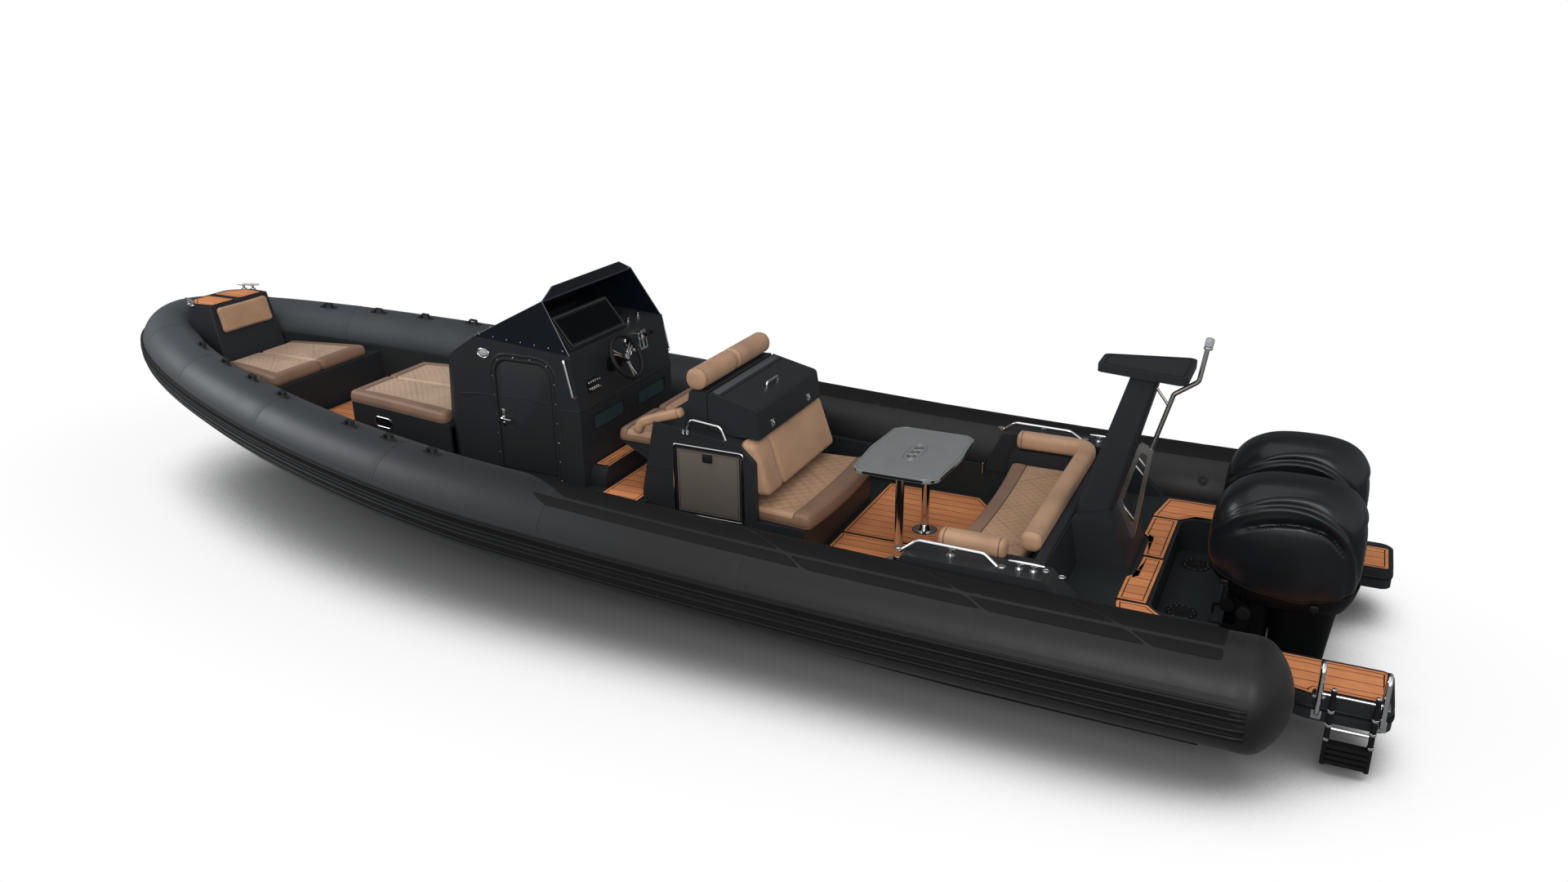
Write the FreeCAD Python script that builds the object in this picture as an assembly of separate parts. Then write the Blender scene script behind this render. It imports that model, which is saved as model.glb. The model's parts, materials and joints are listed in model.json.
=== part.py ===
import FreeCAD, Part
import math
import os

V = FreeCAD.Vector

# Frame: X forward, Y to port, Z up. Z = 0 is the waterline, the origin is amidships on the centreline.
# All sizes are in millimetres.

# Fits
SEAT = 0.3              # gap between a moulding and the collar that it is bonded to
SLOT = 2.0              # gap between two cushions, or a cushion and a wall beside it
DOOR_GAP = 6.0          # gap round a door or lid

# Collar, the inflatable tube that runs round the boat
TUBE_R = 312.0          # radius aft and amidships
TUBE_BOW_R = 227.0      # radius at the stem
TUBE_Y = 1391.0         # half the distance between the two tube centrelines
TUBE_Z = 502.0          # height of the tube centreline at the stern
TUBE_STERN_X = -4780.0  # where the round end cap starts
TUBE_CAP = 210.0        # length of the round end cap
CAP_KNUCKLE = 0.42      # radius of the cap's knuckle as a share of the tube's
TUBE_BEND_X = 55.0      # where the tube starts to turn in towards the bow
TUBE_BOW_X = 4605.0     # tube centreline on the stem
SHEER_RISE = 659.0      # how much higher the tube centreline is at the stem than at the stern
SHEER_POWER = 2.2
PLAN_X_POWER = 1.218
PLAN_Y_POWER = 1.074
RUNS_STRAIGHT = 6
RUNS_BEND = 9
PLAN_POINTS = 12        # points that shape the inner moulding's edge along the bend

# Rub strakes, angles round the tube from outboard
STRAKES = ((0.0, 16.0), (-23.0, -4.0))
STRAKE_BASE = 6.0
STRAKE_RIB = 16.0
STRAKE_SINK = 4.0       # depth below the skin that the strakes are cut back from

# Wear patches on the top of the tube
PATCH_T = 3.0
PATCH_ROWS = ((-140.0, 82.0, -91.0), (108.0, 172.0, -301.0))   # from, to across the tube, start along it
PATCH_ENDS = (-1660.0, -2760.0, -3650.0, -4650.0)
PATCH_SLANT = 2.0       # how far a panel's end runs aft for each millimetre outboard
PATCH_JOINT = 26.0

# Grab handles of the collar: place along the tube and angle from outboard
HANDLES = ((3626.0, 108.0), (3172.0, 104.0), (2736.0, 100.0), (2285.0, 94.0),
           (1471.0, 90.0), (1067.0, 90.0), (649.0, 90.0))
HANDLE_LENGTH = 150.0
HANDLE_HEIGHT = 42.0
HANDLE_WIDTH = 32.0
HANDLE_T = 9.0
HANDLE_FOOT = 34.0
HANDLE_SINK = 8.0       # depth below the skin that the feet are cut back from

# Hull
TRANSOM_X = -4540.0     # aft face of the transom
TRANSOM_T = 60.0
TRANSOM_TOP = 400.0
KEEL_Z = -500.0
KEEL_RISE_X = 300.0     # where the keel starts to rise to the stem
STEM_X = 4480.0
STEM_Z = 800.0
KEEL_POWER = 2.5
CHINE_Y_SHARE = 0.86    # chine offset as a share of the tube centreline's
CHINE_DROP_AFT = 220.0  # chine below the bottom of the tube at the transom
CHINE_DROP_BOW = 40.0
CHINE_FLAT = 70.0
HULL_SECTIONS = 12
LINER = 36.0            # wall of the inner moulding along the tube
BOTTOM_T = 45.0         # least thickness of the bottom under a well
LIP = 18.0              # lip of the inner moulding above the tube centreline
RAIL_SHARES = (0.36, 0.68)   # spray rails on the bottom, as shares of the chine offset
RAIL_W = 46.0
RAIL_H = 26.0

# Decks
BOW_DECK_Z = 580.0
COCKPIT_Z = 290.0
AFT_DECK_Z = 520.0
STEP_X = -640.0         # where the bow deck steps down to the cockpit
COCKPIT_AFT_X = -3480.0
WELL_Z = 300.0
WELL_FORE_X = -4142.0
WELL_HALF = 720.0
WELL_CORNER = 110.0
TEAK_T = 6.0
TEAK_MARGIN = 45.0

# Bow
BOW_WALL_X = 3860.0     # forward end of the bow well
BOW_SHELF_X = 4330.0    # forward end of the shelf under the bow moulding
BOW_TOP_Z = 1460.0
BOW_TOP_AFT_X = 3885.0
BOW_FOOT_X = 3762.0     # aft face of the bow moulding at the height of the seat
BOW_TOP_FORE_X = 4278.0
BOW_TOP_HALF = 335.0
BOW_TOP_NOSE = 215.0    # half width of the flat nose
BOW_LOCKER_X = 2970.0
BOW_SEAT_Z = 915.0
BOW_CUSHION_T = 95.0
BOW_CUSHION_AFT_HALF = 540.0
BOW_CUSHION_FORE_HALF = 385.0
BOW_CUSHION_X = (3000.0, 3745.0)
BOW_PAD_HALF = 262.0
BOW_PAD_Z = (1224.0, 1435.0)
BOW_PAD_T = 46.0
CLEAT_LENGTH = 210.0
CLEAT_HEIGHT = 48.0
CLEAT_BAR = 18.0

# Console
CONSOLE_HALF = 640.0
CONSOLE_AFT_X = -120.0
CONSOLE_SEAM_Z = 1180.0
CONSOLE_TOP_AFT = (-61.0, 1577.0)
CONSOLE_TOP_FORE = (770.0, 1635.0)
CONSOLE_BROW = (1100.0, 1420.0)
CONSOLE_FORE_X = 1170.0
CONSOLE_WAIST_Z = 880.0
CONSOLE_BEVEL = 130.0
WALL = 24.0
SEAT_BASE_X = 2285.0
SEAT_BASE_HALF_AFT = 600.0
SEAT_BASE_HALF_FORE = 450.0
SEAT_BASE_Z = 872.0
FRONT_CUSHION_T = 95.0
FOOT_STEP = (130.0, 150.0)   # depth, height
FOOT_STEP_HALF = 560.0
DOOR_X = (120.0, 600.0)
DOOR_Z = (640.0, 1480.0)
DOOR_T = 22.0
DOOR_CORNER = 110.0
LOCKER_WINDOWS = ((75.0, 475.0), (-530.0, -130.0))
LOCKER_WINDOW_Z = (985.0, 1095.0)
GLASS_T = 8.0
SCREEN_TOP = (174.0, 1941.0)
SCREEN_TOP_HALF = 587.0
SCREEN_LIP_Z = 2016.0
SCREEN_LIP_HALF = 440.0
TRAY_Z = 1500.0
DISPLAY_Y = (-160.0, 540.0)
DISPLAY_FOOT = (-20.0, 1600.0)
DISPLAY_HEAD = (150.0, 1806.0)
DISPLAY_T = 12.0
SWITCH_CENTRE = (428.0, 1318.0)
SWITCH_SIZE = (150.0, 96.0)
WHEEL_CENTRE = (-235.0, 170.0, 1472.0)
WHEEL_TILT = 28.0
WHEEL_R = 182.0
WHEEL_RIM_R = 15.0
THROTTLE_Y = -255.0
THROTTLE_Z = 1470.0

# Helm and galley module
MODULE_HALF = 620.0
MODULE_FRONT = ((-602.0, 657.0), (-714.0, 1185.0))
MODULE_LEDGE_AFT = (-1280.0, 1115.0)
MODULE_AFT_X = -1494.0
BACKREST_WALL_X = -1372.0
BENCH_AFT_X = -1860.0
BENCH_Z = 560.0
LID_HALF = 513.0
LID_HINGE = (-1090.0, 1411.0)
LID_AFT_TOP = (-1456.0, 1327.0)
LID_AFT_FOOT = (-1490.0, 1119.0)
LID_WALL = 12.0
SEAT_BACK_FORE_X = -905.0
FRIDGE_X = (-1385.0, -886.0)
FRIDGE_Z = (540.0, 1022.0)
FRIDGE_T = 22.0
FRIDGE_DEPTH = 400.0
ROLL_R = 78.0
ROLL_CENTRE = (-1000.0, 1492.0)
ROLL_HALF = 525.0
HELM_SEAT_FORE_X = -350.0
HELM_SEAT_Z = 960.0
HELM_SEAT_T = 95.0
HELM_SEAT_HALF = 520.0
HELM_SEAT_SPLIT = 12.0
HELM_PAN_DROP = 180.0   # depth of the wedge under each bolster seat
ARM_X = (-935.0, -545.0)
ARM_TOP_Z = 1302.0
ARM_WIDTH = 78.0
BENCH_CUSHION_T = 105.0
BENCH_CUSHION_HALF = 635.0
BENCH_CUSHION_X = (-1886.0, -1380.0)
BENCH_CUSHION_BOW = 40.0   # how far its aft edge bows out
BACKREST_Z = (735.0, 1112.0)
BACKREST_T = (104.0, 230.0)   # at the top and at the foot
BACKREST_SPLIT_Y = 330.0

# Table
TABLE_X = (-2720.0, -2120.0)
TABLE_HALF = 460.0
TABLE_Z = 1000.0
TABLE_T = 26.0
TABLE_LEG_Y = 280.0
TABLE_LEG_X = -2415.0
TABLE_LEG_R = 30.0
TABLE_FOOT_R = 85.0

# Stern seat and side mouldings
SIDE_TOP_Z = 840.0
SIDE_X = (-3960.0, -2640.0)
SIDE_OUTER = 1225.0
SIDE_INNER = 850.0
ARM_INNER = 850.0
STERN_SEAT_X = (-3360.0, -2900.0)
STERN_SEAT_Z = 600.0
STERN_CUSHION_T = 105.0
STERN_BACK_X = (-3560.0, -3495.0)
BOLSTER_R = 66.0
ARM_ROLL_Y = 920.0
ARM_ROLL_Z = 852.0
ARM_ROLL_FORE = -2900.0
ARM_ROLL_AFT = -3328.0  # aft end of the port arm roll
BACK_ROLL_X = -3430.0
BACK_ROLL_END = 790.0   # port end of the back roll
STERN_CUSHION_BOW = 46.0   # how far its forward edge curves in

# Mast
MAST_HALF = 155.0
MAST_FOOT_X = (-3712.0, -3470.0)
MAST_HEAD_X = (-3992.0, -3822.0)
WING_Z = (1768.0, 1816.0)
WING_X = (-4168.0, -3617.0)
WING_HALF = (240.0, 125.0)
FRAME_HEEL = (-3796.0, 880.0)     # step frame's corners in side view, from the pillar round
FRAME_HEAD = (-3900.0, 1300.0)
FRAME_SHOULDER = (-3988.0, 1262.0)
FRAME_TOE = (-3922.0, 610.0)
FRAME_HALF = 17.0
LEG_R = 15.0
LEG_JOINT = (-4060.0, 1598.0)

# Swim platforms and ladder
PLATFORM_INNER = 665.0
PLATFORM_OUTER = 1120.0
PLATFORM_X = (-5480.0, -4700.0)
PLATFORM_Z = 400.0
PLATFORM_T = 130.0
HOOP_X = (-5425.0, -5108.0)
HOOP_R = 15.0
HOOP_FOOT = 66.0        # hoop's foot inboard of the platform's edge
LADDER_X = (-5390.0, -5175.0)
LADDER_Y = 1172.0
LADDER_PIVOT_Z = 470.0
LADDER_FOOT_Z = 50.0
LADDER_R = 15.0
RUNGS = 4

# Outboard engines, local x forward of the steering axis
ENGINE_Y = 370.0
SWIVEL_X = -4740.0
TILT_X = 90.0
TILT_Z = 520.0
TILT_PIN_R = 18.0
POST_R = 28.0
SLEEVE_R = 52.0
SLEEVE_Z = (-140.0, 552.0)
PIN_FIT = 0.4
YOKE_GAP = 9.0          # between the sleeve and the yokes of the steering post
CHEEK_Y = (118.0, 140.0)
CHEEK_LIP = 12.0        # thickness of the hooks over the transom
COWL_WALL = 7.0
SHAFT_Z = -700.0
TORPEDO_R = 62.0
PROP_X = -305.0
PROP_R = 203.0
PROP_HUB = 150.0
PROP_HUB_R = 56.0
PROP_GAP = 6.0          # between the gearcase and the hub
PROP_SHAFT_R = 15.0
PROP_PITCH = 480.0
BLADES = 4


def rounded_edges(points, radii):
    """Edges of a closed outline through coplanar points, each corner an arc of its own radius."""
    count = len(points)
    if not isinstance(radii, (list, tuple)):
        radii = [radii] * count
    corners = []
    for i, corner in enumerate(points):
        before = points[i - 1] - corner
        after = points[(i + 1) % count] - corner
        half = before.getAngle(after) / 2.0
        reach = min(radii[i] / math.tan(half), 0.48 * before.Length, 0.48 * after.Length)
        if reach < 0.01:
            corners.append((corner, None, corner))
            continue
        first = corner + V(before).normalize() * reach
        last = corner + V(after).normalize() * reach
        middle = (first + last) * 0.5 - corner
        radius = reach * math.tan(half)
        crown = corner + V(middle).normalize() * (radius / math.sin(half) - radius)
        corners.append((first, crown, last))
    edges = []
    for i, (first, crown, last) in enumerate(corners):
        if crown is not None:
            edges.append(Part.Arc(first, crown, last).toShape())
        following = corners[(i + 1) % count][0]
        if last.distanceToPoint(following) > 0.01:
            edges.append(Part.LineSegment(last, following).toShape())
    return edges


def outline(points, radii=0.0):
    return Part.Wire(rounded_edges(points, radii))


def plate(points, radii, direction):
    """Flat outline with rounded corners, thickened along a direction."""
    return Part.Face(outline(points, radii)).extrude(direction)


def side_prism(profile, y0, y1, radii=0.0):
    """Side view outline of (x, z) points, extruded across the boat."""
    return plate([V(x, y0, z) for x, z in profile], radii, V(0, y1 - y0, 0))


def plan_prism(profile, z0, z1, radii=0.0):
    """Top view outline of (x, y) points, extruded upwards."""
    return plate([V(x, y, z0) for x, y in profile], radii, V(0, 0, z1 - z0))


def cross_prism(profile, x0, x1, radii=0.0):
    """Cross section of (y, z) points, extruded along the boat."""
    return plate([V(x0, y, z) for y, z in profile], radii, V(x1 - x0, 0, 0))


def block(x, y, z):
    return Part.makeBox(x[1] - x[0], y[1] - y[0], z[1] - z[0], V(x[0], y[0], z[0]))


def rod(start, end, radius):
    direction = end - start
    return Part.makeCylinder(radius, direction.Length, start, direction)


def mirrored(shape):
    return shape.mirror(V(0, 0, 0), V(0, 1, 0))


def both_sides(shape):
    return [shape, mirrored(shape)]


def fused(shapes):
    result = shapes[0]
    if len(shapes) > 1:
        result = shapes[0].multiFuse(shapes[1:])
    return result.removeSplitter()


def bent_rail(points, radius, bend):
    """Round bar along a polyline whose corners are arcs."""
    edges = []
    start = points[0]
    for i in range(1, len(points) - 1):
        before = points[i - 1] - points[i]
        after = points[i + 1] - points[i]
        half = before.getAngle(after) / 2.0
        reach = min(bend / math.tan(half), 0.45 * before.Length, 0.45 * after.Length)
        first = points[i] + V(before).normalize() * reach
        last = points[i] + V(after).normalize() * reach
        middle = (first + last) * 0.5 - points[i]
        arc = reach * math.tan(half)
        crown = points[i] + V(middle).normalize() * (arc / math.sin(half) - arc)
        edges.append(Part.LineSegment(start, first).toShape())
        edges.append(Part.Arc(first, crown, last).toShape())
        start = last
    edges.append(Part.LineSegment(start, points[-1]).toShape())
    ring = Part.Wire(Part.makeCircle(radius, points[0], points[1] - points[0]))
    return Part.Wire(edges).makePipeShell([ring], True, False)


def solids_of(shape):
    if isinstance(shape, (list, tuple)):
        found = []
        for item in shape:
            found += item.Solids
        return found
    return shape.Solids


def write(name, shape):
    """Exports one named piece, with all its solids."""
    pieces = solids_of(shape)
    body = pieces[0] if len(pieces) == 1 else Part.makeCompound(pieces)
    body.exportStep("parts/" + name + ".step")


# The collar's centreline


def sheer(x):
    """Height of the tube centreline."""
    share = (x - (TUBE_STERN_X - TUBE_CAP / 1.65)) / (TUBE_BOW_X - (TUBE_STERN_X - TUBE_CAP / 1.65))
    return TUBE_Z + SHEER_RISE * max(share, 0.0) ** SHEER_POWER


def tube_radius(x):
    if x <= TUBE_BEND_X:
        return TUBE_R
    share = (x - TUBE_BEND_X) / (TUBE_BOW_X - TUBE_BEND_X)
    return TUBE_R + (TUBE_BOW_R - TUBE_R) * share


def collar_point(turn):
    """Centreline point of the port tube, by its share of the turn in to the bow."""
    angle = turn * math.pi / 2.0
    x = TUBE_BEND_X + (TUBE_BOW_X - TUBE_BEND_X) * math.sin(angle) ** PLAN_X_POWER
    y = TUBE_Y * max(math.cos(angle), 0.0) ** PLAN_Y_POWER
    return V(x, y, sheer(x))


def collar_stations(x_aft=TUBE_STERN_X):
    """Centre, radius, outboard and up directions of sections along the port tube."""
    centres = []
    for i in range(RUNS_STRAIGHT):
        x = x_aft + (TUBE_BEND_X - x_aft) * i / RUNS_STRAIGHT
        centres.append((V(x, TUBE_Y, sheer(x)), V(1, 0, 0)))
    step = 0.0005
    for i in range(RUNS_BEND + 1):
        turn = i / RUNS_BEND
        if i == 0:
            heading = V(1, 0, 0)
        elif i == RUNS_BEND:
            heading = V(0, -1, 0)
        else:
            heading = collar_point(turn + step) - collar_point(turn - step)
        centres.append((collar_point(turn), heading))
    stations = []
    for centre, heading in centres:
        level = V(heading.x, heading.y, 0).normalize()
        out = V(0, 0, 1).cross(level)
        up = V(heading).normalize().cross(out)
        stations.append((centre, tube_radius(centre.x), out, up))
    return stations


def round_the_bow(stations):
    """The port stations followed by their starboard mirror images."""
    other = []
    for centre, radius, out, up in reversed(stations[:-1]):
        other.append((V(centre.x, -centre.y, centre.z), radius, V(out.x, -out.y, 0), V(up.x, -up.y, up.z)))
    return stations + other


def on_section(station, angle, height):
    """Point of a tube section at an angle from outboard and a height above the skin."""
    centre, radius, out, up = station
    turn = math.radians(angle)
    return centre + out * ((radius + height) * math.cos(turn)) + up * ((radius + height) * math.sin(turn))


def ring(station, height):
    centre, radius, out, up = station
    points = [on_section(station, angle, height) for angle in (-90.0, 30.0, 150.0)]
    return Part.Wire(Part.Circle(points[0], points[1], points[2]).toShape())


def along_tube(section):
    """Body with a given section at every station, from the port stern round the bow to starboard."""
    stations = collar_stations()
    straight = Part.makeLoft([section(s) for s in stations[:RUNS_STRAIGHT]], True, False)
    past_stem = round_the_bow(stations[RUNS_STRAIGHT - 1:])[:RUNS_BEND + 4]
    bend = Part.makeLoft([section(s) for s in past_stem], True, False)
    reach = 2.0 * TUBE_BOW_X
    bend = bend.common(block((-reach, reach), (0.0, reach), (-reach, reach)))
    half = straight.fuse(bend)
    return half.fuse(mirrored(half))


def end_cap(station, height):
    """Dished cone at the stern end of a tube: a knuckle arc that runs into a wide crown arc."""
    centre, radius, out, up = station
    rim = radius + height
    length = TUBE_CAP + height
    knuckle = rim * CAP_KNUCKLE
    bend = V(rim - knuckle, 0, 0)
    crown_r = (bend.x ** 2 + length ** 2 - knuckle ** 2) / (2.0 * (length - knuckle))
    crown_c = V(0, length - crown_r, 0)
    lean = math.atan2(bend.y - crown_c.y, bend.x - crown_c.x)
    meet = bend + V(math.cos(lean), math.sin(lean), 0) * knuckle
    half_lean = lean / 2.0
    shoulder = bend + V(math.cos(half_lean), math.sin(half_lean), 0) * knuckle
    half_crown = (lean + math.pi / 2.0) / 2.0
    top = crown_c + V(math.cos(half_crown), math.sin(half_crown), 0) * crown_r
    edges = [Part.LineSegment(V(0, 0, 0), V(rim, 0, 0)).toShape(),
             Part.Arc(V(rim, 0, 0), shoulder, meet).toShape(),
             Part.Arc(meet, top, V(0, length, 0)).toShape(),
             Part.LineSegment(V(0, length, 0), V(0, 0, 0)).toShape()]
    cap = Part.Face(Part.Wire(edges)).revolve(V(0, 0, 0), V(0, 1, 0), 360.0)
    cap.Placement = FreeCAD.Placement(centre, FreeCAD.Rotation(V(0, 0, 1), 90.0))
    return cap


def tube(height):
    """The whole tube, its skin moved out by a height."""
    cap = end_cap(collar_stations()[0], height)
    body = along_tube(lambda station: ring(station, height))
    return body.multiFuse([cap, mirrored(cap)])


def inner_y(x, gap):
    """Distance from the centreline to the tube's inner skin, less a gap, at a place along the boat."""
    if x <= TUBE_BEND_X:
        return TUBE_Y - TUBE_R - gap
    low, high = 0.0, 1.0
    point = V(0, 0, 0)
    for _ in range(40):
        turn = (low + high) / 2.0
        step = min(0.001, turn / 2.0, (1.0 - turn) / 2.0)
        heading = collar_point(turn + step) - collar_point(turn - step)
        level = V(heading.x, heading.y, 0).normalize()
        out = V(0, 0, 1).cross(level)
        centre = collar_point(turn)
        point = centre - out * (tube_radius(centre.x) + gap)
        if point.x < x:
            low = turn
        else:
            high = turn
    return point.y


def inboard_plan(x_aft, x_fore, gap, z0, z1):
    """Solid with the plan outline of the space between the tubes, from one place to another along the boat."""
    aft = V(2.0 * TRANSOM_X, inner_y(TUBE_BEND_X, gap), z0)
    bend = V(TUBE_BEND_X, inner_y(TUBE_BEND_X, gap), z0)
    points = []
    for i in range(PLAN_POINTS + 1):
        x = TUBE_BEND_X + (BOW_SHELF_X - TUBE_BEND_X) * i / PLAN_POINTS
        points.append(V(x, inner_y(x, gap), z0))
    curve = Part.BSplineCurve()
    curve.interpolate(points)
    edges = [Part.LineSegment(aft, bend).toShape(), curve.toShape()]
    edges += [mirrored(edge) for edge in edges]
    for corner in (aft, points[-1]):
        edges.append(Part.LineSegment(corner, V(corner.x, -corner.y, z0)).toShape())
    wire = Part.Wire(Part.__sortEdges__(edges))
    whole = Part.Face(wire).extrude(V(0, 0, z1 - z0))
    return whole.common(block((x_aft, x_fore), (-TUBE_Y, TUBE_Y), (z0, z1)))


# Collar and what is bonded to it


def strake_section(station, low, high):
    span = high - low
    layout = ((0.0, -STRAKE_SINK), (0.0, STRAKE_BASE), (0.10, STRAKE_RIB), (0.34, STRAKE_RIB), (0.44, STRAKE_BASE),
              (0.56, STRAKE_BASE), (0.66, STRAKE_RIB), (0.90, STRAKE_RIB), (1.0, STRAKE_BASE),
              (1.0, -STRAKE_SINK))
    corners = [on_section(station, low + span * share, height) for share, height in layout]
    edges = [Part.LineSegment(a, b).toShape() for a, b in zip(corners, corners[1:])]
    seat = on_section(station, low + span / 2.0, -STRAKE_SINK)
    edges.append(Part.Arc(corners[-1], seat, corners[0]).toShape())
    return Part.Wire(edges)


def rub_strakes(skin):
    """Two ribbed rubber strakes along the outboard side, each with two raised ribs, seated on the tube."""
    bands = []
    for low, high in STRAKES:
        band = along_tube(lambda station: strake_section(station, low, high)).cut(skin)
        largest = max(solid.Volume for solid in band.Solids)
        bands += [solid for solid in band.Solids if solid.Volume > 0.2 * largest]
    return bands


def straight_skin(height):
    """The straight part of the port tube, its skin moved out by a height."""
    stations = collar_stations()[:RUNS_STRAIGHT]
    return Part.makeLoft([ring(s, height) for s in stations], True, False)


def wear_patches():
    """Thin rubber panels on the top of the tube, in two rows with slanted ends."""
    skin = straight_skin(SEAT + PATCH_T).cut(straight_skin(SEAT))
    panels = []
    for inner, outer, start in PATCH_ROWS:
        fore = start
        for end in PATCH_ENDS:
            slant = PATCH_SLANT * (outer - inner)
            lead = PATCH_SLANT * (inner - PATCH_ROWS[0][0]) if fore != start else 0.0
            tail = PATCH_SLANT * (inner - PATCH_ROWS[0][0])
            if end == PATCH_ENDS[-1]:
                tail = 0.0
                slant_aft = 0.0
            else:
                slant_aft = slant
            corners = [(fore - lead, TUBE_Y + inner), (fore - lead - slant, TUBE_Y + outer),
                       (end - tail - slant_aft + PATCH_JOINT, TUBE_Y + outer),
                       (end - tail + PATCH_JOINT, TUBE_Y + inner)]
            panel = skin.common(plan_prism(corners, TUBE_Z, TUBE_Z + 3.0 * TUBE_R, 18.0))
            panels += panel.Solids
            fore = end
    return panels + [mirrored(panel) for panel in panels]


def station_at(x):
    """Tube section at a place along the port side."""
    if x <= TUBE_BEND_X:
        return V(x, TUBE_Y, sheer(x)), TUBE_R, V(0, 1, 0), V(0, 0, 1)
    turn = math.asin(((x - TUBE_BEND_X) / (TUBE_BOW_X - TUBE_BEND_X)) ** (1.0 / PLAN_X_POWER)) * 2.0 / math.pi
    heading = collar_point(turn + 0.0005) - collar_point(turn - 0.0005)
    level = V(heading.x, heading.y, 0).normalize()
    out = V(0, 0, 1).cross(level)
    up = V(heading).normalize().cross(out)
    return collar_point(turn), tube_radius(x), out, up


def grab_handle(x, angle):
    """One bridge handle with two feet, standing on the tube."""
    station = station_at(x)
    centre, radius, out, up = station
    turn = math.radians(angle)
    normal = out * math.cos(turn) + up * math.sin(turn)
    along = out.cross(up)
    across = normal.cross(along)
    foot = on_section(station, angle, -HANDLE_SINK) - across * (HANDLE_WIDTH / 2.0)
    half = HANDLE_LENGTH / 2.0
    rise = half - HANDLE_FOOT
    pad = HANDLE_SINK + HANDLE_T
    top = HANDLE_SINK + HANDLE_HEIGHT
    path = ((-half, 0.0), (-rise + HANDLE_T, 0.0), (-rise * 0.72, top - HANDLE_T),
            (rise * 0.72, top - HANDLE_T), (rise - HANDLE_T, 0.0), (half, 0.0), (half, pad),
            (rise, pad), (rise * 0.82, top), (-rise * 0.82, top), (-rise, pad), (-half, pad))
    corners = [foot + along * a + normal * n for a, n in path]
    return plate(corners, 6.0, across * HANDLE_WIDTH)


def grab_handles(skin):
    port = []
    for x, angle in HANDLES:
        handle = grab_handle(x, angle).cut(skin)
        port.append(max(handle.Solids, key=lambda solid: solid.Volume))
    return port + [mirrored(handle) for handle in port]


# Hull


def keel_height(x):
    if x <= KEEL_RISE_X:
        return KEEL_Z
    share = (x - KEEL_RISE_X) / (STEM_X - KEEL_RISE_X)
    return KEEL_Z + (STEM_Z - KEEL_Z) * share ** KEEL_POWER


def hull_section(x):
    """Half breadths and heights of one cross section, from the keel to the deck."""
    centre = station_at(x)[0]
    radius = tube_radius(x)
    share = max(0.0, (x - TRANSOM_X) / (STEM_X - TRANSOM_X))
    drop = CHINE_DROP_AFT + (CHINE_DROP_BOW - CHINE_DROP_AFT) * share ** 1.5
    chine_y = CHINE_Y_SHARE * centre.y
    chine_z = centre.z - radius - drop
    keel = keel_height(x)
    flat = min(CHINE_FLAT, 0.3 * chine_y)
    return keel, chine_y, chine_z, flat, centre, radius


def hull_loft(lift=0.0):
    """Deep vee hull with chine flats, its top tucked under the tube."""
    wires = []
    for i in range(HULL_SECTIONS + 1):
        x = TRANSOM_X + (STEM_X - TRANSOM_X) * i / HULL_SECTIONS
        keel, chine_y, chine_z, flat, centre, radius = hull_section(x)
        half = [(chine_y - flat, chine_z), (chine_y, chine_z + 4.0),
                (centre.y - 0.12 * radius, centre.z - 0.72 * radius), (centre.y - 0.55 * radius, centre.z + LIP)]
        corners = [V(x, 0, keel)] + [V(x, y, z) for y, z in half] + [V(x, -y, z) for y, z in reversed(half)]
        wires.append(Part.makePolygon(corners + [corners[0]]))
    loft = Part.makeLoft(wires, True, False)
    loft.translate(V(0, 0, lift))
    return loft


def spray_rails():
    """Triangular rails along the bottom that run out before the stem."""
    rails = []
    for share in RAIL_SHARES:
        wires = []
        count = 6
        for i in range(count + 1):
            x = TRANSOM_X + (0.62 * (STEM_X - TRANSOM_X)) * i / count
            keel, chine_y, chine_z, flat, centre, radius = hull_section(x)
            edge = chine_y - flat
            slope = (chine_z - keel) / edge
            y = share * edge
            fade = 1.0 - 0.8 * (i / count) ** 3
            z = keel + slope * y
            width = RAIL_W * fade
            corners = [V(x, y - width, z - slope * width + 4.0), V(x, y, z - RAIL_H * fade),
                       V(x, y + 4.0, z + slope * 4.0 + 4.0)]
            wires.append(Part.makePolygon(corners + [corners[0]]))
        rail = Part.makeLoft(wires, True, False)
        rails += both_sides(rail)
    return rails


def hull(skin):
    """Hull and inner moulding, with the bow well, the cockpit and the engine well."""
    body = hull_loft().multiFuse(spray_rails())
    body = body.cut(skin)
    bow_well = inboard_plan(STEP_X, BOW_WALL_X, LINER, BOW_DECK_Z, 2.0 * BOW_TOP_Z).common(hull_loft(BOTTOM_T))
    bow_shelf = inboard_plan(BOW_WALL_X - 10.0, BOW_SHELF_X, LINER, BOW_SEAT_Z, BOW_TOP_Z).common(hull_loft(BOTTOM_T))
    cockpit = inboard_plan(COCKPIT_AFT_X, STEP_X, LINER, COCKPIT_Z, 2.0 * BOW_TOP_Z)
    well = plan_prism([(TRANSOM_X + TRANSOM_T, -WELL_HALF), (WELL_FORE_X, -WELL_HALF), (WELL_FORE_X, WELL_HALF),
                       (TRANSOM_X + TRANSOM_T, WELL_HALF)], WELL_Z, BOW_TOP_Z, [0.0, WELL_CORNER, WELL_CORNER, 0.0])
    notch = block((TRANSOM_X - 10.0, TRANSOM_X + TRANSOM_T + 10.0), (-WELL_HALF, WELL_HALF),
                  (TRANSOM_TOP, BOW_TOP_Z))
    level = block((TRANSOM_X - 10.0, COCKPIT_AFT_X + 1.0), (-TUBE_Y, TUBE_Y), (AFT_DECK_Z, BOW_TOP_Z))
    body = body.cut([bow_well, bow_shelf, cockpit, well, notch, level])
    return max(body.Solids, key=lambda solid: solid.Volume)


# Teak


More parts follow.
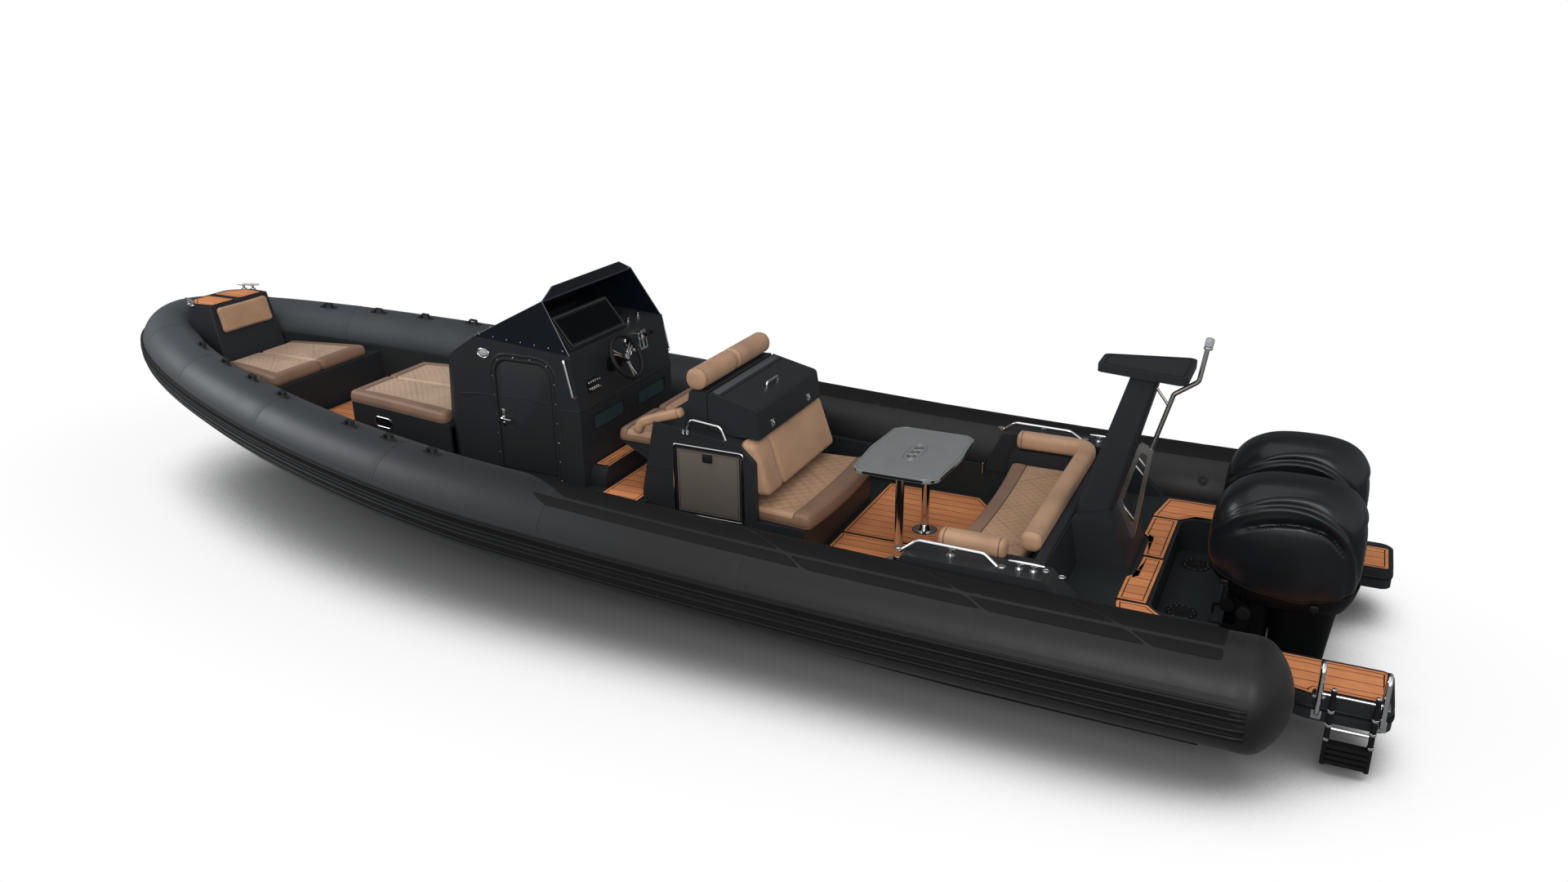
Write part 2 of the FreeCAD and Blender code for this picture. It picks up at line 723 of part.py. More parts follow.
def sole_teak():
    """Panels on the bow deck, the helm floor, the foot step and the cockpit floor."""
    panels = []
    gap = LINER + TEAK_MARGIN
    bow = inboard_plan(SEAT_BASE_X + TEAK_MARGIN, BOW_LOCKER_X - TEAK_MARGIN, gap, BOW_DECK_Z, BOW_DECK_Z + TEAK_T)
    panels.append(bow)
    step_aft = CONSOLE_AFT_X - FOOT_STEP[0]
    helm_half = inner_y(STEP_X, gap)
    for y0, y1 in ((-helm_half, -4.0), (4.0, helm_half)):
        aft = MODULE_FRONT[0][0] + 12.0
        floor = plan_prism([(aft, y0), (step_aft - 20.0, y0), (step_aft - 20.0, y1), (aft, y1)], BOW_DECK_Z,
                           BOW_DECK_Z + TEAK_T, 30.0)
        panels.append(floor)
    step_z = BOW_DECK_Z + FOOT_STEP[1]
    for y0, y1 in ((-FOOT_STEP_HALF + 40.0, -4.0), (4.0, FOOT_STEP_HALF - 40.0)):
        panels.append(plan_prism([(step_aft + 15.0, y0), (CONSOLE_AFT_X - 12.0, y0), (CONSOLE_AFT_X - 12.0, y1),
                                  (step_aft + 15.0, y1)], step_z, step_z + TEAK_T, 20.0))
    fore = BENCH_AFT_X - 20.0
    aft = STERN_SEAT_X[1] + 20.0
    half = inner_y(fore, gap)
    narrow = SIDE_INNER - 20.0
    for side in (1.0, -1.0):
        corners = [(fore, side * 4.0), (fore, side * half), (SIDE_X[1] + 20.0, side * half),
                   (SIDE_X[1] - 110.0, side * narrow), (aft, side * narrow), (aft, side * 4.0)]
        panel = plan_prism(corners, COCKPIT_Z, COCKPIT_Z + TEAK_T, 25.0)
        foot = Part.makeCylinder(TABLE_FOOT_R + 6.0, TEAK_T, V(TABLE_LEG_X, side * TABLE_LEG_Y, COCKPIT_Z))
        panels.append(panel.cut(foot))
    return panels


def stern_teak():
    """Panels round the engine well and beside the mast."""
    panels = []
    half = WELL_HALF - 64.0
    fore = WELL_FORE_X + 205.0
    waist = WELL_FORE_X + 160.0
    aft = WELL_FORE_X + 12.0
    base = MAST_HALF + 135.0
    z0, z1 = AFT_DECK_Z, AFT_DECK_Z + TEAK_T
    for side in (1.0, -1.0):
        panels.append(plan_prism([(aft, side * 4.0), (waist, side * 4.0), (waist, side * base),
                                  (fore, side * (base + 50.0)), (fore, side * half), (aft, side * half)], z0, z1, 8.0))
        panels.append(plan_prism([(fore + 60.0, side * (base + 60.0)), (fore + 195.0, side * (half + 30.0)),
                                  (fore + 60.0, side * (half + 30.0))], z0, z1, 6.0))
        edge = TUBE_Y - TUBE_R - 50.0
        panels.append(plan_prism([(aft, side * (half + 8.0)), (fore, side * (half + 8.0)),
                                  (fore - 60.0, side * edge), (TRANSOM_X + 60.0, side * edge),
                                  (TRANSOM_X + 60.0, side * (WELL_HALF + 40.0)),
                                  (aft - 90.0, side * (WELL_HALF + 40.0))], z0, z1, 20.0))
    return panels


# Bow


def bow_ring(z, aft_x, fore_x, half, nose):
    """Outline of the bow moulding at one height."""
    side = [V(aft_x, half - 20.0, z), V(fore_x - 170.0, half, z), V(fore_x, nose, z)]
    other = [V(p.x, -p.y, p.z) for p in reversed(side)]
    return outline(side + other, [20.0, 60.0, 90.0, 90.0, 60.0, 20.0])


def bow_face_x(z):
    """Place of the sloping aft face of the bow moulding at a height."""
    share = (z - BOW_SEAT_Z) / (BOW_TOP_Z - BOW_SEAT_Z)
    return BOW_FOOT_X + share * (BOW_TOP_AFT_X - BOW_FOOT_X)


def bow_module(skin):
    """Moulding over the stem that carries the cleats and closes the bow seat."""
    head = bow_ring(BOW_TOP_Z, bow_face_x(BOW_TOP_Z), BOW_TOP_FORE_X, BOW_TOP_HALF, BOW_TOP_NOSE)
    foot = bow_ring(BOW_SEAT_Z, bow_face_x(BOW_SEAT_Z), BOW_TOP_FORE_X + 20.0, BOW_TOP_HALF + 25.0,
                    BOW_TOP_NOSE + 25.0)
    body = Part.makeLoft([foot, head], True, True).cut(skin)
    shelf = inboard_plan(BOW_FOOT_X - 60.0, BOW_SHELF_X - SEAT, LINER + SEAT, BOW_SEAT_Z, BOW_TOP_Z)
    shelf = shelf.common(hull_loft(BOTTOM_T + 1.0))
    body = body.cut(hull_loft(SEAT).cut(shelf))
    return max(body.Solids, key=lambda solid: solid.Volume)


def bow_teak():
    pads = []
    for side in (1.0, -1.0):
        pads.append(plan_prism([(BOW_TOP_AFT_X + 20.0, side * 28.0), (BOW_TOP_AFT_X + 20.0, side * 270.0),
                                (4100.0, side * 292.0), (BOW_TOP_FORE_X - 50.0, side * 190.0),
                                (BOW_TOP_FORE_X - 40.0, side * 28.0)], BOW_TOP_Z, BOW_TOP_Z + TEAK_T,
                               [12.0, 20.0, 30.0, 40.0, 12.0]))
    return pads


def cleat(centre, heading):
    """Four-legged mooring cleat: two feet and a bar with tapered horns."""
    out = V(0, 0, 1).cross(heading)
    feet = []
    for side in (1.0, -1.0):
        place = centre + heading * (side * CLEAT_LENGTH * 0.2)
        feet.append(Part.makeCylinder(CLEAT_BAR * 0.62, CLEAT_HEIGHT, place))
        feet.append(Part.makeCylinder(CLEAT_BAR * 1.35, 7.0, place))
    half = CLEAT_LENGTH / 2.0
    top = centre + V(0, 0, CLEAT_HEIGHT - CLEAT_BAR * 0.2)
    middle = rod(top - heading * (half * 0.5), top + heading * (half * 0.5), CLEAT_BAR * 0.55)
    horns = []
    for side in (1.0, -1.0):
        root = top + heading * (side * half * 0.5)
        horns.append(Part.makeCone(CLEAT_BAR * 0.55, CLEAT_BAR * 0.32, half * 0.5, root, heading * side))
    return fused(feet + [middle] + horns)


def cleats():
    pieces = []
    for side in (1.0, -1.0):
        pieces.append(cleat(V(4113.0, side * (BOW_TOP_HALF - 22.0), BOW_TOP_Z), V(0.94, -side * 0.342, 0)))
        pieces.append(cleat(V(-3494.0, side * 1130.0, SIDE_TOP_Z), V(1, 0, 0)))
    return pieces


def bow_pad():
    """Padded backrest on the aft face of the bow moulding."""
    low, high = BOW_PAD_Z
    corners = [(bow_face_x(low) - SEAT, low), (bow_face_x(high) - SEAT, high), (bow_face_x(high) - BOW_PAD_T, high),
               (bow_face_x(low) - BOW_PAD_T, low)]
    return side_prism(corners, -BOW_PAD_HALF, BOW_PAD_HALF, [0.0, 0.0, 16.0, 16.0])


def bow_locker():
    """Seat locker across the bow."""
    body = inboard_plan(BOW_LOCKER_X, BOW_WALL_X - SEAT, LINER + SEAT, BOW_DECK_Z, BOW_SEAT_Z - SEAT)
    return body.common(hull_loft(BOTTOM_T + 1.0))


def bow_cushions():
    halves = []
    x0, x1 = BOW_CUSHION_X
    for side in (1.0, -1.0):
        corners = [(x0, side * SLOT / 2.0), (x0, side * BOW_CUSHION_AFT_HALF),
                   (x1, side * BOW_CUSHION_FORE_HALF), (x1, side * SLOT / 2.0)]
        halves.append(plan_prism(corners, BOW_SEAT_Z, BOW_SEAT_Z + BOW_CUSHION_T, [8.0, 60.0, 40.0, 8.0]))
    return halves


# Console


def console_profile(inset):
    return [(CONSOLE_AFT_X + inset, BOW_DECK_Z), (CONSOLE_AFT_X + inset, CONSOLE_SEAM_Z),
            (CONSOLE_TOP_AFT[0] + inset, CONSOLE_TOP_AFT[1] - inset),
            (CONSOLE_TOP_FORE[0] - inset * 0.4, CONSOLE_TOP_FORE[1] - inset),
            (CONSOLE_BROW[0] - inset, CONSOLE_BROW[1] - inset * 0.6),
            (CONSOLE_FORE_X - inset, CONSOLE_WAIST_Z), (CONSOLE_FORE_X - inset, BOW_DECK_Z)]


def console_plan(inset):
    half = CONSOLE_HALF - inset
    nose = CONSOLE_FORE_X - inset
    return [(CONSOLE_AFT_X + inset - 60.0, -half), (nose - CONSOLE_BEVEL * 1.6, -half), (nose + 5.0, -half + CONSOLE_BEVEL),
            (nose + 5.0, half - CONSOLE_BEVEL), (nose - CONSOLE_BEVEL * 1.6, half), (CONSOLE_AFT_X + inset - 60.0, half)]


def console_body(inset):
    side = side_prism(console_profile(inset), -CONSOLE_HALF, CONSOLE_HALF, 0.0)
    plan = plan_prism(console_plan(inset), BOW_DECK_Z - 1.0, SCREEN_LIP_Z, 0.0)
    return side.common(plan)


def front_seat_base(inset):
    half_aft = SEAT_BASE_HALF_AFT - inset
    half_fore = SEAT_BASE_HALF_FORE - inset
    corners = [(CONSOLE_FORE_X - 40.0, -half_aft), (SEAT_BASE_X - inset, -half_fore), (SEAT_BASE_X - inset, half_fore),
               (CONSOLE_FORE_X - 40.0, half_aft)]
    return plan_prism(corners, BOW_DECK_Z, SEAT_BASE_Z - inset, [0.0, 70.0, 70.0, 0.0])


def door_outline(grow):
    x0, x1 = DOOR_X[0] - grow, DOOR_X[1] + grow
    z0, z1 = DOOR_Z[0] - grow, DOOR_Z[1] + grow
    return [(x0, z0), (x1, z0), (x1, z1), (x0, z1)], [12.0, 12.0, DOOR_CORNER + grow, DOOR_CORNER + grow]


def console():
    """Hollow steering console with the front seat base, the foot step and the instrument hood."""
    shell = fused([console_body(0.0), front_seat_base(0.0)])
    room = fused([console_body(WALL), front_seat_base(WALL)])
    tray_aft = CONSOLE_TOP_AFT[0] + 70.0
    tray_fore = CONSOLE_TOP_FORE[0] - 70.0
    tray_half = CONSOLE_HALF - 90.0
    tray = block((tray_aft, tray_fore), (-tray_half, tray_half), (TRAY_Z, SCREEN_LIP_Z))
    pan = block((tray_aft - WALL, tray_fore + WALL), (-tray_half - WALL, tray_half + WALL),
                (TRAY_Z - WALL, SCREEN_LIP_Z))
    body = shell.cut(room.cut(pan)).cut(tray)
    hood = side_prism([DISPLAY_FOOT, DISPLAY_HEAD, (DISPLAY_HEAD[0] + 40.0, DISPLAY_HEAD[1] - 8.0),
                       (DISPLAY_HEAD[0] + 190.0, TRAY_Z - 2.0), (DISPLAY_FOOT[0] + 35.0, TRAY_Z - 2.0)],
                      DISPLAY_Y[0] - 14.0, DISPLAY_Y[1] + 14.0)
    dash = block((tray_aft - 2.0, tray_aft + 230.0), (-tray_half - 1.0, DISPLAY_Y[0] + 10.0),
                 (TRAY_Z - 2.0, CONSOLE_TOP_AFT[1] + 4.0))
    step_x = CONSOLE_AFT_X - FOOT_STEP[0]
    step = cross_prism([(-FOOT_STEP_HALF, BOW_DECK_Z), (FOOT_STEP_HALF, BOW_DECK_Z),
                        (FOOT_STEP_HALF, BOW_DECK_Z + FOOT_STEP[1] * 0.55),
                        (FOOT_STEP_HALF - 45.0, BOW_DECK_Z + FOOT_STEP[1]),
                        (-FOOT_STEP_HALF + 45.0, BOW_DECK_Z + FOOT_STEP[1]),
                        (-FOOT_STEP_HALF, BOW_DECK_Z + FOOT_STEP[1] * 0.55)], step_x, CONSOLE_AFT_X + 4.0)
    body = fused([body, hood, dash, step])
    corners, radii = door_outline(DOOR_GAP)
    opening = side_prism(corners, CONSOLE_HALF - WALL - 20.0, CONSOLE_HALF + 20.0, radii)
    cuts = [opening]
    for y0, y1 in LOCKER_WINDOWS:
        cuts.append(cross_prism([(y0, LOCKER_WINDOW_Z[0]), (y1, LOCKER_WINDOW_Z[0]), (y1, LOCKER_WINDOW_Z[1]),
                                 (y0, LOCKER_WINDOW_Z[1])], CONSOLE_AFT_X - 30.0, CONSOLE_AFT_X + WALL + 30.0, 24.0))
    return body.cut(cuts)


def seat_box_side(gap):
    """Space ahead of the console, where the front seat box stands."""
    return block((CONSOLE_FORE_X + gap, 2.0 * SEAT_BASE_X), (-TUBE_Y, TUBE_Y), (0.0, SCREEN_LIP_Z))


def console_windows():
    """Tinted panes of the two lockers in the console's aft face."""
    panes = []
    for y0, y1 in LOCKER_WINDOWS:
        grow = SEAT
        panes.append(cross_prism([(y0 + grow, LOCKER_WINDOW_Z[0] + grow), (y1 - grow, LOCKER_WINDOW_Z[0] + grow),
                                  (y1 - grow, LOCKER_WINDOW_Z[1] - grow), (y0 + grow, LOCKER_WINDOW_Z[1] - grow)],
                                 CONSOLE_AFT_X + 6.0, CONSOLE_AFT_X + 6.0 + GLASS_T, 24.0 - grow))
    return panes


def console_door():
    """Cabin door in the port side, with its lever handle."""
    corners, radii = door_outline(0.0)
    leaf = side_prism(corners, CONSOLE_HALF - DOOR_T, CONSOLE_HALF, radii)
    hand_x = DOOR_X[1] - 38.0
    hand_z = 1040.0
    stem = rod(V(hand_x, CONSOLE_HALF - 1.0, hand_z), V(hand_x, CONSOLE_HALF + 28.0, hand_z), 8.0)
    lever = plate([V(hand_x - 9.0, CONSOLE_HALF + 22.0, hand_z - 62.0), V(hand_x + 9.0, CONSOLE_HALF + 22.0, hand_z - 62.0),
                   V(hand_x + 9.0, CONSOLE_HALF + 22.0, hand_z + 62.0), V(hand_x - 9.0, CONSOLE_HALF + 22.0, hand_z + 62.0)],
                  8.0, V(0, 12.0, 0))
    rose = rod(V(hand_x, CONSOLE_HALF - 1.0, hand_z), V(hand_x, CONSOLE_HALF + 5.0, hand_z), 20.0)
    return fused([leaf, stem, lever, rose])


def console_rails():
    """Stainless hand rails on the aft edges of the console's sides."""
    top = V(-20.0, CONSOLE_HALF, 1551.0)
    low = V(-90.0, CONSOLE_HALF, 1277.0)
    reach = 34.0
    rail = bent_rail([top, top + V(-12.0, reach, 0), low + V(-2.0, reach, 0), low], 9.0, 26.0)
    rail = rail.cut(block((-300.0, 300.0), (0.0, CONSOLE_HALF + SEAT), (1000.0, 1800.0)))
    return both_sides(rail)


def front_cushions():
    """Two halves of the sun pad on the seat in front of the console."""
    halves = []
    x0 = CONSOLE_FORE_X + 8.0
    x1 = SEAT_BASE_X + 12.0
    for side in (1.0, -1.0):
        corners = [(x0, side * SLOT / 2.0), (x0, side * (SEAT_BASE_HALF_AFT + 6.0)),
                   (x1, side * SEAT_BASE_HALF_FORE), (x1, side * SLOT / 2.0)]
        halves.append(plan_prism(corners, SEAT_BASE_Z + SEAT, SEAT_BASE_Z + SEAT + FRONT_CUSHION_T,
                                 [8.0, 20.0, 70.0, 8.0]))
    return halves


def pane(corners, inward):
    """Flat pane through corners, with its thickness along a direction."""
    return Part.Face(Part.makePolygon(corners + [corners[0]])).extrude(V(inward).normalize() * GLASS_T)


def windscreen():
    """Raked front pane, two side panes and the upright lip along the top."""
    half = CONSOLE_HALF - 12.0
    fore = V(CONSOLE_TOP_FORE[0], half, CONSOLE_TOP_FORE[1] + SEAT)
    aft = V(CONSOLE_TOP_AFT[0] + 8.0, half, CONSOLE_TOP_AFT[1] + SEAT + 1.0)
    top = V(SCREEN_TOP[0], SCREEN_TOP_HALF, SCREEN_TOP[1])
    lip = V(SCREEN_TOP[0] + 10.0, SCREEN_LIP_HALF, SCREEN_LIP_Z)

    def port(v):
        return V(v.x, -v.y, v.z)

    front_dir = (top - fore).cross(V(0, 1, 0))
    if front_dir.z > 0:
        front_dir = front_dir * -1.0
    front = pane([fore, top, port(top), port(fore)], front_dir)
    side_dir = (aft - fore).cross(top - fore)
    if side_dir.y > 0:
        side_dir = side_dir * -1.0
    side = pane([fore, aft, top], side_dir)
    drop = V(0, 0, GLASS_T * 0.9)
    crest = pane([top - drop, lip, port(lip), port(top) - drop], V(1.0, 0, 0))
    body = fused([front, side, mirrored(side), crest])
    under = console_body(0.0)
    return max(body.cut(under).Solids, key=lambda solid: solid.Volume)


def dash_panels():
    """The large display on the hood and the bank of switches below it."""
    rise = V(DISPLAY_HEAD[0] - DISPLAY_FOOT[0], 0, DISPLAY_HEAD[1] - DISPLAY_FOOT[1])
    normal = V(-rise.z, 0, rise.x).normalize()
    foot = V(DISPLAY_FOOT[0], 0, DISPLAY_FOOT[1]) + normal * SEAT + V(rise).normalize() * 4.0
    head = foot + rise * 0.98
    corners = [V(foot.x, DISPLAY_Y[0], foot.z), V(foot.x, DISPLAY_Y[1], foot.z), V(head.x, DISPLAY_Y[1], head.z),
               V(head.x, DISPLAY_Y[0], head.z)]
    display = plate(corners, 14.0, normal * DISPLAY_T)
    lean = V(CONSOLE_TOP_AFT[0] - CONSOLE_AFT_X, 0, CONSOLE_TOP_AFT[1] - CONSOLE_SEAM_Z).normalize()
    out = V(-lean.z, 0, lean.x)
    share = (SWITCH_CENTRE[1] - CONSOLE_SEAM_Z) / (CONSOLE_TOP_AFT[1] - CONSOLE_SEAM_Z)
    x = CONSOLE_AFT_X + share * (CONSOLE_TOP_AFT[0] - CONSOLE_AFT_X)
    centre = V(x, SWITCH_CENTRE[0], SWITCH_CENTRE[1]) + out * SEAT
    across, up = V(0, SWITCH_SIZE[0] / 2.0, 0), lean * (SWITCH_SIZE[1] / 2.0)
    switches = plate([centre - across - up, centre + across - up, centre + across + up, centre - across + up], 8.0,
                     out * 9.0)
    return [display, switches]


def dash_x(z):
    """Place of the sloping dash face at a height."""
    share = (z - CONSOLE_SEAM_Z) / (CONSOLE_TOP_AFT[1] - CONSOLE_SEAM_Z)
    return CONSOLE_AFT_X + share * (CONSOLE_TOP_AFT[0] - CONSOLE_AFT_X)


def steering_wheel():
    """Three-spoke wheel on its hub and shaft."""
    tilt = math.radians(WHEEL_TILT)
    axis = V(-math.cos(tilt), 0, math.sin(tilt))
    centre = V(*WHEEL_CENTRE)
    rim = Part.makeTorus(WHEEL_R - WHEEL_RIM_R, WHEEL_RIM_R, centre, axis)
    hub = rod(centre - axis * 26.0, centre + axis * 8.0, 34.0)
    side = V(0, 1, 0)
    up = axis.cross(side).normalize()
    spokes = []
    for angle in (90.0, 210.0, 330.0):
        turn = math.radians(angle)
        out = side * math.cos(turn) + up * math.sin(turn)
        across = axis.cross(out).normalize()
        inner = centre + out * 20.0 - axis * 12.0
        outer = centre + out * (WHEEL_R - WHEEL_RIM_R) - axis * 4.0
        corners = [inner - across * 17.0, outer - across * 11.0, outer + across * 11.0, inner + across * 17.0]
        spokes.append(plate(corners, 0.0, axis * 8.0))
    reach = 60.0
    shaft = rod(centre - axis * 20.0, centre - axis * (20.0 + reach), 14.0)
    return fused([rim, hub, shaft] + spokes)


def wheel_mount():
    """Helm housing on the dash that the wheel's shaft turns in."""
    tilt = math.radians(WHEEL_TILT)
    axis = V(-math.cos(tilt), 0, math.sin(tilt))
    centre = V(*WHEEL_CENTRE)
    start = centre - axis * 48.0
    end = centre - axis * 240.0
    housing = rod(start, end, 52.0)
    bore = rod(start + axis, centre - axis * 84.0, 14.0 + PIN_FIT)
    lean = V(CONSOLE_TOP_AFT[0] - CONSOLE_AFT_X, 0, CONSOLE_TOP_AFT[1] - CONSOLE_SEAM_Z).normalize()
    out = V(-lean.z, 0, lean.x)
    foot = V(dash_x(CONSOLE_SEAM_Z), 0, CONSOLE_SEAM_Z) + out * SEAT
    keep = plate([foot + V(0, -600, 0) - lean * 600.0, foot + V(0, 600, 0) - lean * 600.0,
                  foot + V(0, 600, 0) + lean * 1000.0, foot + V(0, -600, 0) + lean * 1000.0], 0.0, out * 900.0)
    return housing.cut(bore).common(keep)


def throttle():
    """Twin-lever engine control on the dash."""
    x = dash_x(THROTTLE_Z)
    lean = V(CONSOLE_TOP_AFT[0] - CONSOLE_AFT_X, 0, CONSOLE_TOP_AFT[1] - CONSOLE_SEAM_Z).normalize()
    out = V(-lean.z, 0, lean.x)
    seat = V(x, THROTTLE_Y, THROTTLE_Z) + out * SEAT
    base = plate([seat + V(0, -60, 0) - lean * 75.0, seat + V(0, 60, 0) - lean * 75.0, seat + V(0, 60, 0) + lean * 75.0,
                  seat + V(0, -60, 0) + lean * 75.0], 18.0, out * 38.0)
    parts = [base]
    for side in (1.0, -1.0):
        root = seat + out * 30.0 + V(0, side * 26.0, 0)
        tip = root + out * 74.0 + lean * 52.0
        parts.append(rod(root, tip, 8.0))
        parts.append(rod(tip - V(0, 20.0, 0) * side * 0.5, tip + V(0, 44.0, 0) * side * 0.5, 13.0))
    return fused(parts)


# Helm seat, galley and bench


def module_profile():
    return [(STEP_X + 1.0, COCKPIT_Z), (STEP_X + 1.0, BOW_DECK_Z + SEAT), (-602.0, BOW_DECK_Z + SEAT), MODULE_FRONT[0],
            MODULE_FRONT[1], MODULE_LEDGE_AFT, (BACKREST_WALL_X, 1100.0), (BACKREST_WALL_X, BENCH_Z),
            (BENCH_AFT_X, BENCH_Z), (BENCH_AFT_X, COCKPIT_Z)]


def module_cheek():
    """Side cheek that closes the end of the backrests."""
    profile = [(BACKREST_WALL_X + 2.0, 1098.0), (MODULE_AFT_X + 12.0, 1000.0), (MODULE_AFT_X, 985.0),
               (MODULE_AFT_X - 10.0, BENCH_Z - 2.0), (BACKREST_WALL_X + 2.0, BENCH_Z - 2.0)]
    return side_prism(profile, MODULE_HALF - 40.0, MODULE_HALF, [0.0, 30.0, 20.0, 0.0, 0.0])


def ledge_z(x):
    share = (x - MODULE_FRONT[1][0]) / (MODULE_LEDGE_AFT[0] - MODULE_FRONT[1][0])
    return MODULE_FRONT[1][1] + share * (MODULE_LEDGE_AFT[1] - MODULE_FRONT[1][1])


def helm_module():
    """Moulding with the helm seat, the galley top, the fridge space and the bench base."""
    body = side_prism(module_profile(), -MODULE_HALF, MODULE_HALF, 0.0)
    step_cut = block((STEP_X, -590.0), (-MODULE_HALF - 1.0, MODULE_HALF + 1.0), (COCKPIT_Z - 1.0, BOW_DECK_Z + SEAT))
    body = body.cut(step_cut)
    cheeks = both_sides(module_cheek())
    back = side_prism([(SEAT_BACK_FORE_X, ledge_z(SEAT_BACK_FORE_X) - 2.0),
                       (SEAT_BACK_FORE_X - 45.0, ROLL_CENTRE[1] - ROLL_R - 6.0),
                       (LID_HINGE[0] + DOOR_GAP, LID_HINGE[1]), (LID_HINGE[0] + DOOR_GAP, ledge_z(LID_HINGE[0]) - 2.0)],
                      -LID_HALF, LID_HALF, [0.0, 12.0, 6.0, 0.0])
    pans = []
    for y0, y1 in ((-HELM_SEAT_HALF + 20.0, -HELM_SEAT_SPLIT - 10.0), (HELM_SEAT_SPLIT + 10.0, HELM_SEAT_HALF - 20.0)):
        top = HELM_SEAT_Z - SEAT
        pans.append(side_prism([(front_face_x(top) - 10.0, top - HELM_PAN_DROP), (front_face_x(top) - 10.0, top),
                                (HELM_SEAT_FORE_X - 30.0, top), (HELM_SEAT_FORE_X - 40.0, top - 24.0)], y0, y1))
    body = fused([body, back] + cheeks + pans)
    room = block((FRIDGE_X[0] + 20.0, FRIDGE_X[1] - 20.0), (MODULE_HALF - FRIDGE_T - FRIDGE_DEPTH - 25.0, MODULE_HALF + 1.0),
                 (FRIDGE_Z[0] + 20.0, FRIDGE_Z[1] - 20.0))
    face = block((FRIDGE_X[0] - DOOR_GAP, FRIDGE_X[1] + DOOR_GAP), (MODULE_HALF - FRIDGE_T, MODULE_HALF + 1.0),
                 (FRIDGE_Z[0] - DOOR_GAP, FRIDGE_Z[1] + DOOR_GAP))
    sink = block((LID_HINGE[0] - 260.0, LID_HINGE[0] - 60.0), (-330.0, 60.0), (ledge_z(LID_HINGE[0]) - 110.0, BOW_TOP_Z))
    return body.cut([room, face, sink])


def fridge_drawer():
    """Stainless fridge drawer that slides out to port, open at the top."""
    front = plate([V(FRIDGE_X[0], MODULE_HALF - FRIDGE_T + SEAT, FRIDGE_Z[0]), V(FRIDGE_X[1], MODULE_HALF - FRIDGE_T + SEAT, FRIDGE_Z[0]),
                   V(FRIDGE_X[1], MODULE_HALF - FRIDGE_T + SEAT, FRIDGE_Z[1]), V(FRIDGE_X[0], MODULE_HALF - FRIDGE_T + SEAT, FRIDGE_Z[1])],
                  6.0, V(0, FRIDGE_T, 0))
    gap = 26.0
    x = (FRIDGE_X[0] + gap, FRIDGE_X[1] - gap)
    y = (MODULE_HALF - FRIDGE_T - FRIDGE_DEPTH, MODULE_HALF - 4.0)
    z = (FRIDGE_Z[0] + gap, FRIDGE_Z[1] - 3.0 * gap)
    wall = 18.0
    box = block(x, y, z).cut(block((x[0] + wall, x[1] - wall), (y[0] + wall, y[1] - wall), (z[0] + wall, z[1] + 1.0)))
    latch_x = (FRIDGE_X[0] + FRIDGE_X[1]) / 2.0
    latch = block((latch_x - 32.0, latch_x + 32.0), (MODULE_HALF - 2.0, MODULE_HALF + 12.0), (FRIDGE_Z[1] - 74.0, FRIDGE_Z[1] - 22.0))
    return fused([front, box, latch])


def lid_profile(inset):
    fore = LID_HINGE[0]
    drop = 30.0 if inset else 0.0
    return [(fore - inset, ledge_z(fore) + DOOR_GAP - drop), (fore - inset, LID_HINGE[1] - inset),
            (LID_AFT_TOP[0] + inset * 0.6, LID_AFT_TOP[1] - inset), (LID_AFT_FOOT[0] + inset, LID_AFT_FOOT[1] - drop),
            (MODULE_LEDGE_AFT[0], MODULE_LEDGE_AFT[1] + DOOR_GAP - drop)]


def galley_lid():
    """Hollow lid over the galley, hinged along its forward edge, with its latches."""
    outer = side_prism(lid_profile(0.0), -LID_HALF, LID_HALF, [0.0, 14.0, 34.0, 8.0, 0.0])
    inner = side_prism(lid_profile(LID_WALL), -LID_HALF + LID_WALL, LID_HALF - LID_WALL, 0.0)
    body = outer.cut(inner)
    return body


def lid_handle():
    """Stainless handle across the top of the lid."""
    slope = (LID_HINGE[1] - LID_AFT_TOP[1]) / (LID_HINGE[0] - LID_AFT_TOP[0])
    x = LID_AFT_TOP[0] + 120.0
    z = LID_AFT_TOP[1] + slope * 120.0 + SEAT + 0.6
    half = 90.0
    bar = bent_rail([V(x, -half, z - 4.0), V(x, -half, z + 34.0), V(x, half, z + 34.0), V(x, half, z - 4.0)], 9.0, 24.0)
    clear = side_prism([(x - 60.0, z - 60.0 * slope - 60.0), (x + 60.0, z + 60.0 * slope - 60.0),
                        (x + 60.0, z + 60.0 * slope), (x - 60.0, z - 60.0 * slope)], -200.0, 200.0)
    return bar.cut(clear)


def front_face_x(z):
    """Place of the module's sloping front face at a height."""
    (low_x, low_z), (high_x, high_z) = MODULE_FRONT
    return low_x + (z - low_z) / (high_z - low_z) * (high_x - low_x)


def helm_seats():
    """Two bolster seat cushions on the front of the module."""
    halves = []
    low, high = HELM_SEAT_Z, HELM_SEAT_Z + HELM_SEAT_T
    profile = [(front_face_x(low) + SEAT, low), (HELM_SEAT_FORE_X, low), (HELM_SEAT_FORE_X, high),
               (front_face_x(low) + SEAT, high)]
    for y0, y1 in ((-HELM_SEAT_HALF, -HELM_SEAT_SPLIT), (HELM_SEAT_SPLIT, HELM_SEAT_HALF)):
        halves.append(side_prism(profile, y0, y1, [10.0, 30.0, 40.0, 20.0]))
    return halves


def helm_backrests():
    """Two padded rolls on top of the seat back."""
    rolls = []
    for y0, y1 in ((-ROLL_HALF, -SLOT / 2.0), (SLOT / 2.0, ROLL_HALF)):
        roll = Part.makeCylinder(ROLL_R, y1 - y0, V(ROLL_CENTRE[0], y0, ROLL_CENTRE[1]), V(0, 1, 0))
        rolls.append(roll)
    return rolls


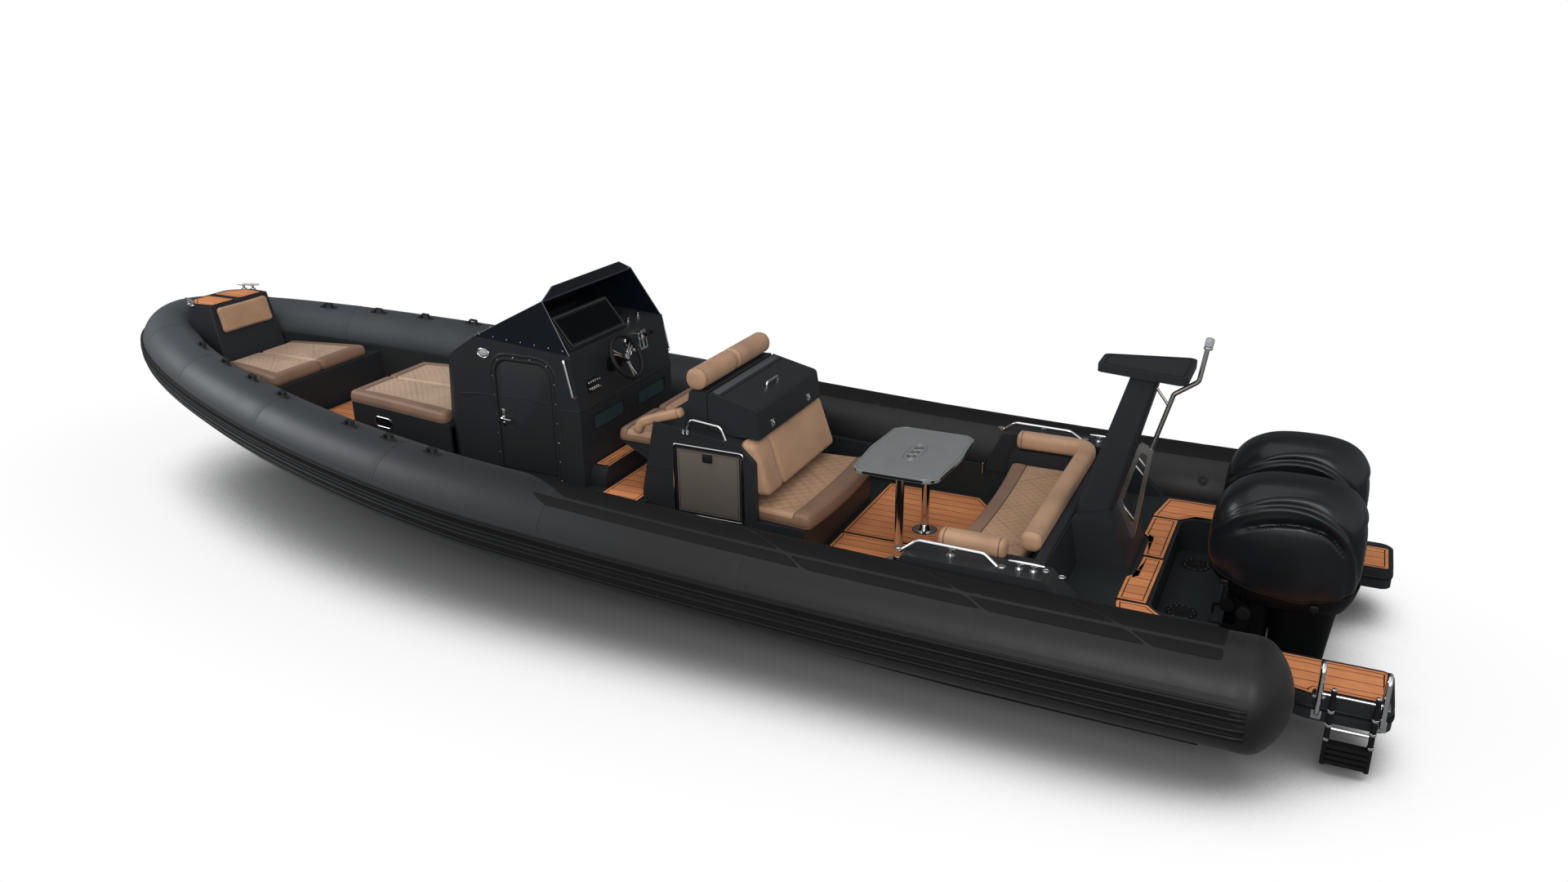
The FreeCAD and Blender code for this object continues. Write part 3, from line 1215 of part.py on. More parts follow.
def armrests():
    """Padded arms at the ends of the helm seat, curved down at the front, each on one foot."""
    y0, y1 = MODULE_HALF - ARM_WIDTH, MODULE_HALF
    aft, fore = ARM_X
    shoulder = MODULE_FRONT[1]
    pad = side_prism([(aft, ARM_TOP_Z), (aft + 245.0, ARM_TOP_Z - 99.0), (fore - 40.0, ARM_TOP_Z - 150.0),
                      (fore, ARM_TOP_Z - 217.0), (fore - 21.0, ARM_TOP_Z - 254.0), (fore - 59.0, ARM_TOP_Z - 220.0),
                      (fore - 95.0, ARM_TOP_Z - 174.0), (shoulder[0] - 2.0, shoulder[1] + 2.5),
                      (aft, ARM_TOP_Z - 66.0)], y0, y1,
                     [26.0, 120.0, 70.0, 26.0, 16.0, 20.0, 60.0, 30.0, 20.0])
    foot_x = (aft + 55.0, aft + 105.0)
    foot = side_prism([(x, ledge_z(x) + SEAT) for x in foot_x] + [(x, ARM_TOP_Z - 62.0) for x in reversed(foot_x)],
                      y0 + 18.0, y1 - 18.0)
    return both_sides(fused([pad, foot]))


def galley_rails():
    """Stainless rails beside the lid on both sides of the module."""
    y = MODULE_HALF - 34.0
    x_fore, x_aft = -960.0, -1262.0
    rail = bent_rail([V(x_fore, y, ledge_z(x_fore) - 6.0), V(x_fore - 30.0, y, ledge_z(x_fore) + 72.0),
                      V(x_aft + 40.0, y, ledge_z(x_aft) + 86.0), V(x_aft, y, ledge_z(x_aft) - 6.0)], 10.0, 40.0)
    clear = side_prism([(-600.0, ledge_z(-600.0) + SEAT), (-1280.0, ledge_z(-1280.0) + SEAT), (-1280.0, 900.0),
                        (-600.0, 900.0)], y - 100.0, y + 100.0)
    return both_sides(rail.cut(clear))


def bench_cushion():
    """Seat cushion of the aft-facing bench."""
    x0, x1 = BENCH_CUSHION_X
    bow_x = x0 - BENCH_CUSHION_BOW
    corners = [(x0, -BENCH_CUSHION_HALF + 30.0), (x1, -BENCH_CUSHION_HALF + 75.0), (x1, BENCH_CUSHION_HALF - 75.0),
               (x0, BENCH_CUSHION_HALF - 30.0), (bow_x, BENCH_CUSHION_HALF * 0.45), (bow_x, -BENCH_CUSHION_HALF * 0.45)]
    return plan_prism(corners, BENCH_Z + SEAT, BENCH_Z + SEAT + BENCH_CUSHION_T,
                      [50.0, 20.0, 20.0, 50.0, 2500.0, 2500.0])


def bench_backrests():
    """Two back cushions above the bench, thick at the foot, split off the centre."""
    pads = []
    half = MODULE_HALF - 40.0 - SLOT
    wall = BACKREST_WALL_X - SEAT
    low, high = BACKREST_Z
    corners = [(wall, low), (wall, high - 20.0), (wall - 50.0, high), (wall - BACKREST_T[0], high),
               (wall - BACKREST_T[1], low + 40.0), (wall - BACKREST_T[1] + 14.0, low)]
    for y0, y1 in ((-half, BACKREST_SPLIT_Y - SLOT / 2.0), (BACKREST_SPLIT_Y + SLOT / 2.0, half)):
        pads.append(side_prism(corners, y0, y1, [6.0, 6.0, 14.0, 40.0, 30.0, 16.0]))
    return pads


# Table


def table_top():
    x0, x1 = TABLE_X
    bulge = 26.0
    corners = [(x0, -TABLE_HALF + 60.0), (x0 - bulge, 0.0), (x0, TABLE_HALF - 60.0), (x0 + 60.0, TABLE_HALF),
               (x1 - 60.0, TABLE_HALF), (x1, TABLE_HALF - 60.0), (x1 + bulge, 0.0), (x1, -TABLE_HALF + 60.0),
               (x1 - 60.0, -TABLE_HALF), (x0 + 60.0, -TABLE_HALF)]
    top = plan_prism(corners, TABLE_Z - TABLE_T, TABLE_Z, [60.0, 900.0, 60.0, 60.0, 60.0, 60.0, 900.0, 60.0, 60.0, 60.0])
    holes = []
    centre_x = (x0 + x1) / 2.0
    for side in (-1.0, 0.0, 1.0):
        holes.append(Part.makeCylinder(32.0, TABLE_T, V(centre_x, side * 84.0, TABLE_Z - TABLE_T * 0.7)))
    return top.cut(holes)


def table_legs():
    legs = []
    for side in (1.0, -1.0):
        y = side * TABLE_LEG_Y
        foot = Part.makeCylinder(TABLE_FOOT_R, 10.0, V(TABLE_LEG_X, y, COCKPIT_Z))
        collar = Part.makeCone(50.0, TABLE_LEG_R + 4.0, 40.0, V(TABLE_LEG_X, y, COCKPIT_Z + 9.0))
        post = Part.makeCylinder(TABLE_LEG_R, TABLE_Z - TABLE_T - COCKPIT_Z, V(TABLE_LEG_X, y, COCKPIT_Z))
        head = Part.makeCylinder(TABLE_FOOT_R, 8.0, V(TABLE_LEG_X, y, TABLE_Z - TABLE_T - 8.0))
        legs.append(fused([foot, collar, post, head]))
    return legs


# Stern seat and mast


def stern_moulding(skin):
    """U-shaped seat base with side boxes, seat back and the block that carries the mast."""
    parts = []
    wall = TUBE_Y - TUBE_R - LINER - SEAT
    for sign in (1.0, -1.0):
        y0, y1 = sorted((sign * (wall - 18.0), sign * SIDE_OUTER))
        box = side_prism([(SIDE_X[1], AFT_DECK_Z + 60.0), (SIDE_X[1] - 120.0, SIDE_TOP_Z), (SIDE_X[0] + 340.0, SIDE_TOP_Z),
                          (SIDE_X[0], AFT_DECK_Z), (SIDE_X[1], AFT_DECK_Z + 6.0)], y0, y1, [10.0, 60.0, 60.0, 0.0, 0.0])
        parts.append(box)
        y0, y1 = sorted((sign * ARM_INNER, sign * wall))
        arm = side_prism([(SIDE_X[1] - 150.0, COCKPIT_Z), (SIDE_X[1] - 240.0, ARM_ROLL_Z - BOLSTER_R - SEAT),
                          (STERN_BACK_X[1], ARM_ROLL_Z - BOLSTER_R - SEAT), (STERN_BACK_X[1], COCKPIT_Z)],
                         y0, y1, [0.0, 40.0, 0.0, 0.0])
        parts.append(arm)
    seat = block((COCKPIT_AFT_X + SEAT, STERN_SEAT_X[1]), (-ARM_INNER - 1.0, ARM_INNER + 1.0), (COCKPIT_Z, STERN_SEAT_Z))
    back = side_prism([(STERN_BACK_X[0] - 60.0, AFT_DECK_Z), (STERN_BACK_X[0], SIDE_TOP_Z - 10.0),
                       (STERN_BACK_X[1], SIDE_TOP_Z - 10.0), (STERN_BACK_X[1], AFT_DECK_Z - 0.0)], -wall, wall,
                      [0.0, 30.0, 10.0, 0.0])
    (heel_x, heel_z), (toe_x, toe_z) = FRAME_HEEL, FRAME_TOE
    pedestal = side_prism([(STERN_BACK_X[0] + 20.0, AFT_DECK_Z), (STERN_BACK_X[0] + 20.0, SIDE_TOP_Z - 30.0),
                           (heel_x + 1.3 * SEAT, heel_z), (toe_x + 1.3 * SEAT, toe_z),
                           (toe_x - 40.0, AFT_DECK_Z)], -MAST_HALF - 120.0, MAST_HALF + 120.0)
    body = fused(parts + [seat, back, pedestal])
    lip_top = sheer(SIDE_X[1]) + LIP + SEAT
    deck = block((SIDE_X[0] - 200.0, COCKPIT_AFT_X + SEAT), (-TUBE_Y, TUBE_Y), (0.0, AFT_DECK_Z))
    lips = both_sides(block((COCKPIT_AFT_X, SIDE_X[1] + 10.0), (wall, TUBE_Y), (0.0, lip_top)))
    body = body.cut([skin, deck] + lips)
    mast = mast_blank(MAST_HALF + SEAT, 0.0)
    body = body.cut(mast)
    return max(body.Solids, key=lambda solid: solid.Volume)


def stern_cushion():
    x0, x1 = BACK_ROLL_X + BOLSTER_R + SLOT, STERN_SEAT_X[1] + 14.0
    half = ARM_INNER - SLOT
    bow_x = x1 - STERN_CUSHION_BOW
    corners = [(x0, -half), (x1, -half), (bow_x, -half * 0.45), (bow_x, half * 0.45), (x1, half), (x0, half)]
    return plan_prism(corners, STERN_SEAT_Z + SEAT, STERN_SEAT_Z + SEAT + STERN_CUSHION_T,
                      [30.0, 50.0, 2500.0, 2500.0, 50.0, 30.0])


def stern_backrest():
    """Padded rolls: one on the port arm, and one that runs along the back and round on to the starboard arm."""
    arm = rod(V(ARM_ROLL_AFT, ARM_ROLL_Y, ARM_ROLL_Z), V(ARM_ROLL_FORE, ARM_ROLL_Y, ARM_ROLL_Z), BOLSTER_R)
    back = bent_rail([V(BACK_ROLL_X, BACK_ROLL_END, ARM_ROLL_Z), V(BACK_ROLL_X, -ARM_ROLL_Y, ARM_ROLL_Z),
                      V(ARM_ROLL_FORE, -ARM_ROLL_Y, ARM_ROLL_Z)], BOLSTER_R, 120.0)
    return [arm, back]


def stern_handrails():
    y0, y1 = 1140.0, 1121.0
    points = [V(-2726.0, y0, SIDE_TOP_Z - 20.0), V(-2830.0, y1, 901.0), V(-3242.0, y1, 893.0),
              V(-3345.0, y0, SIDE_TOP_Z - 20.0)]
    rail = bent_rail(points, 12.0, 60.0)
    stay = rod(V(-3036.0, y1, SIDE_TOP_Z - 10.0), V(-3036.0, y1, 897.0), 8.0)
    body = fused([rail, stay])
    low = block((-3500.0, SIDE_X[1] - 120.0), (900.0, 1300.0), (700.0, SIDE_TOP_Z + SEAT))
    return both_sides(body.cut(low))


def mast_blank(half, grow):
    return side_prism([(MAST_FOOT_X[0] - grow, AFT_DECK_Z), (MAST_FOOT_X[1] + grow, AFT_DECK_Z),
                       (MAST_HEAD_X[1] + grow, WING_Z[0] - SEAT), (MAST_HEAD_X[0] - grow, WING_Z[0] - SEAT)],
                      -half, half, 0.0)


def mast_pillar():
    """Raked pillar that tapers in width towards the top."""
    foot = [V(MAST_FOOT_X[0], -MAST_HALF, AFT_DECK_Z), V(MAST_FOOT_X[1], -MAST_HALF, AFT_DECK_Z),
            V(MAST_FOOT_X[1], MAST_HALF, AFT_DECK_Z), V(MAST_FOOT_X[0], MAST_HALF, AFT_DECK_Z)]
    top = WING_Z[0] - SEAT
    half = MAST_HALF * 0.8
    head = [V(MAST_HEAD_X[0], -half, top), V(MAST_HEAD_X[1], -half, top), V(MAST_HEAD_X[1], half, top),
            V(MAST_HEAD_X[0], half, top)]
    return Part.makeLoft([outline(foot, 36.0), outline(head, 30.0)], True, True)


def mast_wing():
    corners = [(WING_X[0], -WING_HALF[0]), (WING_X[1], -WING_HALF[1]), (WING_X[1], WING_HALF[1]), (WING_X[0], WING_HALF[0])]
    return plan_prism(corners, WING_Z[0], WING_Z[1], [50.0, 40.0, 40.0, 50.0])


def mast_frame():
    """Stainless step frame behind the pillar: a closed side frame with braces, and the leg that goes on up."""
    outer = side_prism([FRAME_HEEL, FRAME_HEAD, FRAME_SHOULDER, FRAME_TOE], -FRAME_HALF, FRAME_HALF, 12.0)
    inner = side_prism([(-3828.0, 880.0), (-3915.0, 1240.0), (-3956.0, 1222.0), (-3906.0, 720.0)],
                       -FRAME_HALF - 1.0, FRAME_HALF + 1.0, 8.0)
    leg = rod(V(-3966.0, 0, 1240.0), V(LEG_JOINT[0], 0, LEG_JOINT[1]), LEG_R)
    stay = rod(V(-3960.0, 0, 1676.0), V(LEG_JOINT[0] + 10.0, 0, LEG_JOINT[1] - 38.0), 9.0)
    braces = []
    for fore, aft in (((-3876.0, 1150.0), (-3952.0, 1070.0)), ((-3890.0, 1204.0), (-3960.0, 1130.0)),
                      ((-3816.0, 874.0), (-3914.0, 766.0))):
        braces.append(rod(V(fore[0], 0, fore[1]), V(aft[0], 0, aft[1]), 8.0))
    body = fused([outer.cut(inner), leg, stay] + braces)
    return body.cut(mast_blank(MAST_HALF + SEAT, SEAT))


def tow_pole():
    """Light pole behind the wing, bent up from the top of the frame's leg."""
    joint = V(LEG_JOINT[0], 0, LEG_JOINT[1])
    heading = joint - V(-3966.0, 0, 1240.0)
    start = joint + heading.normalize() * SEAT
    elbow = joint + heading * 44.0
    arm = bent_rail([start, elbow, V(-4208.0, 0, 1740.0), V(-4236.0, 0, 1960.0)], LEG_R, 40.0)
    lamp = rod(V(-4238.0, 0, 1950.0), V(-4245.0, 0, 2010.0), 24.0)
    return fused([arm, lamp])


# Swim platforms and ladder


def platform():
    """Port swim platform on the transom."""
    x0, x1 = PLATFORM_X
    corners = [(x0, PLATFORM_INNER), (x0, PLATFORM_OUTER), (x0 + 420.0, PLATFORM_OUTER),
               (TUBE_STERN_X - TUBE_CAP * 0.4, TUBE_Y - TUBE_R - 20.0), (TRANSOM_X - SEAT, TUBE_Y - TUBE_R - 20.0),
               (TRANSOM_X - SEAT, PLATFORM_INNER)]
    top = plan_prism(corners, PLATFORM_Z - PLATFORM_T, PLATFORM_Z, [70.0, 90.0, 60.0, 60.0, 0.0, 0.0])
    return top


def swim_platforms(skin):
    return both_sides(platform().cut(skin))


def platform_teak(skin):
    x0 = PLATFORM_X[0] + 24.0
    inner = PLATFORM_INNER + 22.0
    outer = PLATFORM_OUTER - 24.0
    notch = PLATFORM_OUTER - HOOP_FOOT - HOOP_R - 8.0
    corners = [(x0, inner), (x0, notch), (HOOP_X[1] + HOOP_R + 10.0, notch), (HOOP_X[1] + HOOP_R + 10.0, outer),
               (TUBE_STERN_X - TUBE_CAP * 0.4, TUBE_Y - TUBE_R - 50.0), (TRANSOM_X - 60.0, TUBE_Y - TUBE_R - 50.0),
               (TRANSOM_X - 60.0, inner)]
    pad = plan_prism(corners, PLATFORM_Z, PLATFORM_Z + TEAK_T, 12.0)
    return both_sides(pad.cut(skin))


def ladder_hoops():
    """Two stainless grab hoops at the ladder."""
    hoops = []
    for x in HOOP_X:
        points = [V(x, PLATFORM_OUTER - HOOP_FOOT, PLATFORM_Z - 4.0), V(x, PLATFORM_OUTER - 40.0, PLATFORM_Z + 218.0),
                  V(x, PLATFORM_OUTER + 42.0, PLATFORM_Z + 218.0), V(x, PLATFORM_OUTER + 42.0, PLATFORM_Z - 62.0),
                  V(x, PLATFORM_OUTER - 4.0, PLATFORM_Z - 84.0)]
        hoop = bent_rail(points, HOOP_R, 40.0)
        clear = block((x - 60.0, x + 60.0), (PLATFORM_INNER, PLATFORM_OUTER + SEAT), (PLATFORM_Z - PLATFORM_T, PLATFORM_Z + SEAT))
        hoops.append(hoop.cut(clear))
    pin = rod(V(HOOP_X[0] + HOOP_R - 2.0, LADDER_Y, LADDER_PIVOT_Z), V(HOOP_X[1] - HOOP_R + 2.0, LADDER_Y, LADDER_PIVOT_Z), 7.0)
    return fused(hoops + [pin])


def ladder():
    """Telescopic ladder, closed up and hanging from its pivot pin."""
    parts = []
    for x in LADDER_X:
        parts.append(rod(V(x, LADDER_Y, LADDER_FOOT_Z), V(x, LADDER_Y, LADDER_PIVOT_Z + 34.0), LADDER_R))
    for i in range(RUNGS):
        z = LADDER_FOOT_Z + 26.0 + 34.0 * i
        parts.append(block((LADDER_X[0] + 6.0, LADDER_X[1] - 6.0), (LADDER_Y - 26.0, LADDER_Y + 26.0), (z - 11.0, z + 11.0)))
    z = LADDER_FOOT_Z + 26.0 + 34.0 * RUNGS + 60.0
    parts.append(rod(V(LADDER_X[0], LADDER_Y, z), V(LADDER_X[1], LADDER_Y, z), 9.0))
    body = fused(parts)
    pin = rod(V(HOOP_X[0], LADDER_Y, LADDER_PIVOT_Z), V(HOOP_X[1], LADDER_Y, LADDER_PIVOT_Z), 7.0 + PIN_FIT)
    return body.cut(pin)


# Outboard engines, built at the steering axis and then put in place


def egg(z, x_fore, x_aft, half, power=2.6):
    """Closed oval section of the engine cover."""
    centre = (x_fore + x_aft) / 2.0
    reach = (x_fore - x_aft) / 2.0
    points = []
    count = 16
    for i in range(count):
        turn = 2.0 * math.pi * i / count
        c, s = math.cos(turn), math.sin(turn)
        x = centre + reach * math.copysign(abs(c) ** (2.0 / power), c)
        y = half * math.copysign(abs(s) ** (2.0 / power), s)
        points.append(V(x, y, z))
    curve = Part.BSplineCurve()
    curve.interpolate(points, True)
    return Part.Wire(curve.toShape())


def cowl_loft(inset):
    sections = ((590.0, 175.0, -440.0, 180.0), (680.0, 270.0, -485.0, 250.0), (800.0, 322.0, -512.0, 280.0),
                (950.0, 334.0, -517.0, 286.0), (1110.0, 318.0, -508.0, 278.0), (1230.0, 262.0, -470.0, 238.0),
                (1315.0, 150.0, -385.0, 165.0), (1352.0 - inset, 10.0, -260.0, 80.0))
    wires = []
    for z, fore, aft, half in sections:
        wires.append(egg(z, fore - inset, aft + inset, half - inset))
    return Part.makeLoft(wires, True, False)


def seam_prism(low, top_z, half=400.0):
    """Everything above the curved joint between the cowl and the pan."""
    curve = Part.BSplineCurve()
    curve.interpolate([V(400.0, -half, 850.0 + low), V(230.0, -half, 770.0 + low), V(-190.0, -half, 700.0 + low),
                       V(-430.0, -half, 735.0 + low), V(-620.0, -half, 830.0 + low)])
    first, last = curve.StartPoint, curve.EndPoint
    edges = [curve.toShape(), Part.LineSegment(last, V(last.x, -half, top_z)).toShape(),
             Part.LineSegment(V(last.x, -half, top_z), V(first.x, -half, top_z)).toShape(),
             Part.LineSegment(V(first.x, -half, top_z), first).toShape()]
    return Part.Face(Part.Wire(edges)).extrude(V(0, 2.0 * half, 0))


def engine_cowl():
    """Hollow engine cover above the curved seam."""
    shell = cowl_loft(0.0).cut(cowl_loft(COWL_WALL))
    return shell.common(seam_prism(SEAT, 1500.0))


def engine_leg():
    """Pan, engine block, midsection with its steering post, gearcase and skeg."""
    pan = cowl_loft(0.0).cut(seam_prism(0.0, 1500.0))
    under = side_prism([(430.0, 500.0), (430.0, 835.0), (340.0, 790.0), (150.0, 672.0), (30.0, 612.0), (-420.0, 606.0),
                        (-620.0, 690.0), (-620.0, 500.0)], -400.0, 400.0)
    pan = pan.cut(under)
    engine = block((-330.0, 150.0), (-170.0, 170.0), (690.0, 1120.0))
    sections = ((630.0, -62.0, -420.0, 150.0), (470.0, -62.0, -400.0, 118.0), (100.0, -64.0, -365.0, 84.0),
                (-300.0, -60.0, -345.0, 60.0), (-462.0, -40.0, -350.0, 46.0))
    mid = Part.makeLoft([egg(z, fore, aft, half, 2.8) for z, fore, aft, half in sections], True, False)
    strut = Part.makeLoft([egg(-450.0, -30.0, -330.0, 44.0, 2.3), egg(-560.0, 60.0, -284.0, 36.0, 2.2),
                           egg(SHAFT_Z, 110.0, -280.0, 30.0, 2.2)], True, False)
    plate_outline = [(-20.0, -50.0), (-120.0, -110.0), (-500.0, -135.0), (-560.0, -60.0), (-560.0, 60.0), (-500.0, 135.0),
                     (-120.0, 110.0), (-20.0, 50.0)]
    cavitation = plan_prism(plate_outline, -476.0, -462.0, 40.0)
    nose = 190.0
    hub_x = PROP_X + PROP_GAP
    shaft_x = PROP_X - PROP_HUB - 26.0
    arc = Part.Arc(V(nose, 0, SHAFT_Z), V(nose - 90.0, 0, SHAFT_Z + TORPEDO_R * 0.82), V(0, 0, SHAFT_Z + TORPEDO_R)).toShape()
    run = [Part.LineSegment(V(0, 0, SHAFT_Z + TORPEDO_R), V(-230.0, 0, SHAFT_Z + TORPEDO_R)).toShape(),
           Part.LineSegment(V(-230.0, 0, SHAFT_Z + TORPEDO_R), V(hub_x, 0, SHAFT_Z + PROP_HUB_R)).toShape(),
           Part.LineSegment(V(hub_x, 0, SHAFT_Z + PROP_HUB_R), V(hub_x, 0, SHAFT_Z + PROP_SHAFT_R)).toShape(),
           Part.LineSegment(V(hub_x, 0, SHAFT_Z + PROP_SHAFT_R), V(shaft_x, 0, SHAFT_Z + PROP_SHAFT_R)).toShape(),
           Part.LineSegment(V(shaft_x, 0, SHAFT_Z + PROP_SHAFT_R), V(shaft_x, 0, SHAFT_Z)).toShape(),
           Part.LineSegment(V(shaft_x, 0, SHAFT_Z), V(nose, 0, SHAFT_Z)).toShape()]
    torpedo = Part.Face(Part.Wire([arc] + run)).revolve(V(0, 0, SHAFT_Z), V(1, 0, 0), 360.0)
    skeg = side_prism([(60.0, SHAFT_Z - 40.0), (-230.0, SHAFT_Z - 40.0), (-250.0, SHAFT_Z - 205.0), (-120.0, SHAFT_Z - 215.0)],
                      -8.0, 8.0, [0.0, 0.0, 20.0, 40.0])
    post = rod(V(0, 0, SLEEVE_Z[0] - 60.0), V(0, 0, 640.0), POST_R)
    top_yoke = fused([rod(V(0, 0, SLEEVE_Z[1] + YOKE_GAP), V(0, 0, 640.0), 58.0),
                      block((-110.0, 0.0), (-58.0, 58.0), (SLEEVE_Z[1] + YOKE_GAP, 640.0))])
    low_yoke = fused([rod(V(0, 0, SLEEVE_Z[0] - 70.0), V(0, 0, SLEEVE_Z[0] - YOKE_GAP), 54.0),
                      block((-120.0, 0.0), (-54.0, 54.0), (SLEEVE_Z[0] - 70.0, SLEEVE_Z[0] - YOKE_GAP))])
    body = fused([pan, engine, mid, strut, cavitation, torpedo, skeg, post, top_yoke, low_yoke])
    return max(body.Solids, key=lambda solid: solid.Volume)


def swivel_bracket():
    """Bracket that tilts on the tilt pin and carries the steering post, with the steering ram."""
    sleeve = rod(V(0, 0, SLEEVE_Z[0]), V(0, 0, SLEEVE_Z[1]), SLEEVE_R)
    ring_body = rod(V(TILT_X, -104.0, TILT_Z), V(TILT_X, 104.0, TILT_Z), 40.0)
    web = side_prism([(0.0, SLEEVE_Z[0] + 40.0), (0.0, SLEEVE_Z[1]), (TILT_X - 20.0, TILT_Z + 26.0), (TILT_X + 30.0, TILT_Z - 20.0),
                      (TILT_X - 6.0, TILT_Z - 120.0), (40.0, SLEEVE_Z[0] + 40.0)], -60.0, 60.0)
    ram_x, ram_z = TILT_X + 90.0, TILT_Z + 45.0
    ram = rod(V(ram_x, -185.0, ram_z), V(ram_x, 185.0, ram_z), 42.0)
    lugs = []
    for y0, y1 in ((-100.0, -70.0), (70.0, 100.0)):
        lugs.append(side_prism([(TILT_X - 20.0, TILT_Z + 10.0), (TILT_X + 60.0, TILT_Z + 74.0), (ram_x + 6.0, ram_z + 20.0),
                                (ram_x, ram_z - 20.0), (TILT_X + 10.0, TILT_Z - 24.0)], y0, y1))
    body = fused([sleeve, ring_body, web, ram] + lugs)
    bore = rod(V(0, 0, SLEEVE_Z[0] - 1.0), V(0, 0, SLEEVE_Z[1] + 200.0), POST_R + PIN_FIT)
    pin = rod(V(TILT_X, -200.0, TILT_Z), V(TILT_X, 200.0, TILT_Z), TILT_PIN_R + PIN_FIT)
    return body.cut([bore, pin])


def clamp_bracket():
    """Two cheeks over the transom, with the tilt pin through them."""
    face_x = TRANSOM_X - SWIVEL_X
    hook_x = face_x + TRANSOM_T
    top = TRANSOM_TOP
    lip = top + CHEEK_LIP
    parts = []
    for y0, y1 in ((-CHEEK_Y[1], -CHEEK_Y[0]), (CHEEK_Y[0], CHEEK_Y[1])):
        cheek = side_prism([(face_x - SEAT, top - 320.0), (face_x - SEAT, top + SEAT), (hook_x + SEAT, top + SEAT),
                            (hook_x + SEAT, top - 60.0), (hook_x + 18.0, top - 60.0), (hook_x + 18.0, lip),
                            (TILT_X + 33.0, lip), (TILT_X + 33.0, TILT_Z + 33.0), (TILT_X - 33.0, TILT_Z + 33.0),
                            (TILT_X - 40.0, TILT_Z - 60.0), (TILT_X + 20.0, top - 320.0)], y0, y1,
                           [0.0, 0.0, 0.0, 0.0, 6.0, 8.0, 12.0, 32.0, 32.0, 60.0, 30.0])
        parts.append(cheek)
    pin = rod(V(TILT_X, -CHEEK_Y[1] - 12.0, TILT_Z), V(TILT_X, CHEEK_Y[1] + 12.0, TILT_Z), TILT_PIN_R)
    return fused(parts + [pin])


def blade_section(radius, chord, thickness, handed):
    """Lens-shaped blade section wrapped at its pitch angle, at one radius."""
    pitch = math.atan(PROP_PITCH / (2.0 * math.pi * radius))
    along = V(-math.sin(pitch), 0, 0)
    around = V(0, math.cos(pitch) * handed, 0)
    chord_dir = along + around
    thick_dir = V(math.cos(pitch), math.sin(pitch) * handed, 0)
    middle = V(PROP_X - PROP_HUB * 0.54, 0, SHAFT_Z + radius)
    lead = middle - chord_dir * (chord * 0.5)
    trail = middle + chord_dir * (chord * 0.5)
    upper = Part.Arc(lead, middle + thick_dir * (thickness * 0.5), trail).toShape()
    lower = Part.Arc(trail, middle - thick_dir * (thickness * 0.5), lead).toShape()
    return Part.Wire([upper, lower])


def propeller(handed):
    """Four-bladed propeller on a tapered hub."""
    hub = Part.makeCone(PROP_HUB_R, PROP_HUB_R * 0.82, PROP_HUB, V(PROP_X, 0, SHAFT_Z), V(-1, 0, 0))
    mouth = Part.makeCone(PROP_HUB_R * 0.62, PROP_HUB_R * 0.66, PROP_HUB * 0.4, V(PROP_X - PROP_HUB * 0.6, 0, SHAFT_Z),
                          V(-1, 0, 0))
    bore = rod(V(PROP_X + 1.0, 0, SHAFT_Z), V(PROP_X - PROP_HUB - 1.0, 0, SHAFT_Z), PROP_SHAFT_R + PIN_FIT)
    rows = ((PROP_HUB_R * 0.8, 120.0, 14.0), (PROP_R * 0.45, 175.0, 11.0), (PROP_R * 0.72, 190.0, 8.0),
            (PROP_R * 0.92, 130.0, 5.0), (PROP_R, 60.0, 3.0))
    blade = Part.makeLoft([blade_section(r, c, t, handed) for r, c, t in rows], True, False)
    blades = []
    for i in range(BLADES):
        copy = blade.copy()
        copy.rotate(V(0, 0, SHAFT_Z), V(1, 0, 0), 360.0 * i / BLADES)
        blades.append(copy)
    return fused([hub] + blades).cut([bore, mouth])


def placed(shape, side):
    moved = shape.copy()
    moved.translate(V(SWIVEL_X, side * ENGINE_Y, 0))
    return moved


def write_engines():
    cowl = engine_cowl()
    leg = engine_leg()
    swivel = swivel_bracket()
    for name, side in (("port", 1.0), ("stbd", -1.0)):
        write(name + "_engine_cowl", placed(cowl, side))
        write(name + "_engine_leg", placed(leg, side))
        write(name + "_swivel_bracket", placed(swivel, side))
        write(name + "_propeller", placed(propeller(side), side))
    clamp = clamp_bracket()
    write("clamp_brackets", [placed(clamp, 1.0), placed(clamp, -1.0)])


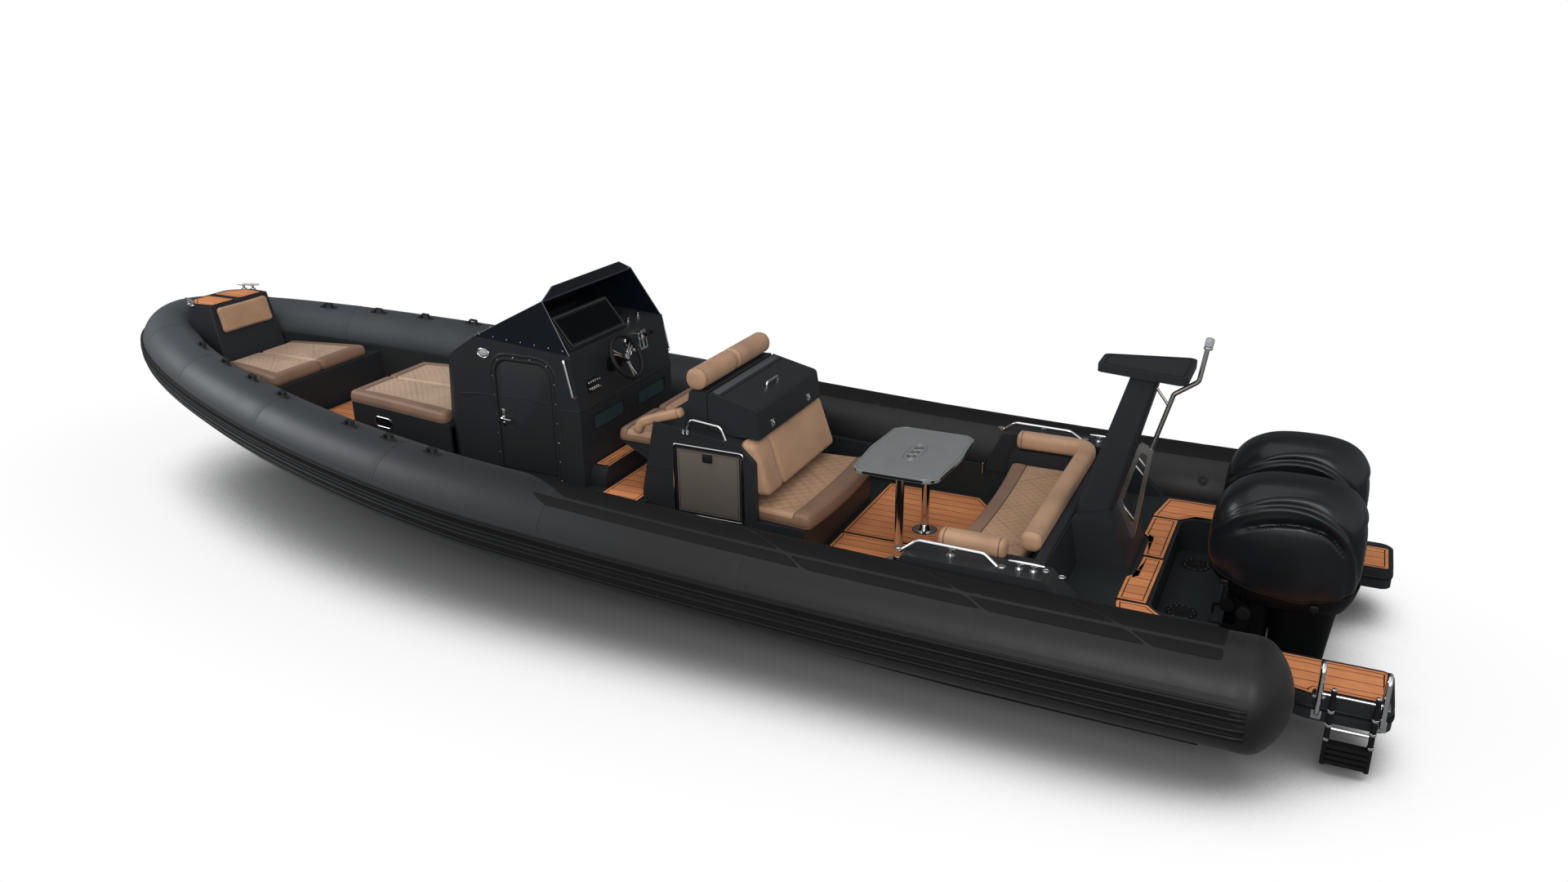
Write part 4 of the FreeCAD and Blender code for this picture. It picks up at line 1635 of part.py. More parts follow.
def main():
    os.makedirs("parts", exist_ok=True)
    skin = tube(SEAT)
    write("collar", tube(0.0))
    write("rub_strakes", rub_strakes(skin))
    write("wear_patches", wear_patches())
    write("grab_handles", grab_handles(skin))
    write("hull", hull(skin))
    write("sole_teak", sole_teak())
    write("stern_teak", stern_teak())
    write("bow_module", bow_module(skin))
    write("bow_teak", bow_teak())
    write("cleats", cleats())
    write("bow_pad", bow_pad())
    write("bow_locker", bow_locker())
    write("bow_cushions", bow_cushions())
    moulding = console()
    write("console", moulding.cut(seat_box_side(0.0)))
    write("seat_box", moulding.common(seat_box_side(SEAT)))
    write("console_windows", console_windows())
    write("console_door", console_door())
    write("console_rails", console_rails())
    write("front_cushions", front_cushions())
    write("windscreen", windscreen())
    write("dash_panels", dash_panels())
    write("steering_wheel", steering_wheel())
    write("wheel_mount", wheel_mount())
    write("throttle", throttle())
    write("helm_module", helm_module())
    write("fridge_drawer", fridge_drawer())
    write("galley_lid", galley_lid())
    write("lid_handle", lid_handle())
    write("helm_seats", helm_seats())
    write("helm_backrests", helm_backrests())
    write("armrests", armrests())
    write("galley_rails", galley_rails())
    write("bench_cushion", bench_cushion())
    write("bench_backrests", bench_backrests())
    write("table_top", table_top())
    write("table_legs", table_legs())
    write("stern_moulding", stern_moulding(skin))
    write("stern_cushion", stern_cushion())
    write("stern_backrest", stern_backrest())
    write("stern_handrails", stern_handrails())
    write("mast_pillar", mast_pillar())
    write("mast_wing", mast_wing())
    write("mast_frame", mast_frame())
    write("tow_pole", tow_pole())
    write("swim_platforms", swim_platforms(skin))
    write("platform_teak", platform_teak(skin))
    write("ladder_hoops", ladder_hoops())
    write("ladder", ladder())
    write_engines()


main()
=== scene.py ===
"""Looks of the rigid inflatable boat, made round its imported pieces.

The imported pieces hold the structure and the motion. This script gives them their finish, rounds the
edges of the mouldings, upholsters the seats, lays the deck planks and adds the small fittings.
All sizes are metres: X runs forward, Y to port, Z up, and Z = 0 is the waterline.
"""

import json
import logging
import math
from dataclasses import dataclass
from enum import Enum
from typing import Dict, List, Optional, Sequence, Tuple

import bmesh
import bpy
from mathutils import Matrix, Vector

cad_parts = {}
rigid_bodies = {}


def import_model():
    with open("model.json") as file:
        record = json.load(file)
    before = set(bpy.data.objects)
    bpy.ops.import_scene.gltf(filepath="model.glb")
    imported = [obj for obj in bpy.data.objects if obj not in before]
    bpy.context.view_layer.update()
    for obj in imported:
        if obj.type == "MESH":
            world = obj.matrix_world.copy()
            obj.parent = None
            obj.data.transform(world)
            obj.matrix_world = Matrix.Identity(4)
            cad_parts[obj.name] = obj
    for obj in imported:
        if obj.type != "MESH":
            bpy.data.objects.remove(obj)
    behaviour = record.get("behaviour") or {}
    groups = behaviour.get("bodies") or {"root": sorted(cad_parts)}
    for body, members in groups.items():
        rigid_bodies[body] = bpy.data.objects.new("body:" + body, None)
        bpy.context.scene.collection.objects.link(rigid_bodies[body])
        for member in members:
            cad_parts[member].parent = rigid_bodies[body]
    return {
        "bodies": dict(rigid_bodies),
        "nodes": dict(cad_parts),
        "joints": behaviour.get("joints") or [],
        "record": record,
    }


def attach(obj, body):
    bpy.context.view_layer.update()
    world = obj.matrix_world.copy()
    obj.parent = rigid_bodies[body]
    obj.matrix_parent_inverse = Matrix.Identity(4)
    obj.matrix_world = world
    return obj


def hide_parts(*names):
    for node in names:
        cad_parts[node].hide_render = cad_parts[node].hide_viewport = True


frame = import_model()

log = logging.getLogger("boat")
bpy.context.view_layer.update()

RGB = Tuple[float, float, float]
Point = Tuple[float, float, float]
Flat = Tuple[float, float]
Socket = bpy.types.NodeSocket

ROOT_BODY = "boat"

AHEAD = Vector((1.0, 0.0, 0.0))
ASIDE = Vector((0.0, 1.0, 0.0))
UP = Vector((0.0, 0.0, 1.0))


def paint(red: float, green: float, blue: float) -> RGB:
    """Scene colour of a paint given as screen values from 0 to 255."""
    def straight(value: float) -> float:
        """Linear value of one screen channel."""
        share = value / 255.0
        return share / 12.92 if share <= 0.04045 else ((share + 0.055) / 1.055) ** 2.4
    return straight(red), straight(green), straight(blue)


def shade(colour: RGB, factor: float, lift: float = 0.0) -> RGB:
    """A colour made darker or paler by a factor and a lift."""
    return tuple(min(channel * factor + lift, 1.0) for channel in colour)


class Slot(Enum):
    """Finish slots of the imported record."""

    TUBE = "tube_fabric"
    STRAKE = "strake_rubber"
    PATCH = "patch_rubber"
    GELCOAT = "gelcoat_dark"
    TEAK = "teak"
    LEATHER = "leather"
    STAINLESS = "stainless"
    BLACK_PLASTIC = "black_plastic"
    BLACK_GLOSS = "black_gloss"
    GLASS = "glass_dark"
    DISPLAY = "display"
    TABLE = "table_dark"
    WHEEL = "wheel_trim"


# Finishes


class Graph:
    """Node tree of one material, with short calls for what the finishes share."""

    def __init__(self, name: str) -> None:
        """Starts a material that has one principled shader."""
        self.material = bpy.data.materials.new(name)
        self.material.use_nodes = True
        self.tree = self.material.node_tree
        self.shader = self.tree.nodes["Principled BSDF"]

    def node(self, kind: str, **settings: object) -> bpy.types.Node:
        """Adds a node and sets its own properties."""
        made = self.tree.nodes.new(kind)
        for key, value in settings.items():
            setattr(made, key, value)
        return made

    def join(self, value: object, socket: Socket) -> None:
        """Links an output to a socket, or sets a plain value on it."""
        if isinstance(value, bpy.types.NodeSocket):
            self.tree.links.new(value, socket)
        else:
            socket.default_value = value

    def place(self, scale: Point = (1.0, 1.0, 1.0), turn: Point = (0.0, 0.0, 0.0)) -> Socket:
        """Object coordinates, stretched and turned.

        Args:
            scale: Stretch along each axis.
            turn: Turn about each axis, in degrees.

        Returns:
            The vector socket.
        """
        where = self.node("ShaderNodeTexCoord")
        mapping = self.node("ShaderNodeMapping")
        self.join(where.outputs["Object"], mapping.inputs["Vector"])
        mapping.inputs["Scale"].default_value = scale
        mapping.inputs["Rotation"].default_value = tuple(math.radians(angle) for angle in turn)
        return mapping.outputs["Vector"]

    def noise(self, where: Socket, scale: float, detail: float = 3.0, roughness: float = 0.5) -> Socket:
        """Noise from 0 to 1 at a number of cells for each metre."""
        made = self.node("ShaderNodeTexNoise")
        self.join(where, made.inputs["Vector"])
        made.inputs["Scale"].default_value = scale
        made.inputs["Detail"].default_value = detail
        made.inputs["Roughness"].default_value = roughness
        return made.outputs["Fac"]

    def cells(self, where: Socket, scale: float) -> Socket:
        """Distance in a pattern of cells."""
        made = self.node("ShaderNodeTexVoronoi")
        self.join(where, made.inputs["Vector"])
        made.inputs["Scale"].default_value = scale
        return made.outputs["Distance"]

    def calc(self, operation: str, first: object, second: object = 0.0) -> Socket:
        """One step of arithmetic."""
        made = self.node("ShaderNodeMath", operation=operation)
        self.join(first, made.inputs[0])
        self.join(second, made.inputs[1])
        return made.outputs[0]

    def split(self, where: Socket) -> bpy.types.Node:
        """The X, Y and Z of a vector."""
        made = self.node("ShaderNodeSeparateXYZ")
        self.join(where, made.inputs[0])
        return made

    def ramp(self, factor: Socket, stops: Sequence[Tuple[float, RGB]]) -> Socket:
        """Colour that changes with a factor, through the given stops."""
        made = self.node("ShaderNodeValToRGB")
        self.join(factor, made.inputs[0])
        elements = made.color_ramp.elements
        while len(elements) < len(stops):
            elements.new(0.5)
        for element, (position, colour) in zip(elements, stops):
            element.position = position
            element.color = (*colour, 1.0)
        return made.outputs[0]

    def blend(self, factor: object, first: object, second: object, kind: str = "MIX") -> Socket:
        """Mix of two colours."""
        made = self.node("ShaderNodeMix", data_type="RGBA", blend_type=kind)
        self.join(factor, made.inputs["Factor"])
        for value, name in ((first, "A"), (second, "B")):
            socket = [s for s in made.inputs if s.name == name and s.type == "RGBA"][0]
            if isinstance(value, tuple) and len(value) == 3:
                value = (*value, 1.0)
            self.join(value, socket)
        return [s for s in made.outputs if s.type == "RGBA"][0]

    def span(self, factor: Socket, low: float, high: float) -> Socket:
        """A factor from 0 to 1, spread over a range."""
        made = self.node("ShaderNodeMapRange")
        self.join(factor, made.inputs["Value"])
        made.inputs["To Min"].default_value = low
        made.inputs["To Max"].default_value = high
        return made.outputs["Result"]

    def attribute(self, name: str) -> Socket:
        """A factor that the mesh carries on its points."""
        made = self.node("ShaderNodeAttribute", attribute_name=name)
        return made.outputs["Fac"]

    def relief(self, height: Socket, strength: float, depth: float) -> None:
        """Adds surface relief to the shader, on top of what it has."""
        made = self.node("ShaderNodeBump")
        made.inputs["Strength"].default_value = strength
        made.inputs["Distance"].default_value = depth
        self.join(height, made.inputs["Height"])
        normal = self.shader.inputs["Normal"]
        if normal.is_linked:
            self.join(normal.links[0].from_socket, made.inputs["Normal"])
        self.join(made.outputs["Normal"], normal)

    def set(self, **values: object) -> None:
        """Sets the shader's inputs; underscores stand for spaces."""
        names = {"base": "Base Color", "specular": "Specular IOR Level", "coat": "Coat Weight",
                 "coat_roughness": "Coat Roughness", "sheen": "Sheen Weight", "metallic": "Metallic",
                 "roughness": "Roughness", "transmission": "Transmission Weight", "ior": "IOR"}
        for key, value in values.items():
            if isinstance(value, tuple) and len(value) == 3:
                value = (*value, 1.0)
            self.join(value, self.shader.inputs[names[key]])


class Finish:
    """A finish that builds its material once and hands out the same one after that."""

    _built: Dict["Finish", bpy.types.Material] = {}

    def material(self) -> bpy.types.Material:
        """The material of this finish."""
        if self not in Finish._built:
            Finish._built[self] = self.build()
        return Finish._built[self]

    def build(self) -> bpy.types.Material:
        """Makes the material."""
        raise NotImplementedError


@dataclass(frozen=True)
class CoatedFabric(Finish):
    """Coated woven fabric of the collar: satin, with a fine weave and faint handling marks, over painted light
    that runs from a painted shade at the stern to a pale, bluish painted highlight at the bow.
    """

    name: str
    # aft is the painted shade at the stern and fore the painted highlight at the bow.
    aft: RGB
    fore: RGB
    roughness: float = 0.44
    turn_from: float = -1.2
    turn_to: float = 4.4

    def build(self) -> bpy.types.Material:
        """Makes the material."""
        graph = Graph(self.name)
        where = graph.place()
        # Painted light: the colour runs along the boat from the painted shade aft to the painted highlight
        # forward.
        along = graph.calc("SUBTRACT", graph.split(where).outputs["X"], self.turn_from)
        share = graph.calc("DIVIDE", along, self.turn_to - self.turn_from)
        tone = graph.ramp(share, ((0.0, self.aft), (1.0, self.fore)))
        cloud = graph.noise(where, 2.3, 5.0, 0.6)
        # Random handling marks laid over the painted light.
        handling_marks_and_painted_light = graph.blend(graph.span(cloud, 0.0, 0.5), tone, shade(self.aft, 1.28))
        graph.set(base=handling_marks_and_painted_light, roughness=graph.span(graph.noise(where, 9.0, 4.0), self.roughness - 0.06,
                                                  self.roughness + 0.08),
                  specular=0.32, sheen=0.04)
        graph.relief(graph.noise(where, 520.0, 1.0), 0.14, 0.0006)
        graph.relief(graph.noise(where, 3.4, 2.0), 0.12, 0.006)
        return graph.material


@dataclass(frozen=True)
class Rubber(Finish):
    """Moulded rubber, matt, with a fine pebble."""

    name: str
    colour: RGB
    roughness: float = 0.55
    pebble: float = 260.0

    def build(self) -> bpy.types.Material:
        """Makes the material."""
        graph = Graph(self.name)
        where = graph.place()
        cloud = graph.noise(where, 6.0, 5.0)
        dusty = shade(self.colour, 1.7, 0.004)
        graph.set(base=graph.blend(graph.span(cloud, 0.0, 0.6), self.colour, dusty),
                  roughness=graph.span(graph.noise(where, 18.0), self.roughness - 0.1, self.roughness + 0.1),
                  specular=0.22)
        graph.relief(graph.cells(where, self.pebble), 0.25, 0.0006)
        return graph.material


@dataclass(frozen=True)
class RibbedRubber(Finish):
    """Rubber panel with fine lengthwise ribs, as on the wear patches."""

    name: str
    colour: RGB
    rib: float = 0.0075

    def build(self) -> bpy.types.Material:
        """Makes the material."""
        graph = Graph(self.name)
        where = graph.place()
        across = graph.split(where).outputs["Y"]
        wave = graph.calc("SINE", graph.calc("MULTIPLY", across, 2.0 * math.pi / self.rib))
        cloud = graph.noise(where, 5.0, 5.0)
        graph.set(base=graph.blend(graph.span(cloud, 0.1, 0.7), self.colour, shade(self.colour, 1.5)),
                  roughness=0.65, specular=0.2)
        graph.relief(graph.calc("MULTIPLY_ADD", wave, 0.5), 0.35, 0.0009)
        graph.relief(graph.cells(where, 320.0), 0.2, 0.0004)
        return graph.material


@dataclass(frozen=True)
class Gelcoat(Finish):
    """Dark moulded gelcoat under a clear gloss, with faint ripples and fine scuffs."""

    name: str
    colour: RGB
    roughness: float = 0.3
    gloss: float = 0.5
    specular: float = 0.4

    def build(self) -> bpy.types.Material:
        """Makes the material."""
        graph = Graph(self.name)
        where = graph.place()
        cloud = graph.noise(where, 1.7, 4.0, 0.55)
        pale = shade(self.colour, 1.35)
        scuff = graph.noise(graph.place((1.0, 1.0, 4.0)), 34.0, 6.0, 0.7)
        graph.set(base=graph.blend(graph.span(cloud, 0.0, 0.8), self.colour, pale),
                  roughness=graph.span(scuff, self.roughness - 0.09, self.roughness + 0.12),
                  specular=self.specular, coat=self.gloss, coat_roughness=0.08)
        graph.relief(graph.noise(where, 5.5, 2.0), 0.06, 0.004)
        graph.relief(graph.noise(where, 420.0, 1.0), 0.05, 0.0004)
        return graph.material


@dataclass(frozen=True)
class TeakPlanks(Finish):
    """Deck planks that run along the boat, each with its own tone and a fine grain."""

    name: str
    colour: RGB
    plank: float = 0.095

    def build(self) -> bpy.types.Material:
        """Makes the material."""
        graph = Graph(self.name)
        where = graph.place()
        across = graph.split(where).outputs["Y"]
        row = graph.calc("FLOOR", graph.calc("DIVIDE", across, self.plank))
        random = graph.node("ShaderNodeTexWhiteNoise", noise_dimensions="1D")
        graph.join(row, random.inputs["W"])
        grain = graph.noise(graph.place((2.5, 55.0, 20.0)), 4.0, 6.0, 0.65)
        streak = graph.noise(graph.place((1.2, 16.0, 8.0)), 3.0, 3.0, 0.5)
        dark = shade(self.colour, 0.72)
        light = shade(self.colour, 1.22)
        tone = graph.ramp(grain, ((0.25, dark), (0.52, self.colour), (0.8, light)))
        tint = graph.span(random.outputs["Value"], 0.86, 1.10)
        fade = graph.ramp(streak, ((0.2, (0.82, 0.80, 0.78)), (0.7, (1.06, 1.04, 1.0))))
        made = graph.blend(1.0, tone, fade, "MULTIPLY")
        whole = graph.node("ShaderNodeHueSaturation")
        graph.join(tint, whole.inputs["Value"])
        graph.join(made, whole.inputs["Color"])
        graph.set(base=whole.outputs[0], roughness=graph.span(grain, 0.52, 0.72), specular=0.3)
        graph.relief(grain, 0.3, 0.0007)
        return graph.material


@dataclass(frozen=True)
class Leather(Finish):
    """Marine leather: pebbled grain, soft colour drift, and a painted shade in the seams and quilting hollows.
    """

    name: str
    colour: RGB
    grain: float = 330.0
    roughness: float = 0.48

    def build(self) -> bpy.types.Material:
        """Makes the material."""
        graph = Graph(self.name)
        where = graph.place()
        drift = graph.noise(where, 3.2, 5.0, 0.6)
        dark = shade(self.colour, 0.80)
        light = shade(self.colour, 1.14)
        tone = graph.ramp(drift, ((0.28, dark), (0.5, self.colour), (0.75, light)))
        speck = graph.ramp(graph.cells(where, self.grain),
                           ((0.0, (0.84, 0.82, 0.80)), (0.55, (1.0, 1.0, 1.0))))
        skin = graph.blend(1.0, tone, speck, "MULTIPLY")
        # deep is a painted shade, laid in the seams and quilting hollows by the groove attribute.
        deep = shade(self.colour, 0.22)
        graph.set(base=graph.blend(graph.attribute("groove"), skin, deep),
                  roughness=graph.span(drift, self.roughness - 0.05, self.roughness + 0.1),
                  specular=0.38, sheen=0.08)
        graph.relief(graph.cells(where, self.grain), 0.42, 0.0007)
        graph.relief(graph.noise(where, 26.0, 4.0), 0.16, 0.0022)
        return graph.material


@dataclass(frozen=True)
class Metal(Finish):
    """Polished or brushed metal with faint smears."""

    name: str
    colour: RGB = (0.78, 0.79, 0.80)
    roughness: float = 0.1
    brush: Point = (1.0, 1.0, 1.0)
    depth: float = 0.0
    metal: float = 1.0

    def build(self) -> bpy.types.Material:
        """Makes the material."""
        graph = Graph(self.name)
        where = graph.place()
        smear = graph.noise(where, 14.0, 4.0, 0.6)
        lines = graph.noise(graph.place(self.brush), 90.0, 3.0, 0.6)
        dull = shade(self.colour, 0.86)
        graph.set(base=graph.blend(graph.span(smear, 0.0, 0.7), self.colour, dull), metallic=self.metal,
                  roughness=graph.span(lines, max(self.roughness - 0.05, 0.04), self.roughness + 0.08))
        if self.depth > 0.0:
            graph.relief(lines, 0.35, self.depth)
        return graph.material


@dataclass(frozen=True)
class Plastic(Finish):
    """Moulded plastic or paint, from fine-grained to glossy."""

    name: str
    colour: RGB
    roughness: float = 0.4
    gloss: float = 0.0
    grain: float = 0.12
    specular: float = 0.45

    def build(self) -> bpy.types.Material:
        """Makes the material."""
        graph = Graph(self.name)
        where = graph.place()
        cloud = graph.noise(where, 7.0, 4.0)
        pale = shade(self.colour, 1.3, 0.001)
        graph.set(base=graph.blend(graph.span(cloud, 0.0, 0.7), self.colour, pale),
                  roughness=graph.span(graph.noise(where, 30.0, 5.0),
                                       self.roughness - 0.04, self.roughness + 0.07),
                  specular=self.specular, coat=self.gloss, coat_roughness=0.05)
        graph.relief(graph.cells(where, 520.0), self.grain, 0.0003)
        return graph.material


@dataclass(frozen=True)
class SmokedGlass(Finish):
    """Dark acrylic pane with a cool tint."""

    name: str
    tint: RGB
    through: float = 0.7

    def build(self) -> bpy.types.Material:
        """Makes the material."""
        graph = Graph(self.name)
        where = graph.place()
        smear = graph.noise(where, 6.0, 4.0)
        graph.set(base=graph.blend(graph.span(smear, 0.0, 0.5), self.tint, shade(self.tint, 1.3)),
                  roughness=graph.span(smear, 0.03, 0.09), transmission=self.through, ior=1.49, specular=0.5)
        graph.relief(smear, 0.04, 0.002)
        return graph.material


# These cloths hold painted light: dark aft for a painted shade, pale and bluish forward for a painted
# highlight on the bow.
TUBE_CLOTH = CoatedFabric("tube cloth", paint(17, 17, 18), paint(68, 74, 79))
TAPE_CLOTH = CoatedFabric("tube tape", paint(20, 20, 21), paint(64, 70, 75), 0.5)
STRAKE = Rubber("rub strake", paint(5, 5, 6), 0.5)
HANDLE_RUBBER = Rubber("handle rubber", paint(30, 31, 33), 0.5)
PATCH = RibbedRubber("wear patch", paint(10, 10, 11))
GELCOAT = Gelcoat("anthracite gelcoat", paint(34, 36, 39), 0.42, 0.05, 0.14)
DECK_GELCOAT = Gelcoat("deck gelcoat", paint(34, 38, 39), 0.5, 0.0, 0.12)
BEVEL_GELCOAT = Gelcoat("grey trim gelcoat", paint(66, 70, 74), 0.4, 0.05, 0.2)
TEAK = TeakPlanks("teak planks", paint(218, 142, 94))
CAULK = Rubber("deck caulk", paint(26, 22, 20), 0.6)
TAN = Leather("tan leather", paint(168, 132, 104))
TAN_DARK = Leather("brown leather", paint(126, 96, 76))
BEIGE = Leather("beige leather", paint(176, 149, 125), 300.0)
STAINLESS = Metal("polished stainless")
BRUSHED = Metal("brushed steel", (0.60, 0.58, 0.55), 0.26, (1.0, 1.0, 60.0), 0.0002)
FRIDGE_STEEL = Metal("fridge steel", (0.50, 0.43, 0.37), 0.34, (1.0, 1.0, 60.0), 0.0002, 0.85)
PROP_STEEL = Metal("propeller steel", (0.58, 0.58, 0.57), 0.2)
BLACK_GRAIN = Plastic("black plastic", paint(17, 17, 19), 0.45, 0.0, 0.12, 0.2)
BLACK_SMOOTH = Plastic("black satin", paint(12, 12, 14), 0.34, 0.02, 0.05, 0.2)
ENGINE_GLOSS = Plastic("engine gloss", paint(14, 16, 20), 0.32, 0.14, 0.02, 0.26)
ENGINE_SATIN = Plastic("engine satin", paint(6, 7, 8), 0.42, 0.02, 0.05, 0.15)
TABLE_FACE = Plastic("table laminate", paint(112, 114, 114), 0.36, 0.12, 0.06, 0.35)
DISPLAY = Plastic("display glass", paint(4, 5, 7), 0.2, 0.0, 0.0, 0.05)
SMOKED = SmokedGlass("smoked acrylic", paint(16, 24, 34), 0.45)
SMOKED_EDGE = Plastic("acrylic edge", paint(26, 34, 44), 0.2, 0.6, 0.0)
LOCKER_GLASS = SmokedGlass("locker acrylic", paint(60, 80, 84), 0.45)
LENS_WHITE = Plastic("lamp lens", paint(150, 154, 158), 0.24, 0.3, 0.0)


# Mesh helpers


def smooth(mesh: bpy.types.Mesh, angle: float = 38.0) -> None:
    """Smooth shading with hard edges above an angle in degrees."""
    mesh.shade_smooth()
    mesh.set_sharp_from_angle(angle=math.radians(angle))


def add_object(name: str, mesh: bpy.types.Mesh) -> bpy.types.Object:
    """An object at the origin that holds a mesh."""
    made = bpy.data.objects.new(name, mesh)
    bpy.context.scene.collection.objects.link(made)
    return made


def settle(name: str, shape: bmesh.types.BMesh, finishes: Sequence[Finish], angle: float = 38.0,
           weld: float = 0.00001) -> bpy.types.Object:
    """Turns a working mesh into a finished object.

    Args:
        name: Name of the piece.
        shape: The working mesh, which is freed.
        finishes: Finishes in the order of the faces' material numbers.
        angle: Edges sharper than this stay hard, in degrees.
        weld: Points closer than this are joined.

    Returns:
        The new object.
    """
    bmesh.ops.remove_doubles(shape, verts=shape.verts, dist=weld)
    bmesh.ops.recalc_face_normals(shape, faces=shape.faces)
    mesh = bpy.data.meshes.new(name)
    shape.to_mesh(mesh)
    shape.free()
    smooth(mesh, angle)
    for finish in finishes:
        mesh.materials.append(finish.material())
    return add_object(name, mesh)


def baked(piece: bpy.types.Object) -> bpy.types.Object:
    """Applies a piece's modifiers and drops them."""
    graph = bpy.context.evaluated_depsgraph_get()
    mesh = bpy.data.meshes.new_from_object(piece.evaluated_get(graph), preserve_all_data_layers=True,
                                           depsgraph=graph)
    piece.modifiers.clear()
    old = piece.data
    piece.data = mesh
    bpy.data.meshes.remove(old)
    return piece


def declare(piece: bpy.types.Object, body: str, slot: Slot, *nodes: str) -> bpy.types.Object:
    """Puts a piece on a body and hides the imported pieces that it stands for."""
    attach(piece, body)
    if nodes:
        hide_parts(*nodes)
    log.info("%s rides on %s", piece.name, body)
    return piece


def dress_node(node: str, *finishes: Finish) -> bpy.types.Object:
    """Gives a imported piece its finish."""
    piece = frame["nodes"][node]
    piece.data.materials.clear()
    for finish in finishes:
        piece.data.materials.append(finish.material())
    return piece


def node_copy(node: str) -> bmesh.types.BMesh:
    """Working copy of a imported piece's mesh, with its points merged."""
    shape = bmesh.new()
    shape.from_mesh(frame["nodes"][node].data)
    bmesh.ops.remove_doubles(shape, verts=shape.verts, dist=0.00005)
    return shape


MERGE_ANGLE = math.radians(1.2)
ROUND_ANGLE = math.radians(34.0)


def rounded_copy(name: str, node: str, radius: float, finish: Finish, body: str,
                 slot: Slot) -> bpy.types.Object:
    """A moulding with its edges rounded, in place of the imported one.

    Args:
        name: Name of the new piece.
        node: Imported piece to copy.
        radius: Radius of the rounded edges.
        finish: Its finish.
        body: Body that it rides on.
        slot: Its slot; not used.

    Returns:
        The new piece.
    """
    shape = node_copy(node)
    bmesh.ops.dissolve_limit(shape, angle_limit=MERGE_ANGLE, verts=shape.verts, edges=shape.edges)
    bmesh.ops.recalc_face_normals(shape, faces=shape.faces)
    sharp = [e for e in shape.edges if len(e.link_faces) == 2 and e.calc_face_angle(0.0) > ROUND_ANGLE
             and e.calc_length() > radius * 1.2]
    bmesh.ops.bevel(shape, geom=sharp, offset=radius, offset_type="OFFSET", segments=2, profile=0.5,
                    affect="EDGES", clamp_overlap=True, harden_normals=False)
    piece = settle(name, shape, [finish], 42.0)
    weight = piece.modifiers.new("weight", "WEIGHTED_NORMAL")
    weight.keep_sharp = True
    return declare(baked(piece), body, slot, node)


def ring_faces(shape: bmesh.types.BMesh, rings: Sequence[Sequence[bmesh.types.BMVert]], closed: bool = True,
               material: int = 0) -> None:
    """Faces between rings of points, one after the other."""
    for first, second in zip(rings, rings[1:]):
        count = len(first)
        for i in range(count if closed else count - 1):
            j = (i + 1) % count
            face = shape.faces.new((first[i], first[j], second[j], second[i]))
            face.material_index = material


def lathe(shape: bmesh.types.BMesh, profile: Sequence[Flat], centre: Vector, axis: Vector, count: int = 32,
          material: int = 0) -> None:
    """Turned shape from (radius, height) points along an axis, its ends closed."""
    axis = axis.normalized()
    side = axis.orthogonal().normalized()
    other = axis.cross(side)
    rings = []
    for radius, height in profile:
        ring = []
        for i in range(count):
            angle = 2.0 * math.pi * i / count
            out = side * math.cos(angle) + other * math.sin(angle)
            ring.append(shape.verts.new(centre + axis * height + out * max(radius, 0.00001)))
        rings.append(ring)
    ring_faces(shape, rings, True, material)
    for ring in (rings[0], rings[-1]):
        shape.faces.new(ring).material_index = material


def frames_along(points: Sequence[Vector], closed: bool = False, hint: Optional[Vector] = None
                 ) -> List[Tuple[Vector, Vector, Vector]]:
    """Place, side and rise of a section at each point of a path, without twist."""
    count = len(points)
    headings = []
    for i in range(count):
        before = points[i - 1] if (i > 0 or closed) else points[i]
        after = points[(i + 1) % count] if (i < count - 1 or closed) else points[i]
        headings.append((after - before).normalized())
    rise = hint or UP
    frames = []
    for point, heading in zip(points, headings):
        rise = rise - heading * rise.dot(heading)
        if rise.length < 0.001:
            rise = heading.orthogonal()
        rise.normalize()
        frames.append((point, heading.cross(rise).normalized(), rise.copy()))
    return frames


def squared(angle: float, power: float) -> Flat:
    """Cosine and sine of an angle drawn out towards a square; a power of 2 leaves the circle."""
    c, s = math.cos(angle), math.sin(angle)
    return math.copysign(abs(c) ** (2.0 / power), c), math.copysign(abs(s) ** (2.0 / power), s)


def bar(shape: bmesh.types.BMesh, points: Sequence[Vector], half: Flat, closed: bool = False, count: int = 12,
        power: float = 2.0, hint: Optional[Vector] = None, material: int = 0) -> None:
    """A bar swept along a path, from round to nearly square in section.

    Args:
        shape: Working mesh that takes the bar.
        points: The path.
        half: Half width across and half height of the section.
        closed: Whether the path closes on itself.
        count: Points round the section.
        power: 2 is an ellipse, more is squarer.
        hint: Direction that the section's height starts in.
        material: Material number of the faces.
    """
    rings = []
    for place, side, rise in frames_along(points, closed, hint):
        turns = [squared(2.0 * math.pi * (i + 0.5) / count, power) for i in range(count)]
        rings.append([shape.verts.new(place + side * (c * half[0]) + rise * (s * half[1])) for c, s in turns])
    ends = [] if closed else [rings[0], rings[-1]]
    if closed:
        rings.append(rings[0])
    ring_faces(shape, rings, True, material)
    for ring in ends:
        shape.faces.new(ring).material_index = material


def bead(shape: bmesh.types.BMesh, ring: Sequence[Vector], half: Flat, hint: Optional[Vector] = None,
         material: int = 0, count: int = 8, power: float = 2.0) -> None:
    """A bar that closes on itself, laid round an outline."""
    bar(shape, ring, half, True, count, power, hint, material)


def bend_path(points: Sequence[Vector], radius: float, steps: int = 6) -> List[Vector]:
    """A polyline with its inner corners rounded."""
    path = [points[0]]
    for before, corner, after in zip(points, points[1:], points[2:]):
        first = before - corner
        last = after - corner
        reach = min(radius, 0.45 * first.length, 0.45 * last.length)
        start = corner + first.normalized() * reach
        end = corner + last.normalized() * reach
        for i in range(steps + 1):
            share = i / steps
            path.append(start.lerp(corner, share).lerp(corner.lerp(end, share), share))
    path.append(points[-1])
    return path


